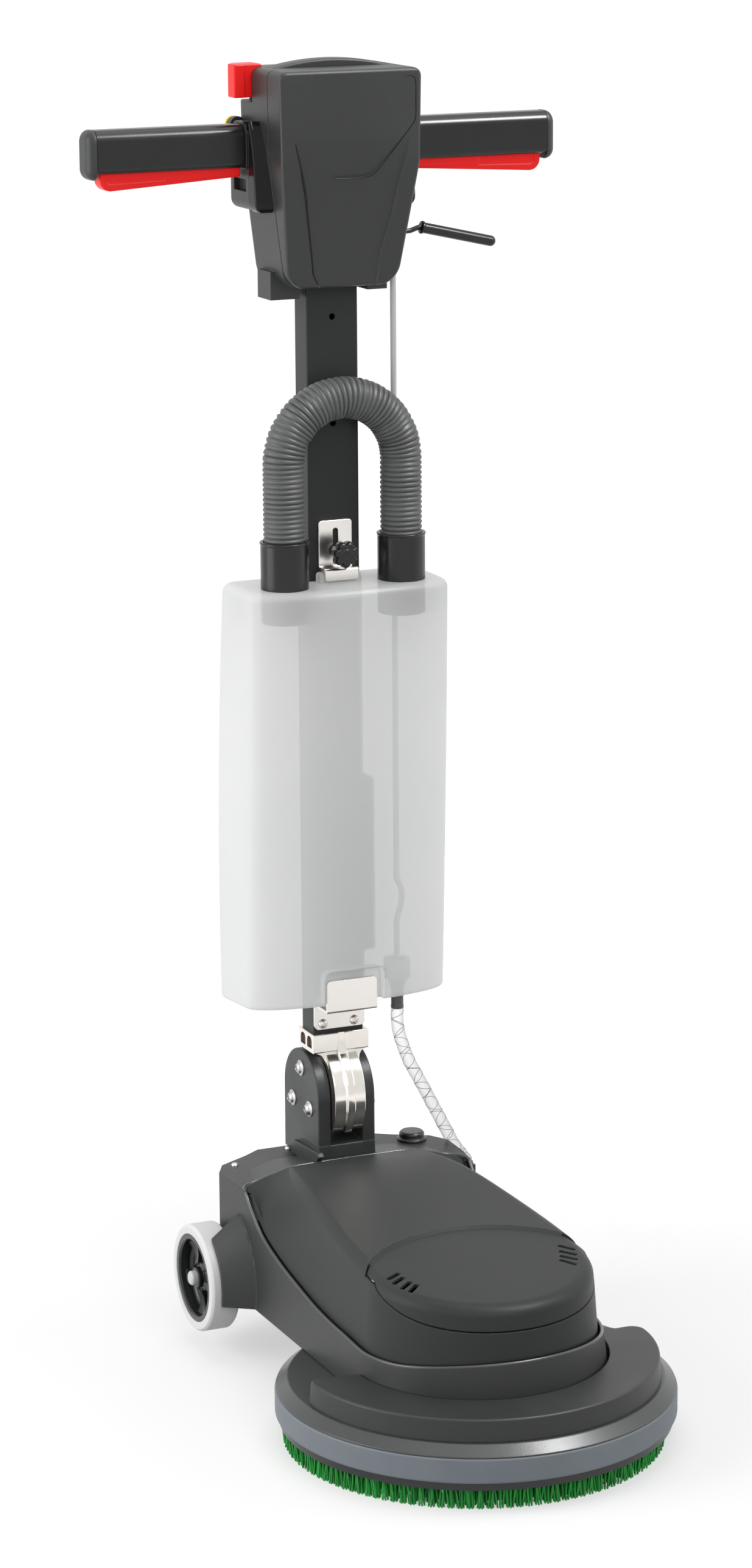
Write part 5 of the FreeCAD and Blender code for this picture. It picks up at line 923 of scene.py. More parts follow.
def makeCaseRear(spec):
    ledge, floor, seam = spec["ledge"], spec["floor"], spec["seamLength"]
    half = [(117, seam)] + spec["rearPlan"] + [(0, 360)]
    plan = half + [(-x, y) for x, y in reversed(half[:-1])]
    count = len(plan)

    def outline(z):
        return [(math.copysign(min(abs(x), caseHalfAt(spec, y, z)), x), y, z) for x, y in plan]

    points = outline(floor) + outline(ledge)
    for end in (count, 2 * count - 1):
        points[end] = points[end][:2] + (163.4,)
    faces = [(k, k + 1, count + k + 1, count + k) for k in range(count - 1)]
    rows = []
    for row in (spec["crest"], [(x, y, ledge) for x, y in spec["foot"]]):
        line = [(-x, y, z) for x, y, z in reversed(row[1:])] + row
        rows.append([len(points) + k for k in range(len(line))])
        points += line
    wide = len(rows[0])
    faces += [(rows[0][k], rows[0][k + 1], rows[1][k + 1], rows[1][k]) for k in range(wide - 1)]
    right, left = [count + k for k in (0, 1, 2)], [2 * count - 1 - k for k in (0, 1, 2)]
    faces.append((rows[0][-1], right[0], right[1], right[2], rows[1][-1]))
    faces.append((rows[0][0], left[0], left[1], left[2], rows[1][0]))
    faces.append(tuple(rows[1]) + tuple(count + k for k in range(2, count - 2)))
    base = len(points)
    points += [(x, min(y, seam), 140.0) for x, y, z in (points[k] for k in rows[0])]
    faces += [(rows[0][k], rows[0][k + 1], base + k + 1, base + k) for k in range(wide - 1)]
    faces.append((right[0], rows[0][-1], base + wide - 1, 0))
    faces.append((left[0], rows[0][0], base, count - 1))
    faces.append(tuple(range(base, base + wide)) + (0,) + (count - 1,))
    faces.append(tuple(range(count)))
    obj = makeObject("caseRear", points, faces)
    pocket = prism("bracketPocket", [(-29.2, 280), (29.2, 280), (29.2, 400), (-29.2, 400)], "Z", ledge, 200)
    carve(obj, pocket)
    work = bmesh.new()
    work.from_mesh(obj.data)
    weight = work.edges.layers.float.new("bevel_weight_edge")
    for edge in work.edges:
        behind = any(vertex.co.y > (seam + 0.5) / 1000 for vertex in edge.verts)
        if behind and len(edge.link_faces) == 2 and edge.calc_face_angle() > 0.1:
            edge[weight] = 1.0
    work.to_mesh(obj.data)
    work.free()
    modifier = obj.modifiers.new("softEdges", "BEVEL")
    modifier.width, modifier.segments, modifier.limit_method = 0.0018, 3, "WEIGHT"
    return settle(obj)


# the raised bead on the rim, its lighter colour a painted highlight line: round the nose, up both sides and along
# the back of the deck
def makeRimBead(spec):
    turn = spec["beadRadius"]
    path = []
    for way in caseWays(spec):
        path.append(caseSpot(spec, way, turn + 0.1, rimAt(spec, way) - turn + spec["beadRise"]))
    back = [(x, y, z - turn + spec["beadRise"]) for x, y, z in spec["beadCourse"]]
    loop = path + [(-x, y, z) for x, y, z in back] + [(x, y, z) for x, y, z in reversed(back)]
    dense = smoothLine(loop + loop[:1], 2)
    rings = tubeRings(dense[:-1], turn, 10)
    obj = loft("rimBead", rings, loop=True)
    dress(obj, "chassis", "charcoal_plastic", "rimPaintedHighlight", smooth=60)


fender = dict(
    axle=(297.0, 71.7), hollow=51.6, back=28.0, drop=12.7,
    course=[(106.0, 72.6), (116.6, 72.4), (118.6, 70.9), (142.1, 54.4), (142.5, 53.8)],
)


# a shell of a cone about the axle, cut off by an upright plane behind and a level one below
def makeFender(side, spec):
    (y, z), rings = spec["axle"], []
    for x, radius in spec["course"]:
        ring = []
        for reach, steps in ((radius, range(25)), (spec["hollow"], range(24, -1, -1))):
            start, stop = math.pi - math.acos(spec["back"] / reach), math.pi + math.asin(spec["drop"] / reach)
            ring += [(side * x, y + reach * math.cos(a), z + reach * math.sin(a))
                     for a in (start + (stop - start) * k / 24 for k in steps)]
        rings.append(ring)
    return soften(loft("fender", rings), 0.7, 2, 50)


makeCase(case)
makeRimBead(case)

# Deck cover and front cap
deck = dict(
    inset=5.2, skirt=8.0, thickness=3.0, seamDrop=0.4, edge=12.0, noseTop=167.0, noseLean=9.0 / 102,
    top=[(0, 167.0), (35, 170.0), (68, 172.4), (128, 177.0), (165, 179.6), (204, 181.0), (240, 179.2),
         (272, 175.0)],
    ridge=[(0, 102.5), (35, 100.5), (70, 98.0), (130, 91.0), (206, 80.0), (240, 72.0), (272, 62.0)],
    rearSlant=15.5, sweep=7, capRadius=125.0, capRear=62.0, lipFront=132.5, lipRise=26.0, capDrop=2.3, gap=1.5,
    lipSweep=0.85,
)


def deckSection(spec, y):
    slant = spec["rearSlant"] * max(0.0, (y - 170) / 102)**1.6
    low = y - slant
    seam = smoothAlong(case["rim"], low) - spec["seamDrop"]
    side, foot = (caseHalfAt(case, low, z) - spec["inset"] for z in (seam, seam - spec["skirt"]))
    ridge, top = smoothAlong(spec["ridge"], y), smoothAlong(spec["top"], y)
    return sectionLine(spec, ridge, top, side, seam, foot), y, low


# half profile from the middle of the top down to the skirt: (across, height)
def sectionLine(spec, ridge, top, side, seam, foot):
    corner, stop = Vector((ridge, top)), Vector((side, seam))
    way = (stop - corner).normalized()
    half = Vector((-1, 0)).angle(way) / 2
    edge = min(spec["edge"], (stop - corner).length * 0.45 * math.tan(half))
    reach = edge / math.tan(half)
    centre = corner + (Vector((-1, 0)) + way).normalized() * edge / math.sin(half)
    start, end = corner + Vector((-reach, 0)), corner + way * reach
    line = [(start.x * share, top + 0.9 * (1 - share**2)) for share in (0.0, 0.25, 0.5, 0.75)]
    first, last = (math.atan2(*(spot - centre).yx) for spot in (start, end))
    line += [(centre.x + edge * math.cos(a), centre.y + edge * math.sin(a))
             for a in (first + (last - first) * k / 8 for k in range(9))]
    line += [tuple(end + (stop - end) * share) for share in (0.35, 0.6, 0.74, 0.84, 0.91, 0.96)]
    line += [(side, seam), (side - 0.9, seam - 1.2), (foot - 0.9, seam - spec["skirt"])]
    return line


def deckForm(name, spec, drop=0.0):
    halves = []
    stations = [272.0, 268.0, 262.0, 254.0, 245.0, 234.0, 222.0] + [206.0 - 14.7 * k for k in range(15)]
    for y in [y for y in stations if y > 1] + [0.0]:
        line, ridgeY, seamY = deckSection(spec, y)
        high, low = line[0][1], line[-1][1]
        half = []
        for x, z in line:
            share = min(1.0, max(0.0, (high - z - 1.5) / (high - low - 8)))
            half.append((x, ridgeY + (seamY - ridgeY) * share**spec["sweep"], z))
        halves.append(half)
    across = len(halves[0])
    rows = [half + [(-x, y, z) for x, y, z in half[1:]] for half in halves]
    points, faces = [spot for row in rows for spot in row], []
    wide = 2 * across - 1
    for row in range(len(rows) - 1):
        for k in range(wide):
            if k == wide - 1 or k == across - 1:
                continue
            a, b = row * wide + k, (row + 1) * wide + k
            faces.append((a, a + 1, b + 1, b))
        faces.append((row * wide, row * wide + across, (row + 1) * wide + across, (row + 1) * wide))
    turns, start = 64, len(points)
    for step in range(turns + 1):
        angle = math.pi * step / turns
        rim = smoothAlong(case["rim"], -case["noseRadius"] * math.sin(angle))
        seam = rim - spec["seamDrop"]
        side, foot = (caseNoseRadius(case, z) - spec["inset"] for z in (seam, seam - spec["skirt"]))
        ridge = spec["ridge"][0][1]
        line = sectionLine(spec, ridge, spec["noseTop"], side, seam, foot)
        for r, z in line:
            share = min(1.0, max(0.0, (z - seam) / (spec["noseTop"] - seam)))
            points.append((r * math.cos(angle), -r * math.sin(angle),
                z - spec["noseLean"] * r * math.sin(angle) * share))
    for step in range(turns):
        for k in range(across - 1):
            a, b = start + step * across + k, start + (step + 1) * across + k
            faces.append((a, a + 1, b + 1, b))
    points = [(x, y, z - drop) for x, y, z in points]
    obj = makeObject(name, points, faces)
    if obj.data.polygons[0].normal.z < 0:
        obj.data.flip_normals()
    modifier = obj.modifiers.new("thickness", "SOLIDIFY")
    modifier.thickness, modifier.offset = spec["thickness"] / 1000, -1
    return settle(obj)


# the room of the cap: over a rising line at the sides, ahead of an arc on the deck
def capRoom(spec, gap):
    lip, rise, wide = spec["lipFront"] + gap, spec["lipRise"], 137.0
    line = [(-wide + 12 + 117 * share, lip + rise * (0.55 * share**2 + 0.45 * share**3))
            for share in (k / 16 for k in range(17))]
    line = [(-wide - 5, lip - 0.3)] + line + [(82, lip + rise + 7), (82, 230), (-wide - 5, 230)]
    room = prism("capRoom", line, "X", -wide, wide)
    radius, middle = spec["capRadius"] - gap, spec["capRear"] - spec["capRadius"]
    turns = [2 * math.pi * k / 128 for k in range(128)]
    drum = [(radius * math.cos(a), middle + radius * math.sin(a)) for a in turns]
    return carve(room, prism("capDrum", drum, "Z", 60, 240), "INTERSECT")


# the step where the deck falls to the cap: a sloped lip along the arc
def makeCapLip(spec, cover):
    tree = BVHTree.FromPolygons([spot.co for spot in cover.data.vertices],
        [face.vertices for face in cover.data.polygons])
    rings, middle, radius = [], spec["capRear"] - spec["capRadius"], spec["capRadius"]
    for step in range(81):
        angle = math.pi / 2 + (step / 40 - 1) * spec["lipSweep"]
        way = Vector((math.cos(angle), math.sin(angle)))

        def level(r):
            hit = tree.ray_cast(Vector((way.x * r / 1000, (middle + way.y * r) / 1000, 0.4)), Vector((0, 0, -1)))[0]
            return hit.z * 1000

        high = level(radius + 0.8)
        low = high - spec["capDrop"]
        line = [(radius + 0.8, low - 3), (radius + 0.8, high + 0.02), (radius - 0.2, high - 0.15),
                (radius - 3.4, low - 0.3), (radius - 3.8, low - 3)]
        rings.append([(way.x * r, middle + way.y * r, z) for r, z in line])
    return loft("capLip", rings)


def makeDeck(spec):
    cover = carve(deckForm("deckCover", spec), capRoom(spec, 0.0))
    lip = makeCapLip(spec, cover)
    standFor(joined("deckCover", soften(cover, 0.9, 2, 50), lip), "deck_cover", finish="deckPlastic", smooth=30)
    cap = carve(deckForm("frontCap", spec, spec["capDrop"]), capRoom(spec, spec["gap"]), "INTERSECT")
    cap = soften(cap, 1.3, 3, 50)
    for x, y, turn in vents["slots"]:
        carve(cap, ventSlot(vents, x, y, turn))
    standFor(cap, "front_cap", finish="deckPlastic", smooth=30)


vents = dict(
    length=17.0, width=5.0,
    slots=[(-83.5, -10, 28), (-83, -19.6, 33), (-80.6, -30.6, 38), (-77, -38.4, 43), (85, -7.4, -52),
           (81.2, -18.2, -47), (77.4, -27.5, -46), (72.5, -35.9, -55)],
)


def ventSlot(spec, x, y, turn):
    half, wide, turn = spec["length"] / 2, spec["width"] / 2, math.radians(turn)
    line = roundedLine([(-half, -wide, 0.6), (half, -wide, 0.6), (half, wide, 0.6), (-half, wide, 0.6)], 3)
    line = [(x + u * math.cos(turn) - v * math.sin(turn), y + u * math.sin(turn) + v * math.cos(turn))
            for u, v in line]
    return prism("ventSlot", line, "Z", 130, 200)


makeDeck(deck)

# two small domed screws on the ledge
ledgeScrews = dict(spots=[(-96, 325), (-31.5, 350)], level=165.0,
                   profile=[(0, 0, 0), (3.4, 0, 0), (3.4, 0.9, 0.5), (2.4, 2.3, 1.4), (0, 2.7, 0)])
for number, spot in enumerate(ledgeScrews["spots"]):
    profile = [(radius, ledgeScrews["level"] + high) for radius, high in roundedLine(ledgeScrews["profile"], 4)]
    dress(turned(f"ledgeScrew{number}", profile, spot, "Z", 24), "chassis", "stainless")
print("case, deck and cap made")

# Bracket on the ledge: two cheeks, a base plate, a gusset, and the bolts through the drum
bracket = dict(
    pivot=(323.5, 229.0), radius=41.0, inner=16.0, outer=28.6, bottom=165.0, baseTop=187.0, edge=1.3,
    gusset=[(337, 166, 0), (337, 174, 1), (331, 180, 1), (273, 183.5, 0.6), (269.5, 180.5, 0.6), (276, 174, 0),
            (300, 166, 0)],
    gussetSpan=(-34.2, -28.4), foot=[(-29.6, 281, 1), (29.6, 281, 1), (29.6, 285, 0), (-29.6, 285, 0)],
    boltCircle=23.0, boltTurns=(90, 210, 330), headRadius=7.6, shank=4.0, nutRadius=5.8, domeRadius=5.4,
)


def makeBracket(spec):
    (y, z), radius, parts = spec["pivot"], spec["radius"], []
    cheek = [(y + radius, spec["bottom"]), (y + radius, z)]
    cheek += [(y + radius * math.cos(a), z + radius * math.sin(a))
              for a in (math.pi * k / 48 for k in range(1, 48))]
    cheek += [(y - radius, z), (y - radius, spec["bottom"])]
    for side in (-1, 1):
        low, high = sorted((side * spec["inner"], side * spec["outer"]))
        parts.append(prism("bracketCheek", cheek, "X", low, high, edge=spec["edge"]))
    base = [(y - radius - 1.5, spec["bottom"], 0), (y - radius - 1.5, spec["bottom"] + 4, 0),
            (y - radius, spec["baseTop"] - 1, 1.0), (y - radius + 5, spec["baseTop"], 1.5),
            (y + radius, spec["baseTop"], 0), (y + radius, spec["bottom"], 0)]
    parts.append(prism("bracketBase", roundedLine(base), "X", -spec["outer"] + 0.2, spec["outer"] - 0.2, edge=0.5))
    parts.append(prism("bracketFoot", roundedLine(spec["foot"]), "Z", 165, 172, edge=1.0))
    parts.append(prism("bracketGusset", roundedLine(spec["gusset"]), "X", *spec["gussetSpan"], edge=0.6))
    standFor(joined("pivotBracket", *parts), "pivot_bracket")


def makeBracketBolts(spec):
    (y, z), ring = spec["pivot"], spec["boltCircle"]
    spots = [(y + ring * math.cos(math.radians(a)), z + ring * math.sin(math.radians(a)))
             for a in spec["boltTurns"]]
    parts = []
    for spot in spots:
        outer, head = spec["outer"], spec["headRadius"]
        dome = [(0, -outer), (head, -outer), (head, -outer - 0.9), (head - 1.6, -outer - 1.5)]
        dome += [(spec["domeRadius"] * math.cos(a), -outer - 1.6 - 3.6 * math.sin(a))
                 for a in (math.radians(10 + 13 * k) for k in range(5))]
        dome += [(2.3, -outer - 5.1), (2.1, -outer - 3.4), (0, -outer - 3.4)]
        parts.append(turned("boltHead", dome, spot, "X", steps=28))
        rod = [(0, -outer), (spec["shank"], -outer), (spec["shank"], outer), (6.6, outer), (6.6, outer + 1.2),
               (spec["shank"] - 0.6, outer + 1.3), (spec["shank"] - 0.6, outer + 7.6), (2.6, outer + 8.4),
               (0, outer + 8.4)]
        parts.append(turned("boltShank", rod, spot, "X", steps=24))
        nut = [(spot[0] + spec["nutRadius"] * math.cos(a), spot[1] + spec["nutRadius"] * math.sin(a))
               for a in (math.pi / 3 * k for k in range(6))]
        parts.append(prism("boltNut", nut, "X", outer + 1.2, outer + 4.8, edge=0.5, steps=2))
    standFor(joined("bracketBolts", *parts), "bracket_bolts", smooth=36)


makeBracket(bracket)
makeBracketBolts(bracket)

# Hinge casting: a block over a banded disc that turns on the drum
hinge = dict(
    half=28.0, front=294.0, back=330.0, bottom=272.5, top=291.0, edge=0.8, pivot=(323.5, 229.0), coreRadius=37.5,
    drumRadius=30.1, start=60, stop=215, steps=124,
    bands=[(-15.6, 30), (-15.6, 49.6), (-15.2, 50.6), (-14.4, 51), (-5.4, 51), (-4.6, 51.5), (-4.2, 52.6),
           (-3.6, 53.8), (-2.8, 54.2), (2.8, 54.2), (3.6, 53.8), (4.2, 52.6), (4.6, 51.5), (5.4, 51), (14.4, 51),
           (15.2, 50.6), (15.6, 49.6), (15.6, 30)],
    rib=[(291.2, 2.6, 293.6), (284, 3.2, 292.8), (277, 4.0, 291.8), (270, 5.0, 289.0), (262, 5.2, 283.5)],
    flare=[(273.5, 27.0, 294.6), (271.0, 21.5, 294.4), (267.5, 18.0, 292.6), (262, 16.0, 288.6),
           (256, 15.4, 285.5)],
    pockets=[(313.2, 324.4), (298.4, 309.4)], pocketBottom=277.0, pocketTop=288.0, pocketDeep=7.0,
)


def makeHinge(spec):
    (y, z), parts = spec["pivot"], []
    line = [(spec["front"], spec["bottom"], 1.6), (spec["back"], spec["bottom"], 1.6),
            (spec["back"], spec["top"], 1.6), (spec["front"], spec["top"], 1.6)]
    head = prism("hingeHead", roundedLine(line, 4), "X", -spec["half"], spec["half"], edge=spec["edge"])
    floors = []
    for low, high in spec["pockets"]:
        arch = roundedLine([(low, spec["pocketBottom"], 1), (high, spec["pocketBottom"], 1),
            (high, spec["pocketTop"], 4.6), (low, spec["pocketTop"], 4.6)], 5)
        carve(head, prism("hingePocket", arch, "X", -spec["half"] - 5, -spec["half"] + spec["pocketDeep"]))
        inner = prism("pocketFloor", insetLine(arch, 0.3), "X", -spec["half"] + 2.2,
                      -spec["half"] + spec["pocketDeep"] + 1)
        floors.append(inner)
    parts.append(head)
    rings = []
    for step in range(spec["steps"] + 1):
        a = math.radians(spec["start"] + (spec["stop"] - spec["start"]) * step / spec["steps"])
        rings.append([(x, y + r * math.cos(a), z + r * math.sin(a)) for x, r in spec["bands"]])
    parts.append(loft("hingeDisc", rings))
    core = [(spec["drumRadius"], -15.6), (spec["coreRadius"], -15.6), (spec["coreRadius"], 15.6),
            (spec["drumRadius"], 15.6)]
    parts.append(turned("hingeCore", core, (y, z), "X", steps=72))
    for name in ("rib", "flare"):
        rings = []
        for level, half, front in spec[name]:
            back = front + 14
            rings.append([(-half, back, level), (-half, front + 0.8, level), (-half + 0.8, front, level),
                (half - 0.8, front, level), (half, front + 0.8, level), (half, back, level)])
        parts.append(loft(name + "Hinge", rings))
    standFor(joined("hingeBlock", *parts), "hinge_block", smooth=40)
    dress(joined("hingePockets", *floors), "handle", "gloss_black", "pocketBrown")


makeHinge(hinge)

# Hook under the tank: one bent sheet with two screws
hook = dict(
    half=25.3, front=267.0, lipBack=270.0, plateFront=297.0, back=300.0, low=294.5, shelf=318.0, top=321.0,
    lipTop=349.5, corner=4.2, foot=5.2, screws=[(-17.0, 300.5), (14.6, 300.6)], screwRadius=4.6, screwRise=3.2,
    slotTurns=(20, 110), slotHalf=2.8, slotWide=0.6,
)


def makeHook(spec):
    side = [(spec["plateFront"], spec["low"], 0.5), (spec["back"], spec["low"], 0.5),
            (spec["back"], spec["top"], 1.8), (spec["lipBack"], spec["top"], 0.5),
            (spec["lipBack"], spec["lipTop"], 0.6), (spec["front"], spec["lipTop"], 0.6),
            (spec["front"], spec["shelf"], 2.6), (spec["plateFront"], spec["shelf"], 0.5)]
    sheet = prism("hookSheet", roundedLine(side, 4), "X", -spec["half"], spec["half"], edge=0.5)
    half, corner, foot = spec["half"], spec["corner"], spec["foot"]
    front = roundedLine([(-half, spec["low"], foot), (half, spec["low"], foot), (half, spec["lipTop"], corner),
                         (-half, spec["lipTop"], corner)])
    carve(sheet, prism("hookFront", front, "Y", 240, 320), "INTERSECT")
    sheet.name = "tankHook"
    standFor(sheet, "tank_hook")
    screws = []
    for x, z in spec["screws"]:
        radius, face, rise = spec["screwRadius"], spec["plateFront"], spec["screwRise"]
        dome = [(0, face), (radius, face)]
        dome += [(radius * math.cos(a), face - rise * math.sin(a)) for a in quarter(6)[:-1]]
        dome += [(0, face - rise)]
        screw = turned("hookScrew", dome, (x, z), "Y", steps=32)
        for turn in spec["slotTurns"]:
            a = math.radians(turn)
            ways = (Vector((math.cos(a), math.sin(a))), Vector((-math.sin(a), math.cos(a))))
            long, wide = spec["slotHalf"], spec["slotWide"]
            cross = [Vector((x, z)) + ways[0] * u + ways[1] * v
                     for u, v in ((-long, -wide), (long, -wide), (long, wide), (-long, wide))]
            carve(screw, prism("screwSlot", [tuple(spot) for spot in cross], "Y", face - 6, face - 1.6))
        screws.append(screw)
    dress(joined("hookScrews", *screws), "handle", "stainless")


makeHook(hook)

# Solution tank: one translucent skin that wraps the column, with a dish on top
tank = dict(
    bottom=327.4, top=718.0, back=332.0, corner=24.0, power=2.3, halves=(105.0, 105.0, 97.8),
    fronts=(260.0, 250.9, 246.0), taper=(0.09, 0.09, 0.0), rimRound=8.0, footRound=4.5, rimWidth=10.0,
    dishDepth=16.0, dishBack=288.0, channelHalf=26.3, channelFront=298.7, ductReach=37.3, ductLow=365.8,
    ductHigh=531.2, notchHalf=30.0, notchTop=360.0, notchBack=271.3, notchCorner=7.0, footHalf=24.0,
    footBottom=321.3, nibHalf=20.4, nibFront=286.3, nibBack=296.3, nibTop=727.0, cuffRadius=21.9, cuffSpan=57.3,
    cuffLength=279.5, straight=304, behind=360,
)


def tankPlan(spec, z, inset):
    t = (z - spec["bottom"]) / (spec["top"] - spec["bottom"])

    def bent(values):
        low, middle, high = values
        return low * (1 - t) * (1 - 2 * t) + middle * 4 * t * (1 - t) + high * t * (2 * t - 1)

    half, front, taper = bent(spec["halves"]) - inset, bent(spec["fronts"]) + inset, bent(spec["taper"])
    back, corner, line = spec["back"] - min(inset, 2), spec["corner"], []
    for step in range(49):
        a = math.pi / 2 * (step / 24 - 1)
        share = math.cos(a)
        x = half * math.copysign(abs(math.sin(a)) ** (2 / spec["power"]), a)
        line.append((x, front + corner * (1 - abs(share) ** (2 / spec["power"])), z))
    line += [(half, y, z) for y in (front + corner + 14, spec["straight"], back - 3)]
    line += [(half - 0.9, back - 0.9, z), (half - 3, back, z), (-half + 3, back, z), (-half + 0.9, back - 0.9, z)]
    line += [(-half, y, z) for y in (back - 3, spec["straight"], front + corner + 14)]
    return [(x * (1 - taper * (back - y) / (back - front)), y, z) for x, y, z in line]


def makeTank(spec):
    bottom, top, foot, rim = spec["bottom"], spec["top"], spec["footRound"], spec["rimRound"]
    turns = quarter(6)
    stops = [(bottom + foot * (1 - math.sin(a)), foot * (1 - math.cos(a))) for a in reversed(turns)]
    stops += [(bottom + foot + (top - rim - bottom - foot) * k / 12, 0) for k in range(1, 12)]
    stops += [(top - rim * (1 - math.sin(a)), rim * (1 - math.cos(a))) for a in turns]
    body = loft("tankSkin", [tankPlan(spec, z, inset) for z, inset in stops])
    width, floor = spec["rimWidth"], spec["top"] - spec["dishDepth"]

    def dishRing(z, inset):
        line = [spot for spot in tankPlan(spec, top, inset) if spot[1] < spec["dishBack"] - 8]
        return [(x, y, z) for x, y, _ in line] + [(line[-1][0], spec["dishBack"], z),
            (line[0][0], spec["dishBack"], z)]

    dish = loft("tankDish", [dishRing(floor, width + 3), dishRing(floor + 1, width + 1.4),
        dishRing(floor + 3, width + 0.5), dishRing(top - 2, width), dishRing(top - 0.6, width - 0.8),
        dishRing(top + 2, width - 3)])
    carve(body, dish)
    half, near, behind = spec["channelHalf"], spec["channelFront"], spec["behind"]
    plan = [(-half, near), (half, near), (half, behind), (-half, behind)]
    carve(body, prism("tankChannel", plan, "Z", bottom - 5, top + 5))
    low, high, reach = spec["ductLow"], spec["ductHigh"], spec["ductReach"]
    duct = roundedLine([(0, low, 0), (reach, low, 4), (reach, high, 4), (0, high, 0)])
    carve(body, prism("tankDuct", duct, "Y", near, behind))
    wide, edge = spec["notchHalf"], spec["notchCorner"]
    line = roundedLine([(-wide, bottom - 9, 0), (wide, bottom - 9, 0), (wide, spec["notchTop"], edge),
                        (-wide, spec["notchTop"], edge)])
    carve(body, prism("tankNotch", line, "Y", 200, spec["notchBack"]))
    nibHalf, footHalf = spec["nibHalf"], spec["footHalf"]
    nib = [(-nibHalf, floor - 1, 0), (nibHalf, floor - 1, 0), (nibHalf, spec["nibTop"], 3),
           (-nibHalf, spec["nibTop"], 3)]
    nib = prism("tankNib", roundedLine(nib), "Y", spec["nibFront"], spec["nibBack"], edge=1.2)
    foot = [(-footHalf, spec["footBottom"], 3), (footHalf, spec["footBottom"], 3), (footHalf, bottom + 1, 0),
            (-footHalf, bottom + 1, 0)]
    foot = prism("tankFoot", roundedLine(foot), "Y", spec["notchBack"], spec["nibBack"], edge=1.0)
    for side in (-1, 1):
        carve(nib, turned("nibWay", [(0, 680), (spec["cuffRadius"], 680), (spec["cuffRadius"], 740), (0, 740)],
            (side * spec["cuffSpan"], spec["cuffLength"]), steps=64))
    standFor(joined("solutionTank", body, nib, foot), "tank", smooth=34)


makeTank(tank)

# Pull rod of the valve, bent aside low in the tank, with an eye on the lever
pullRod = dict(
    x=62.0, y=305.0, radius=2.7, bottom=346.0, kink=[(389, 0.0), (398, 2.6), (408, 5.0), (418, 5.0), (427, 1.4),
        (436, 0.0)],
    eyeHeight=1029.0, eyeRadius=6.2, eyeInner=3.4, eyeHalf=2.0,
)


def makePullRod(spec):
    x, y = spec["x"], spec["y"]
    low = [(x, y, spec["bottom"]), (x, y, 380)] + [(x + aside, y, z) for z, aside in spec["kink"]]
    path = smoothLine(low + [(x, y, 450), (x, y, 700), (x, y, spec["eyeHeight"] - spec["eyeRadius"] + 0.8)], 5)
    stem = tube("rodStem", path, spec["radius"], 20)
    eye = [(spec["eyeInner"], x - spec["eyeHalf"]), (spec["eyeRadius"] - 0.5, x - spec["eyeHalf"]),
           (spec["eyeRadius"], x - 1.2), (spec["eyeRadius"], x + 1.2),
           (spec["eyeRadius"] - 0.5, x + spec["eyeHalf"]), (spec["eyeInner"], x + spec["eyeHalf"])]
    ring = turned("rodEye", eye, (y, spec["eyeHeight"]), "X", steps=32)
    standFor(joined("pullRod", stem, ring), "pull_rod")


makePullRod(pullRod)

# Clear feed hose with two thin spirals in its wall
feed = dict(
    start=(62.0, 305.0, 303.7), end=(131.0, 300.0, 145.2), radius=6.0, thread=0.24, overlap=3.0,
    turns=((1, 17.0, 0.0), (-1, 24.0, 1.3)), shares=[(0.0, 0.0), (0.0, 0.08), (0.03, 0.162), (0.154, 0.32),
        (0.343, 0.481), (0.533, 0.644), (0.725, 0.808), (0.815, 0.885), (0.93, 0.955), (1.0, 1.0)],
)


def makeFeedHose(spec):
    start, end = Vector(spec["start"]), Vector(spec["end"])
    stops = [Vector((start.x + (end.x - start.x) * a, start.y + (end.y - start.y) * a,
                     start.z + (end.z - start.z) * d))
             for a, d in spec["shares"]]
    stops = [start + Vector((0, 0, spec["overlap"]))] + stops
    path, spirals = smoothLine(stops, 9), []
    skin = tube("hoseSkin", path, spec["radius"], 28)
    across, ways = Vector((0, 1, 0)), []
    lengths = [0.0]
    for before, after in zip(path, path[1:]):
        lengths.append(lengths[-1] + (after - before).length)
    for number in range(len(path)):
        way = (path[min(number + 1, len(path) - 1)] - path[max(number - 1, 0)]).normalized()
        across = (across - way * across.dot(way)).normalized()
        ways.append((across.copy(), way.cross(across)))
    total = lengths[-1]
    for turn, pitch, shift in spec["turns"]:
        line, spots = [], 16 * int(total / pitch)
        for step in range(spots + 1):
            far = total * step / spots
            k = min(max(j for j in range(len(lengths)) if lengths[j] <= far), len(path) - 2)
            t = (far - lengths[k]) / (lengths[k + 1] - lengths[k])
            centre = path[k].lerp(path[k + 1], t)
            a, b = (ways[k][n].lerp(ways[k + 1][n], t).normalized() for n in (0, 1))
            angle = turn * 2 * math.pi * far / pitch + shift
            line.append(centre + (a * math.cos(angle) + b * math.sin(angle)) * (spec["radius"] + 0.02))
        spirals.append(tube("hoseSpiral", line, spec["thread"], 6))
    threads = joined("hoseSpirals", *spirals)
    for obj, finish in ((skin, "clearHose"), (threads, "threadGrey")):
        obj.data.materials.append(materials[finish])
        obj.data.shade_smooth()
        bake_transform(obj)
    skin.name = "feedHose"
    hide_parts("feed_hose")


makeFeedHose(feed)

# Outlet cuff of the valve inside the tank
outlet = dict(
    at=(62.0, 305.0), profile=[(4.3, 304, 0), (5.9, 304, 0.6), (6.3, 306, 0.5), (5.9, 308, 0.5), (5.9, 326.4, 0.5),
        (4.3, 326.4, 0)],
)
standFor(turned("outletCuff", roundedLine(outlet["profile"]), outlet["at"], steps=40), "outlet_cuff",
         finish="cuffGrey")
print("bracket, hinge, hook and tank made")

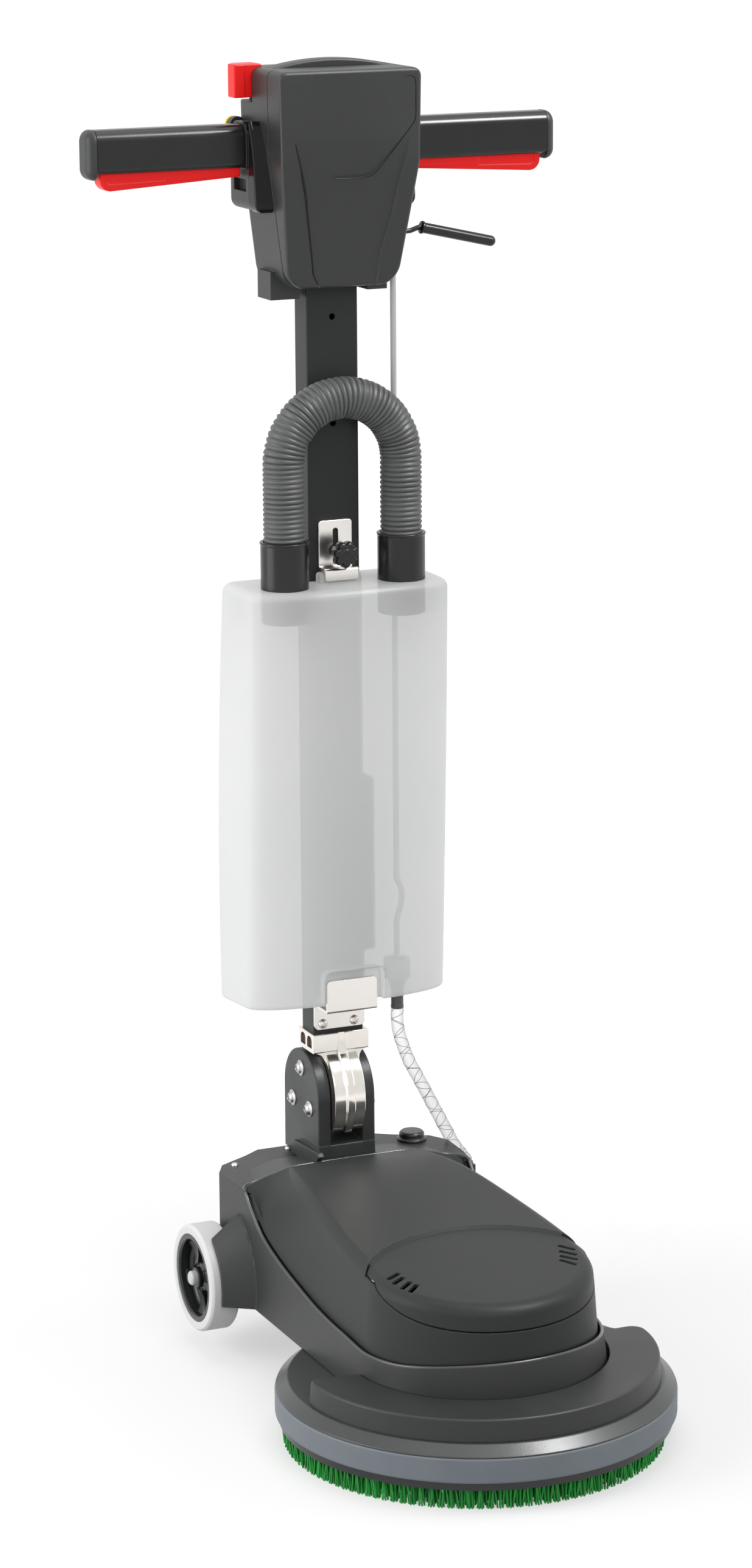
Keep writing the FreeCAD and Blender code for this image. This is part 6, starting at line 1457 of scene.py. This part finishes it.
# Wheels: a crowned tyre on a dished hub with five ribs, and a cap on the axle
wheel = dict(
    axle=(297.0, 71.7), inner=123.0, width=28.0,
    tyre=[(41.2, 0, 0), (48.0, 0, 1.4), (50.0, 2.4, 1.8), (50.0, 25.6, 1.8), (48.0, 28, 1.4), (41.2, 28, 0.6)],
    hub=[(10.5, 1.5, 0), (13, 1.5, 0.6), (13.6, 8, 1), (30, 9.5, 4), (35.4, 2, 1), (36, 0.4, 0.4), (41, 0.4, 0.6),
         (41, 27.4, 0.6), (36.6, 27.4, 0.6), (35.6, 25.6, 0.6), (34.4, 14.4, 4), (24, 13.0, 6), (14.6, 15.6, 2),
         (13.0, 19.4, 0.8), (9.6, 20.0, 0.4), (9.3, 24.8, 0.8), (7.2, 25.1, 0.4), (7.0, 23.4, 0)],
    rib=[(12.6, 22.0, 3.4), (20.0, 19.6, 4.4), (28.0, 18.8, 5.6), (35.6, 21.0, 7.4)],
    cap=[(0, 0.4, 0), (6.8, 0.4, 0), (6.8, 5.4, 1.6), (5.2, 7.0, 1.6), (0, 7.4, 0)], capStart=24.4,
)


def makeWheel(side, word, spec):
    at, first = spec["axle"], side * spec["inner"]

    def outward(profile, start=0.0):
        return [(radius, first + side * (start + across)) for radius, across in roundedLine(profile, 4)]

    standFor(turned(word + "Tyre", outward(spec["tyre"]), at, "X", steps=96), word + "_tyre")
    parts = [turned("hubForm", outward(spec["hub"]), at, "X", steps=80)]
    for number in range(5):
        turn = math.radians(number * 72 + 126)
        out, aside = (Vector((math.cos(a), math.sin(a))) for a in (turn, turn + math.pi / 2))
        rings = []
        for radius, high, half in spec["rib"]:
            middle = Vector(at) + out * radius
            ring = []
            for share, level in ((-1, 9.0), (-1, high - 1.2), (-0.75, high), (0.75, high), (1, high - 1.2),
                (1, 9.0)):
                spot = middle + aside * half * share
                ring.append((first + side * level, spot.x, spot.y))
            rings.append(ring)
        parts.append(loft("hubRib", rings))
    standFor(joined(word + "Hub", *parts), word + "_hub", smooth=34)
    cap = turned(word + "AxleCap", outward(spec["cap"], spec["capStart"] - 0.4), at, "X", steps=40)
    standFor(cap, word + "_axle_cap")


for side, word in ((-1, "left"), (1, "right")):
    makeWheel(side, word, wheel)
print("wheels made")

# Arch hose over the tank: a ribbed tube that follows its line
archHose = dict(halfSpan=57.3, y=279.5, legBottom=720.0, arcHeight=829.5, radius=19.0, ribPitch=4.5, ribDepth=2.3)


def makeArchHose(spec):
    tree, start, end = newTree("ribbedTube", [
        ("Radius", "NodeSocketFloat", 0.019), ("Rib Pitch", "NodeSocketFloat", 0.0045),
        ("Rib Depth", "NodeSocketFloat", 0.002), ("Rings", "NodeSocketInt", 700),
        ("Sides", "NodeSocketInt", 40), ("Finish", "NodeSocketMaterial", None),
    ])
    take = start.outputs
    line = addNode(tree, "GeometryNodeMeshToCurve", {"Mesh": take["Geometry"]})
    fine = addNode(tree, "GeometryNodeResampleCurve", {"Curve": line.outputs[0], "Count": take["Rings"]},
                   mode="COUNT")
    along = addNode(tree, "GeometryNodeSplineParameter")
    phase = mathNode(tree, "DIVIDE", along.outputs["Length"], take["Rib Pitch"])
    sine = addNode(tree, "ShaderNodeMath", {0: mathNode(tree, "MULTIPLY", phase, math.pi)}, operation="SINE")
    high = addNode(tree, "ShaderNodeMath", {0: sine.outputs[0]}, operation="ABSOLUTE")
    drop = mathNode(tree, "SUBTRACT", 1.0, mathNode(tree, "POWER", high.outputs[0], 0.55))
    reach = mathNode(tree, "SUBTRACT", take["Radius"], mathNode(tree, "MULTIPLY", drop, take["Rib Depth"]))
    sized = addNode(tree, "GeometryNodeSetCurveRadius", {"Curve": fine.outputs[0], "Radius": reach})
    ring = addNode(tree, "GeometryNodeCurvePrimitiveCircle", {"Resolution": take["Sides"], "Radius": 1.0})
    skin = addNode(tree, "GeometryNodeCurveToMesh", {
        "Curve": sized.outputs[0], "Profile Curve": ring.outputs[0], "Fill Caps": True})
    if "Scale" in skin.inputs:
        tree.links.new(reach, skin.inputs["Scale"])
    endTree(tree, skin.outputs[0], take["Finish"], end)
    half, y, high = spec["halfSpan"], spec["y"], spec["arcHeight"]
    path = [(-half, y, spec["legBottom"])]
    path += [(-half * math.cos(a), y, high + half * math.sin(a)) for a in (math.pi * k / 32 for k in range(33))]
    path += [(half, y, spec["legBottom"])]
    obj = makeObject("archHose", path, [], [(k, k + 1) for k in range(len(path) - 1)])
    runTree(obj, tree, {
        "Radius": spec["radius"] / 1000, "Rib Pitch": spec["ribPitch"] / 1000,
        "Rib Depth": spec["ribDepth"] / 1000, "Finish": materials["hoseGrey"]})
    tidyMesh(obj)
    standFor(obj, "arch_hose", smooth=70)


makeArchHose(archHose)

cuffs = dict(
    spots=[("left_cuff", -57.3), ("right_cuff", 57.3)], y=279.5,
    profile=[(19.1, 687, 0), (21.75, 687, 0.8), (21.75, 757.5, 0), (21.9, 758.5, 0.4), (22.4, 759.5, 0.8),
             (22.4, 761, 0.9), (19.3, 761, 0.7)],
)


def makeCuffs(spec):
    for node, x in spec["spots"]:
        obj = turned(node.replace("_c", "C"), roundedLine(spec["profile"], 4), (x, spec["y"]), steps=72)
        standFor(obj, node)


makeCuffs(cuffs)

# Clip at the column's front with its star knob
clip = dict(
    halfWidth=16.4, bottom=727.9, top=773.0, front=296.95, back=299.95, corner=2.6, slotHalf=2.6,
    slotTop=765.8, slotBottom=733.8, lipFront=282.45, lipBack=284.45, lipTop=731.0, lipBottom=720.0,
)


def makeClip(spec):
    half, slot = spec["halfWidth"], spec["slotHalf"]
    plate = roundedLine([
        (-half, spec["bottom"], 0), (half, spec["bottom"], 0),
        (half, spec["top"], spec["corner"]), (-half, spec["top"], spec["corner"])])
    sheet = prism("clipSheet", plate, "Y", spec["front"], spec["back"], edge=0.5)
    hole = roundedLine([
        (-slot, spec["slotBottom"], 0), (slot, spec["slotBottom"], 0),
        (slot, spec["slotTop"], slot * 0.98), (-slot, spec["slotTop"], slot * 0.98)])
    carve(sheet, prism("clipHole", hole, "Y", spec["front"] - 5, spec["back"] + 5))
    side = [(spec["lipFront"], spec["lipBottom"], 0), (spec["lipBack"], spec["lipBottom"], 0),
            (spec["lipBack"], spec["bottom"], 1.2), (spec["back"], spec["bottom"], 2.6),
            (spec["back"], spec["bottom"] + 4, 0), (spec["front"], spec["bottom"] + 4, 0),
            (spec["front"], spec["lipTop"], 1.0), (spec["lipFront"], spec["lipTop"], 2.6)]
    lip = prism("clipLip", roundedLine(side, 4), "X", -half, half, edge=0.4)
    corner = roundedLine([(-half, spec["lipBottom"], 3.0), (half, spec["lipBottom"], 3.0), (half, spec["top"], 0),
        (-half, spec["top"], 0)])
    carve(lip, prism("clipCorner", corner, "Y", spec["lipFront"] - 5, spec["back"] + 5), "INTERSECT")
    carve(sheet, lip, "UNION")
    sheet.name = "clipPlate"
    standFor(sheet, "tank_clip")


makeClip(clip)

starKnob = dict(y=(269.9, 281.9), z=745.0, radius=12.5, lobes=7, dip=2.1, capRadius=5.4, collarRadius=5.6,
                collarEnd=294.5, stemRadius=2.5, stemEnd=299.5)


def makeStarKnob(spec):
    front, back = spec["y"]

    def star(inset):
        points = []
        for step in range(112):
            angle = 2 * math.pi * step / 112
            wave = abs(math.sin(angle * spec["lobes"] / 2)) ** 0.7
            radius = spec["radius"] - spec["dip"] * (1 - wave) * 1.4 - inset
            points.append((radius * math.sin(angle), spec["z"] + radius * math.cos(angle)))
        return points

    levels = [(back, 2.4), (back - 1.4, 0.7), (back - 3.5, 0), (front + 4.0, 0), (front + 2.0, 0.6),
              (front + 0.8, 1.9), (front + 0.4, 3.4)]
    body = loft("knobBody", [[(x, y, z) for x, z in star(inset)] for y, inset in levels])
    cap = turned("knobCap", [(0, front + 2), (spec["capRadius"], front + 2), (spec["capRadius"], front + 0.9),
        (spec["capRadius"] - 0.6, front + 0.1), (spec["capRadius"] * 0.5, front - 0.15),
        (0, front - 0.2)], (0, spec["z"]), "Y", 48)
    stem = turned("knobStem", [(0, back - 1), (spec["collarRadius"], back - 1),
        (spec["collarRadius"], spec["collarEnd"]), (spec["stemRadius"], spec["collarEnd"]),
        (spec["stemRadius"], spec["stemEnd"]), (0, spec["stemEnd"])], (0, spec["z"]), "Y", 32)
    standFor(joined("starKnob", body, cap, stem), "star_knob", smooth=40)


makeStarKnob(starKnob)
print("hose, cuffs, clip and knob made")

# Head: front shell with its creases, carrying rib, cheeks, grips and controls
head = dict(
    top=1179.0, kink=1097.0, bottom=986.0, split=282.0, front=252.0, slope=0.1937, footHalf=53.0,
    waistHalf=66.5, topHalf=68.0, footCorner=18.0, topCorner=8.0, edge=3.6, recess=3.0, lip=1.3,
    leftCrease=[(986, -22), (989.5, -25.5), (998.5, -30.7), (1013, -33.1), (1053, -40.3), (1072, -43.5),
                (1114, -54), (1119, -55), (1179, -56)],
    rightCrease=[(985.5, 31.3), (996.6, 33.1), (1018, 34.9), (1049, 43.8), (1109, 53.5), (1119, 55.5), (1179, 57)],
    panelLine=[(53.0, 1171.6), (58.5, 1171.2), (61.4, 1167.0), (61.6, 1150.0), (61.4, 1136.0), (58.5, 1129.5),
               (48.4, 1117.5), (38.0, 1105.3), (27.6, 1093.2), (21.8, 1087.2), (13.8, 1084.6), (-2, 1084.2),
               (-16, 1084.2)],
    grooveRadius=0.5,
)


def headHalf(spec, z):
    half = along([(spec["bottom"], spec["footHalf"]), (spec["kink"], spec["waistHalf"]),
                  (spec["top"], spec["topHalf"])], z)
    for corner, rest in ((spec["footCorner"], z - spec["bottom"]), (spec["topCorner"], spec["top"] - z)):
        if rest < corner:
            half -= corner - math.sqrt(max(0.0, corner**2 - (corner - rest)**2))
    return half


def headFace(spec, z):
    away, blend = spec["kink"] - z, 9.0
    lean = 0.0 if away < -blend else away if away > blend else (away + blend)**2 / (4 * blend)
    y, edge = spec["front"] + spec["slope"] * lean, spec["edge"]
    for rest in (z - spec["bottom"], spec["top"] - z):
        if rest < edge:
            y += edge - math.sqrt(max(0.0, edge**2 - (edge - rest)**2))
    return y


def headLevels(spec):
    turns = quarter(7)
    levels = [spec["bottom"] + spec["footCorner"] * (1 - math.cos(turn)) for turn in turns]
    levels += [spec["bottom"] + spec["edge"] * (1 - math.cos(turn)) for turn in turns[1:]]
    levels += [spec["top"] - spec["topCorner"] * (1 - math.cos(turn)) for turn in turns]
    levels += [spec["top"] - spec["edge"] * (1 - math.cos(turn)) for turn in turns[1:]]
    level = spec["bottom"] + spec["footCorner"] + 2
    while level < spec["top"] - spec["topCorner"]:
        levels.append(level)
        level += 3.0
    return sorted(set(round(level, 3) for level in levels))


def makeHeadFront(spec):
    rings = []
    for z in headLevels(spec):
        half, y, edge = headHalf(spec, z), headFace(spec, z), spec["edge"]
        deep = along([(986, 1.0), (1010, 1.7), (1045, 2.7), (1080, spec["recess"]), (1102, 1.6), (1118.5, 0.0),
                      (1179, 0.0)], z)
        left, right = along(spec["leftCrease"], z), along(spec["rightCrease"], z)
        turns = quarter(4)
        sideL = [(-half + edge * (1 - math.cos(t)), y + edge * (1 - math.sin(t))) for t in turns]
        sideR = [(half - edge * (1 - math.cos(t)), y + edge * (1 - math.sin(t))) for t in reversed(turns)]
        groove = [(half - spec["lip"], spec["split"]), (half - spec["lip"], spec["split"] - 1.0),
                  (half, spec["split"] - spec["lip"])]
        line = [(-x, length) for x, length in groove] + sideL
        line += [(left, y), (left + 1.25 * deep, y + deep), (left + 12, y + deep)]
        line += [((left + right) / 2, y + deep), (right - 12, y + deep)]
        line += [(right - 0.6 * deep, y + deep), (right + 0.1, y)] + sideR + groove[::-1]
        rings.append([(x, min(length, spec["split"]), z) for x, length in line])
    obj = loft("headFront", rings)
    groove = [(x, headFace(spec, z) - 0.05, z) for x, z in spec["panelLine"]]
    carve(obj, tube("panelGroove", smoothLine(groove, 3), spec["grooveRadius"], 8))
    standFor(obj, "head_front", finish="headPlastic", smooth=24)


makeHeadFront(head)

# dark shadow lines in the left crease, the panel line and the split to the housing
creaseShadeWidths = [(986, 0.5), (1013, 0.8), (1053, 1.2), (1080, 1.5), (1102, 0.9), (1118, 0.3)]
levels = [990 + 8 * k for k in range(17)]
creaseShadePath = [(along(head["leftCrease"], z) + 1.0, headFace(head, z) + 0.3, z) for z in levels]
shadeLines = [tube("leftCrease", creaseShadePath, [along(creaseShadeWidths, z) for z in levels], 8)]
shadeLines.append(tube("panelShade", smoothLine([(x, headFace(head, z) + 0.12, z) for x, z in head["panelLine"]], 3),
                    0.42, 6))
for side in (-1, 1):
    path = [(side * (headHalf(head, z) - 0.75), head["split"], z)
            for z in [head["bottom"] + 3 + 5 * k for k in range(38)]]
    shadeLines.append(tube("splitShade", path, 0.62, 6))
dress(joined("headShades", *shadeLines), "handle", "gloss_black", "cheekBlack")

carryRib = dict(half=57.0, rise=7.0, front=296.0, back=315.0, foot=1178.6, edge=2.2, steps=40)


def makeCarryRib(spec):
    half, rise = spec["half"], spec["rise"]
    radius = (half**2 + rise**2) / (2 * rise)
    rings = []
    for step in range(spec["steps"] + 1):
        x = -half + 2 * half * step / spec["steps"]
        z = spec["foot"] + 0.4 + math.sqrt(radius**2 - x**2) - (radius - rise)
        edge = min(spec["edge"], (z - spec["foot"]) * 0.9)
        turns = quarter(4)
        line = [(spec["front"], spec["foot"])]
        line += [(spec["front"] + edge * (1 - math.cos(t)), z - edge * (1 - math.sin(t))) for t in turns]
        line += [(spec["back"] - edge * (1 - math.cos(t)), z - edge * (1 - math.sin(t))) for t in reversed(turns)]
        line += [(spec["back"], spec["foot"])]
        rings.append([(x, y, level) for y, level in line])
    standFor(loft("carryRib", rings), "carry_rib")


makeCarryRib(carryRib)

cheek = dict(
    inner=66.2, reach=77.4, back=303.0, round=2.6,
    outerCourse=[(1053, 287), (1093, 291.5), (1116, 296.5), (1127, 300), (1133.5, 302.5)],
    innerCourse=[(1053, 283), (1093, 284), (1108, 287.5), (1118, 292.5), (1127, 299), (1133.5, 302)],
    bottom=1053.2, top=1133.0, footCorner=9, browCorner=4, collarReach=79.8,
    collar=[(302.5, 1091, 4), (338, 1091, 4), (338, 1132.6, 11), (302.5, 1132.6, 11)],
    slitHighlight=[(74.6, 1133.0), (74.6, 1129), (73.8, 1122), (73.0, 1112), (72.8, 1101)],
)


def makeCheeks(spec):
    foot, brow = spec["footCorner"], spec["browCorner"]
    for word, side in (("left", -1), ("right", 1)):
        rings, low, high = [], spec["bottom"], spec["top"]
        turns = quarter(5)
        levels = [low + foot * (1 - math.cos(t)) for t in turns] + [low + 14 + 8 * k for k in range(7)]
        levels += [high - brow * (1 - math.cos(t)) for t in reversed(turns)]
        for z in levels:
            shrink = 0
            for corner, rest in ((foot, z - low), (brow, high - z)):
                if rest < corner:
                    shrink += corner - math.sqrt(corner**2 - (corner - rest)**2)
            out, into = along(spec["outerCourse"], z) + shrink * 0.6, along(spec["innerCourse"], z) + shrink
            reach = spec["reach"] - shrink * 0.8
            inner = min(spec["inner"], headHalf(head, z) - 0.4) if z < head["kink"] else spec["inner"]
            into, out = min(into, spec["back"] - 0.4), min(out, spec["back"] - 0.4)
            line = roundedLine([(inner, spec["back"], 0), (reach, spec["back"], 0),
                (reach, out, min(spec["round"], (spec["back"] - out) * 0.45)), (inner, into, 0)], 5)
            rings.append([(side * x, y, z) for x, y in line])
        parts = [loft("cheekPad", rings)]
        line = roundedLine(spec["collar"], 8)
        parts.append(prism("gripCollar", line, "X", *sorted((side * 66.5, side * spec["collarReach"])), edge=1.6))
        standFor(joined(word + "Cheek", *parts), word + "_cheek", finish="cheekBlack")
        # a light grey thread on the cheek's outer face: a painted highlight line along the edge of its slit
        course = [(side * x, along(spec["outerCourse"], z) + 0.1, z) for x, z in spec["slitHighlight"]]
        dress(tube(word + "CheekSlitHighlight", smoothLine(course, 4), 0.4, 6), "handle", "gloss_black", "threadGrey")


makeCheeks(cheek)

grip = dict(
    front=307.0, back=336.0, bottom=1092.2, top=1130.2, inner=64.5, reach=217.0, corner=10.0,
    slotHalf=9.0, slotInner=79.5, slotOuter=215.0, slotTop=1126.0,
    capDrop=5.5, capGrow=0.3,
)


def makeGrips(spec):
    low, high, front, back = spec["bottom"], spec["top"], spec["front"], spec["back"]
    middle, corner = (front + back) / 2, spec["corner"]
    for word, side in (("left", -1), ("right", 1)):
        line = roundedLine([(front, low, 5.0), (back, low, 5.0), (back, high, corner), (front, high, corner)], 9)
        ends = sorted((side * spec["inner"], side * spec["reach"]))
        body = prism(word + "Grip", line, "X", *ends)
        room = [(middle - spec["slotHalf"], low - 3), (middle + spec["slotHalf"], low - 3),
                (middle + spec["slotHalf"], spec["slotTop"]), (middle - spec["slotHalf"], spec["slotTop"])]
        carve(body, prism("gripSlot", room, "X", *sorted((side * spec["slotInner"], side * spec["slotOuter"]))))
        standFor(body, word + "_grip")
        grow, drop = spec["capGrow"], spec["capDrop"]
        line = roundedLine([(front - grow, low - drop, 9.5), (back + grow, low - drop, 9.5),
            (back + grow, high + grow, 11.0), (front - grow, high + grow, 11.0)], 9)
        levels = [(0.0, 0.9), (0.4, 0.2), (1.0, 0.0)]
        levels += [(1.0 + 8.0 * math.sin(t), 9.0 * (1 - math.cos(t))) for t in quarter(9)[1:]]
        rings = [[(side * (spec["reach"] + out), y, z) for y, z in insetLine(line, inset)] for out, inset in levels]
        standFor(loft(word + "EndCap", rings), word + "_end_cap", smooth=60)


makeGrips(grip)

trigger = dict(
    inner=81.0, outer=213.0, halfDepth=8.0, middle=321.5, top=1097.2, bottomInner=1084.2, bottomOuter=1076.2,
    turn=10.0, edge=1.3, ledgeTop=1092.0,
)


def makeTriggers(spec):
    for word, side in (("left", -1), ("right", 1)):
        corners = [(spec["inner"], spec["bottomInner"], 1.0), (spec["outer"], spec["bottomOuter"], spec["turn"]),
                   (spec["outer"], spec["top"], 0), (spec["inner"], spec["top"], 0)]
        line = [(side * x, z) for x, z in roundedLine(corners, 9)]
        blade = prism(word + "Trigger", line, "Y", spec["middle"] - spec["halfDepth"],
                      spec["middle"] + spec["halfDepth"], edge=spec["edge"], steps=4)
        ledge = [(spec["outer"] - 62, spec["ledgeTop"] - 8), (spec["outer"] - 10, spec["bottomOuter"] + 6.5),
                 (spec["outer"] - 6, spec["bottomOuter"] + 8), (spec["outer"] - 6, spec["top"] + 4),
                 (spec["outer"] - 62, spec["top"] + 4)]
        face = spec["middle"] - spec["halfDepth"]
        carve(blade, prism("triggerLedge", [(side * x, z) for x, z in ledge], "Y", face - 4, face + 0.7))
        standFor(blade, word + "_trigger", smooth=40)


makeTriggers(trigger)

release = dict(
    outer=84.0, inner=57.6, front=318.0, back=342.0, bottom=1152.6, top=1182.0, corner=3.0, facet=7.5, edge=1.4,
)


def makeRelease(spec):
    a, b = -spec["outer"], -spec["inner"]
    plan = [(a, spec["front"], 1.6), (a + 9.5, spec["front"], 0), (a + 11, spec["front"] + 1.0, 0),
            (b, spec["front"] + 1.0, 0), (b, spec["back"], 2.0), (a + spec["facet"], spec["back"] - 1, 2.0),
            (a, spec["back"] - 9, 2.5)]
    obj = prism("releaseLever", roundedLine(plan, 5), "Z", spec["bottom"], spec["top"], edge=spec["edge"], steps=4)
    standFor(obj, "release_lever", smooth=28)


makeRelease(release)

button = dict(x=-73.0, z=1127.5, stemStart=342.0, headStart=349.2, headEnd=353.2, stemRadius=4.0, radius=7.0)


def makeButton(spec):
    profile = roundedLine([
        (0, spec["stemStart"], 0), (spec["stemRadius"], spec["stemStart"], 0.5),
        (spec["stemRadius"], spec["headStart"], 0), (spec["radius"], spec["headStart"], 0.6),
        (spec["radius"], spec["headEnd"], 1.6), (0, spec["headEnd"] - 0.5, 0)], 4)
    standFor(turned("safetyButton", profile, (spec["x"], spec["z"]), "Y", 40), "safety_button")


makeButton(button)

# Lever beside the head: a bent wire with a thick sleeve
lever = dict(
    y=305.0, wire=[(31, 1029), (60, 1029), (77, 1029), (83, 1030.4), (89, 1032), (97, 1031)], wireRadius=2.3,
    start=(89.5, 1031.9), end=(163.5, 1014.9), radius=4.9, flange=5.9,
)


def makeLever(spec):
    y = spec["y"]
    wire = tube("leverWire", smoothLine([(x, y, z) for x, z in spec["wire"]], 4), spec["wireRadius"], 14)
    standFor(wire, "lever_wire", finish="glossBlack")
    start, end = (Vector((x, y, z)) for x, z in (spec["start"], spec["end"]))
    length, way, radius = (end - start).length, (end - start).normalized(), spec["radius"]
    profile = [(-0.6, spec["wireRadius"]), (0.0, spec["flange"] - 0.5), (0.5, spec["flange"]),
               (2.0, spec["flange"]), (2.5, spec["flange"] - 0.5), (3.0, radius - 0.6), (4.0, radius),
               (length - radius, radius)]
    profile += [(length - radius * (1 - math.sin(a)), radius * math.cos(a)) for a in quarter(7)[1:-1]]
    profile += [(length, 0.3)]
    path = [start + way * far for far, _ in profile]
    standFor(tube("leverSleeve", path, [r for _, r in profile], 24), "lever_sleeve", smooth=40)


makeLever(lever)


# takes a CAD node as it stands, welds it, and rounds its edges
def softenNode(name, width, finish=None, cut=None):
    obj = makeObject(name.title().replace("_", ""), [], [])
    obj.data = nodes[name].data.copy()
    work = bmesh.new()
    work.from_mesh(obj.data)
    bmesh.ops.remove_doubles(work, verts=work.verts, dist=1e-5)
    bmesh.ops.dissolve_limit(work, angle_limit=math.radians(0.5), verts=work.verts, edges=work.edges)
    work.to_mesh(obj.data)
    work.free()
    if cut:
        carve(obj, cut)
    soften(obj, width, 2, 28)
    standFor(obj, name, finish=finish)


column = dict(
    half=25.0, front=300.0, back=328.0, low=291.0, top=1120.0, wall=2.5, corner=1.8,
    holes=[(957, 3.0), (861, 3.0), (745, 4.2)],
)


def makeColumn(spec):
    half, wall = spec["half"], spec["wall"]
    corners = [(-half, spec["front"]), (half, spec["front"]), (half, spec["back"]), (-half, spec["back"])]
    outer = roundedLine([(x, y, spec["corner"]) for x, y in corners], 4)
    body = prism("column", outer, "Z", spec["low"], spec["top"])
    carve(body, prism("columnRoom", insetLine(corners, wall), "Z", spec["low"] - 5, spec["top"] + 5))
    for z, radius in spec["holes"]:
        hole = turned("columnHole", [(0, spec["front"] - 2), (radius, spec["front"] - 2),
            (radius, spec["front"] + 5), (0, spec["front"] + 5)],
                      (0, z), "Y", steps=28)
        carve(body, hole)
    standFor(body, "column")


makeColumn(column)
spare = prism("blockSpare", [(-70, 960), (-59.2, 960), (-59.2, 1001), (-70, 1001)], "Y", 270, 370)
softenNode("head_housing", 0.9, cut=spare)
softenNode("head_back", 1.4)
softenNode("column_duct", 0.8)
softenNode("rear_plug", 0.9)
softenNode("hose_spigot", 0.9)
print("head made")
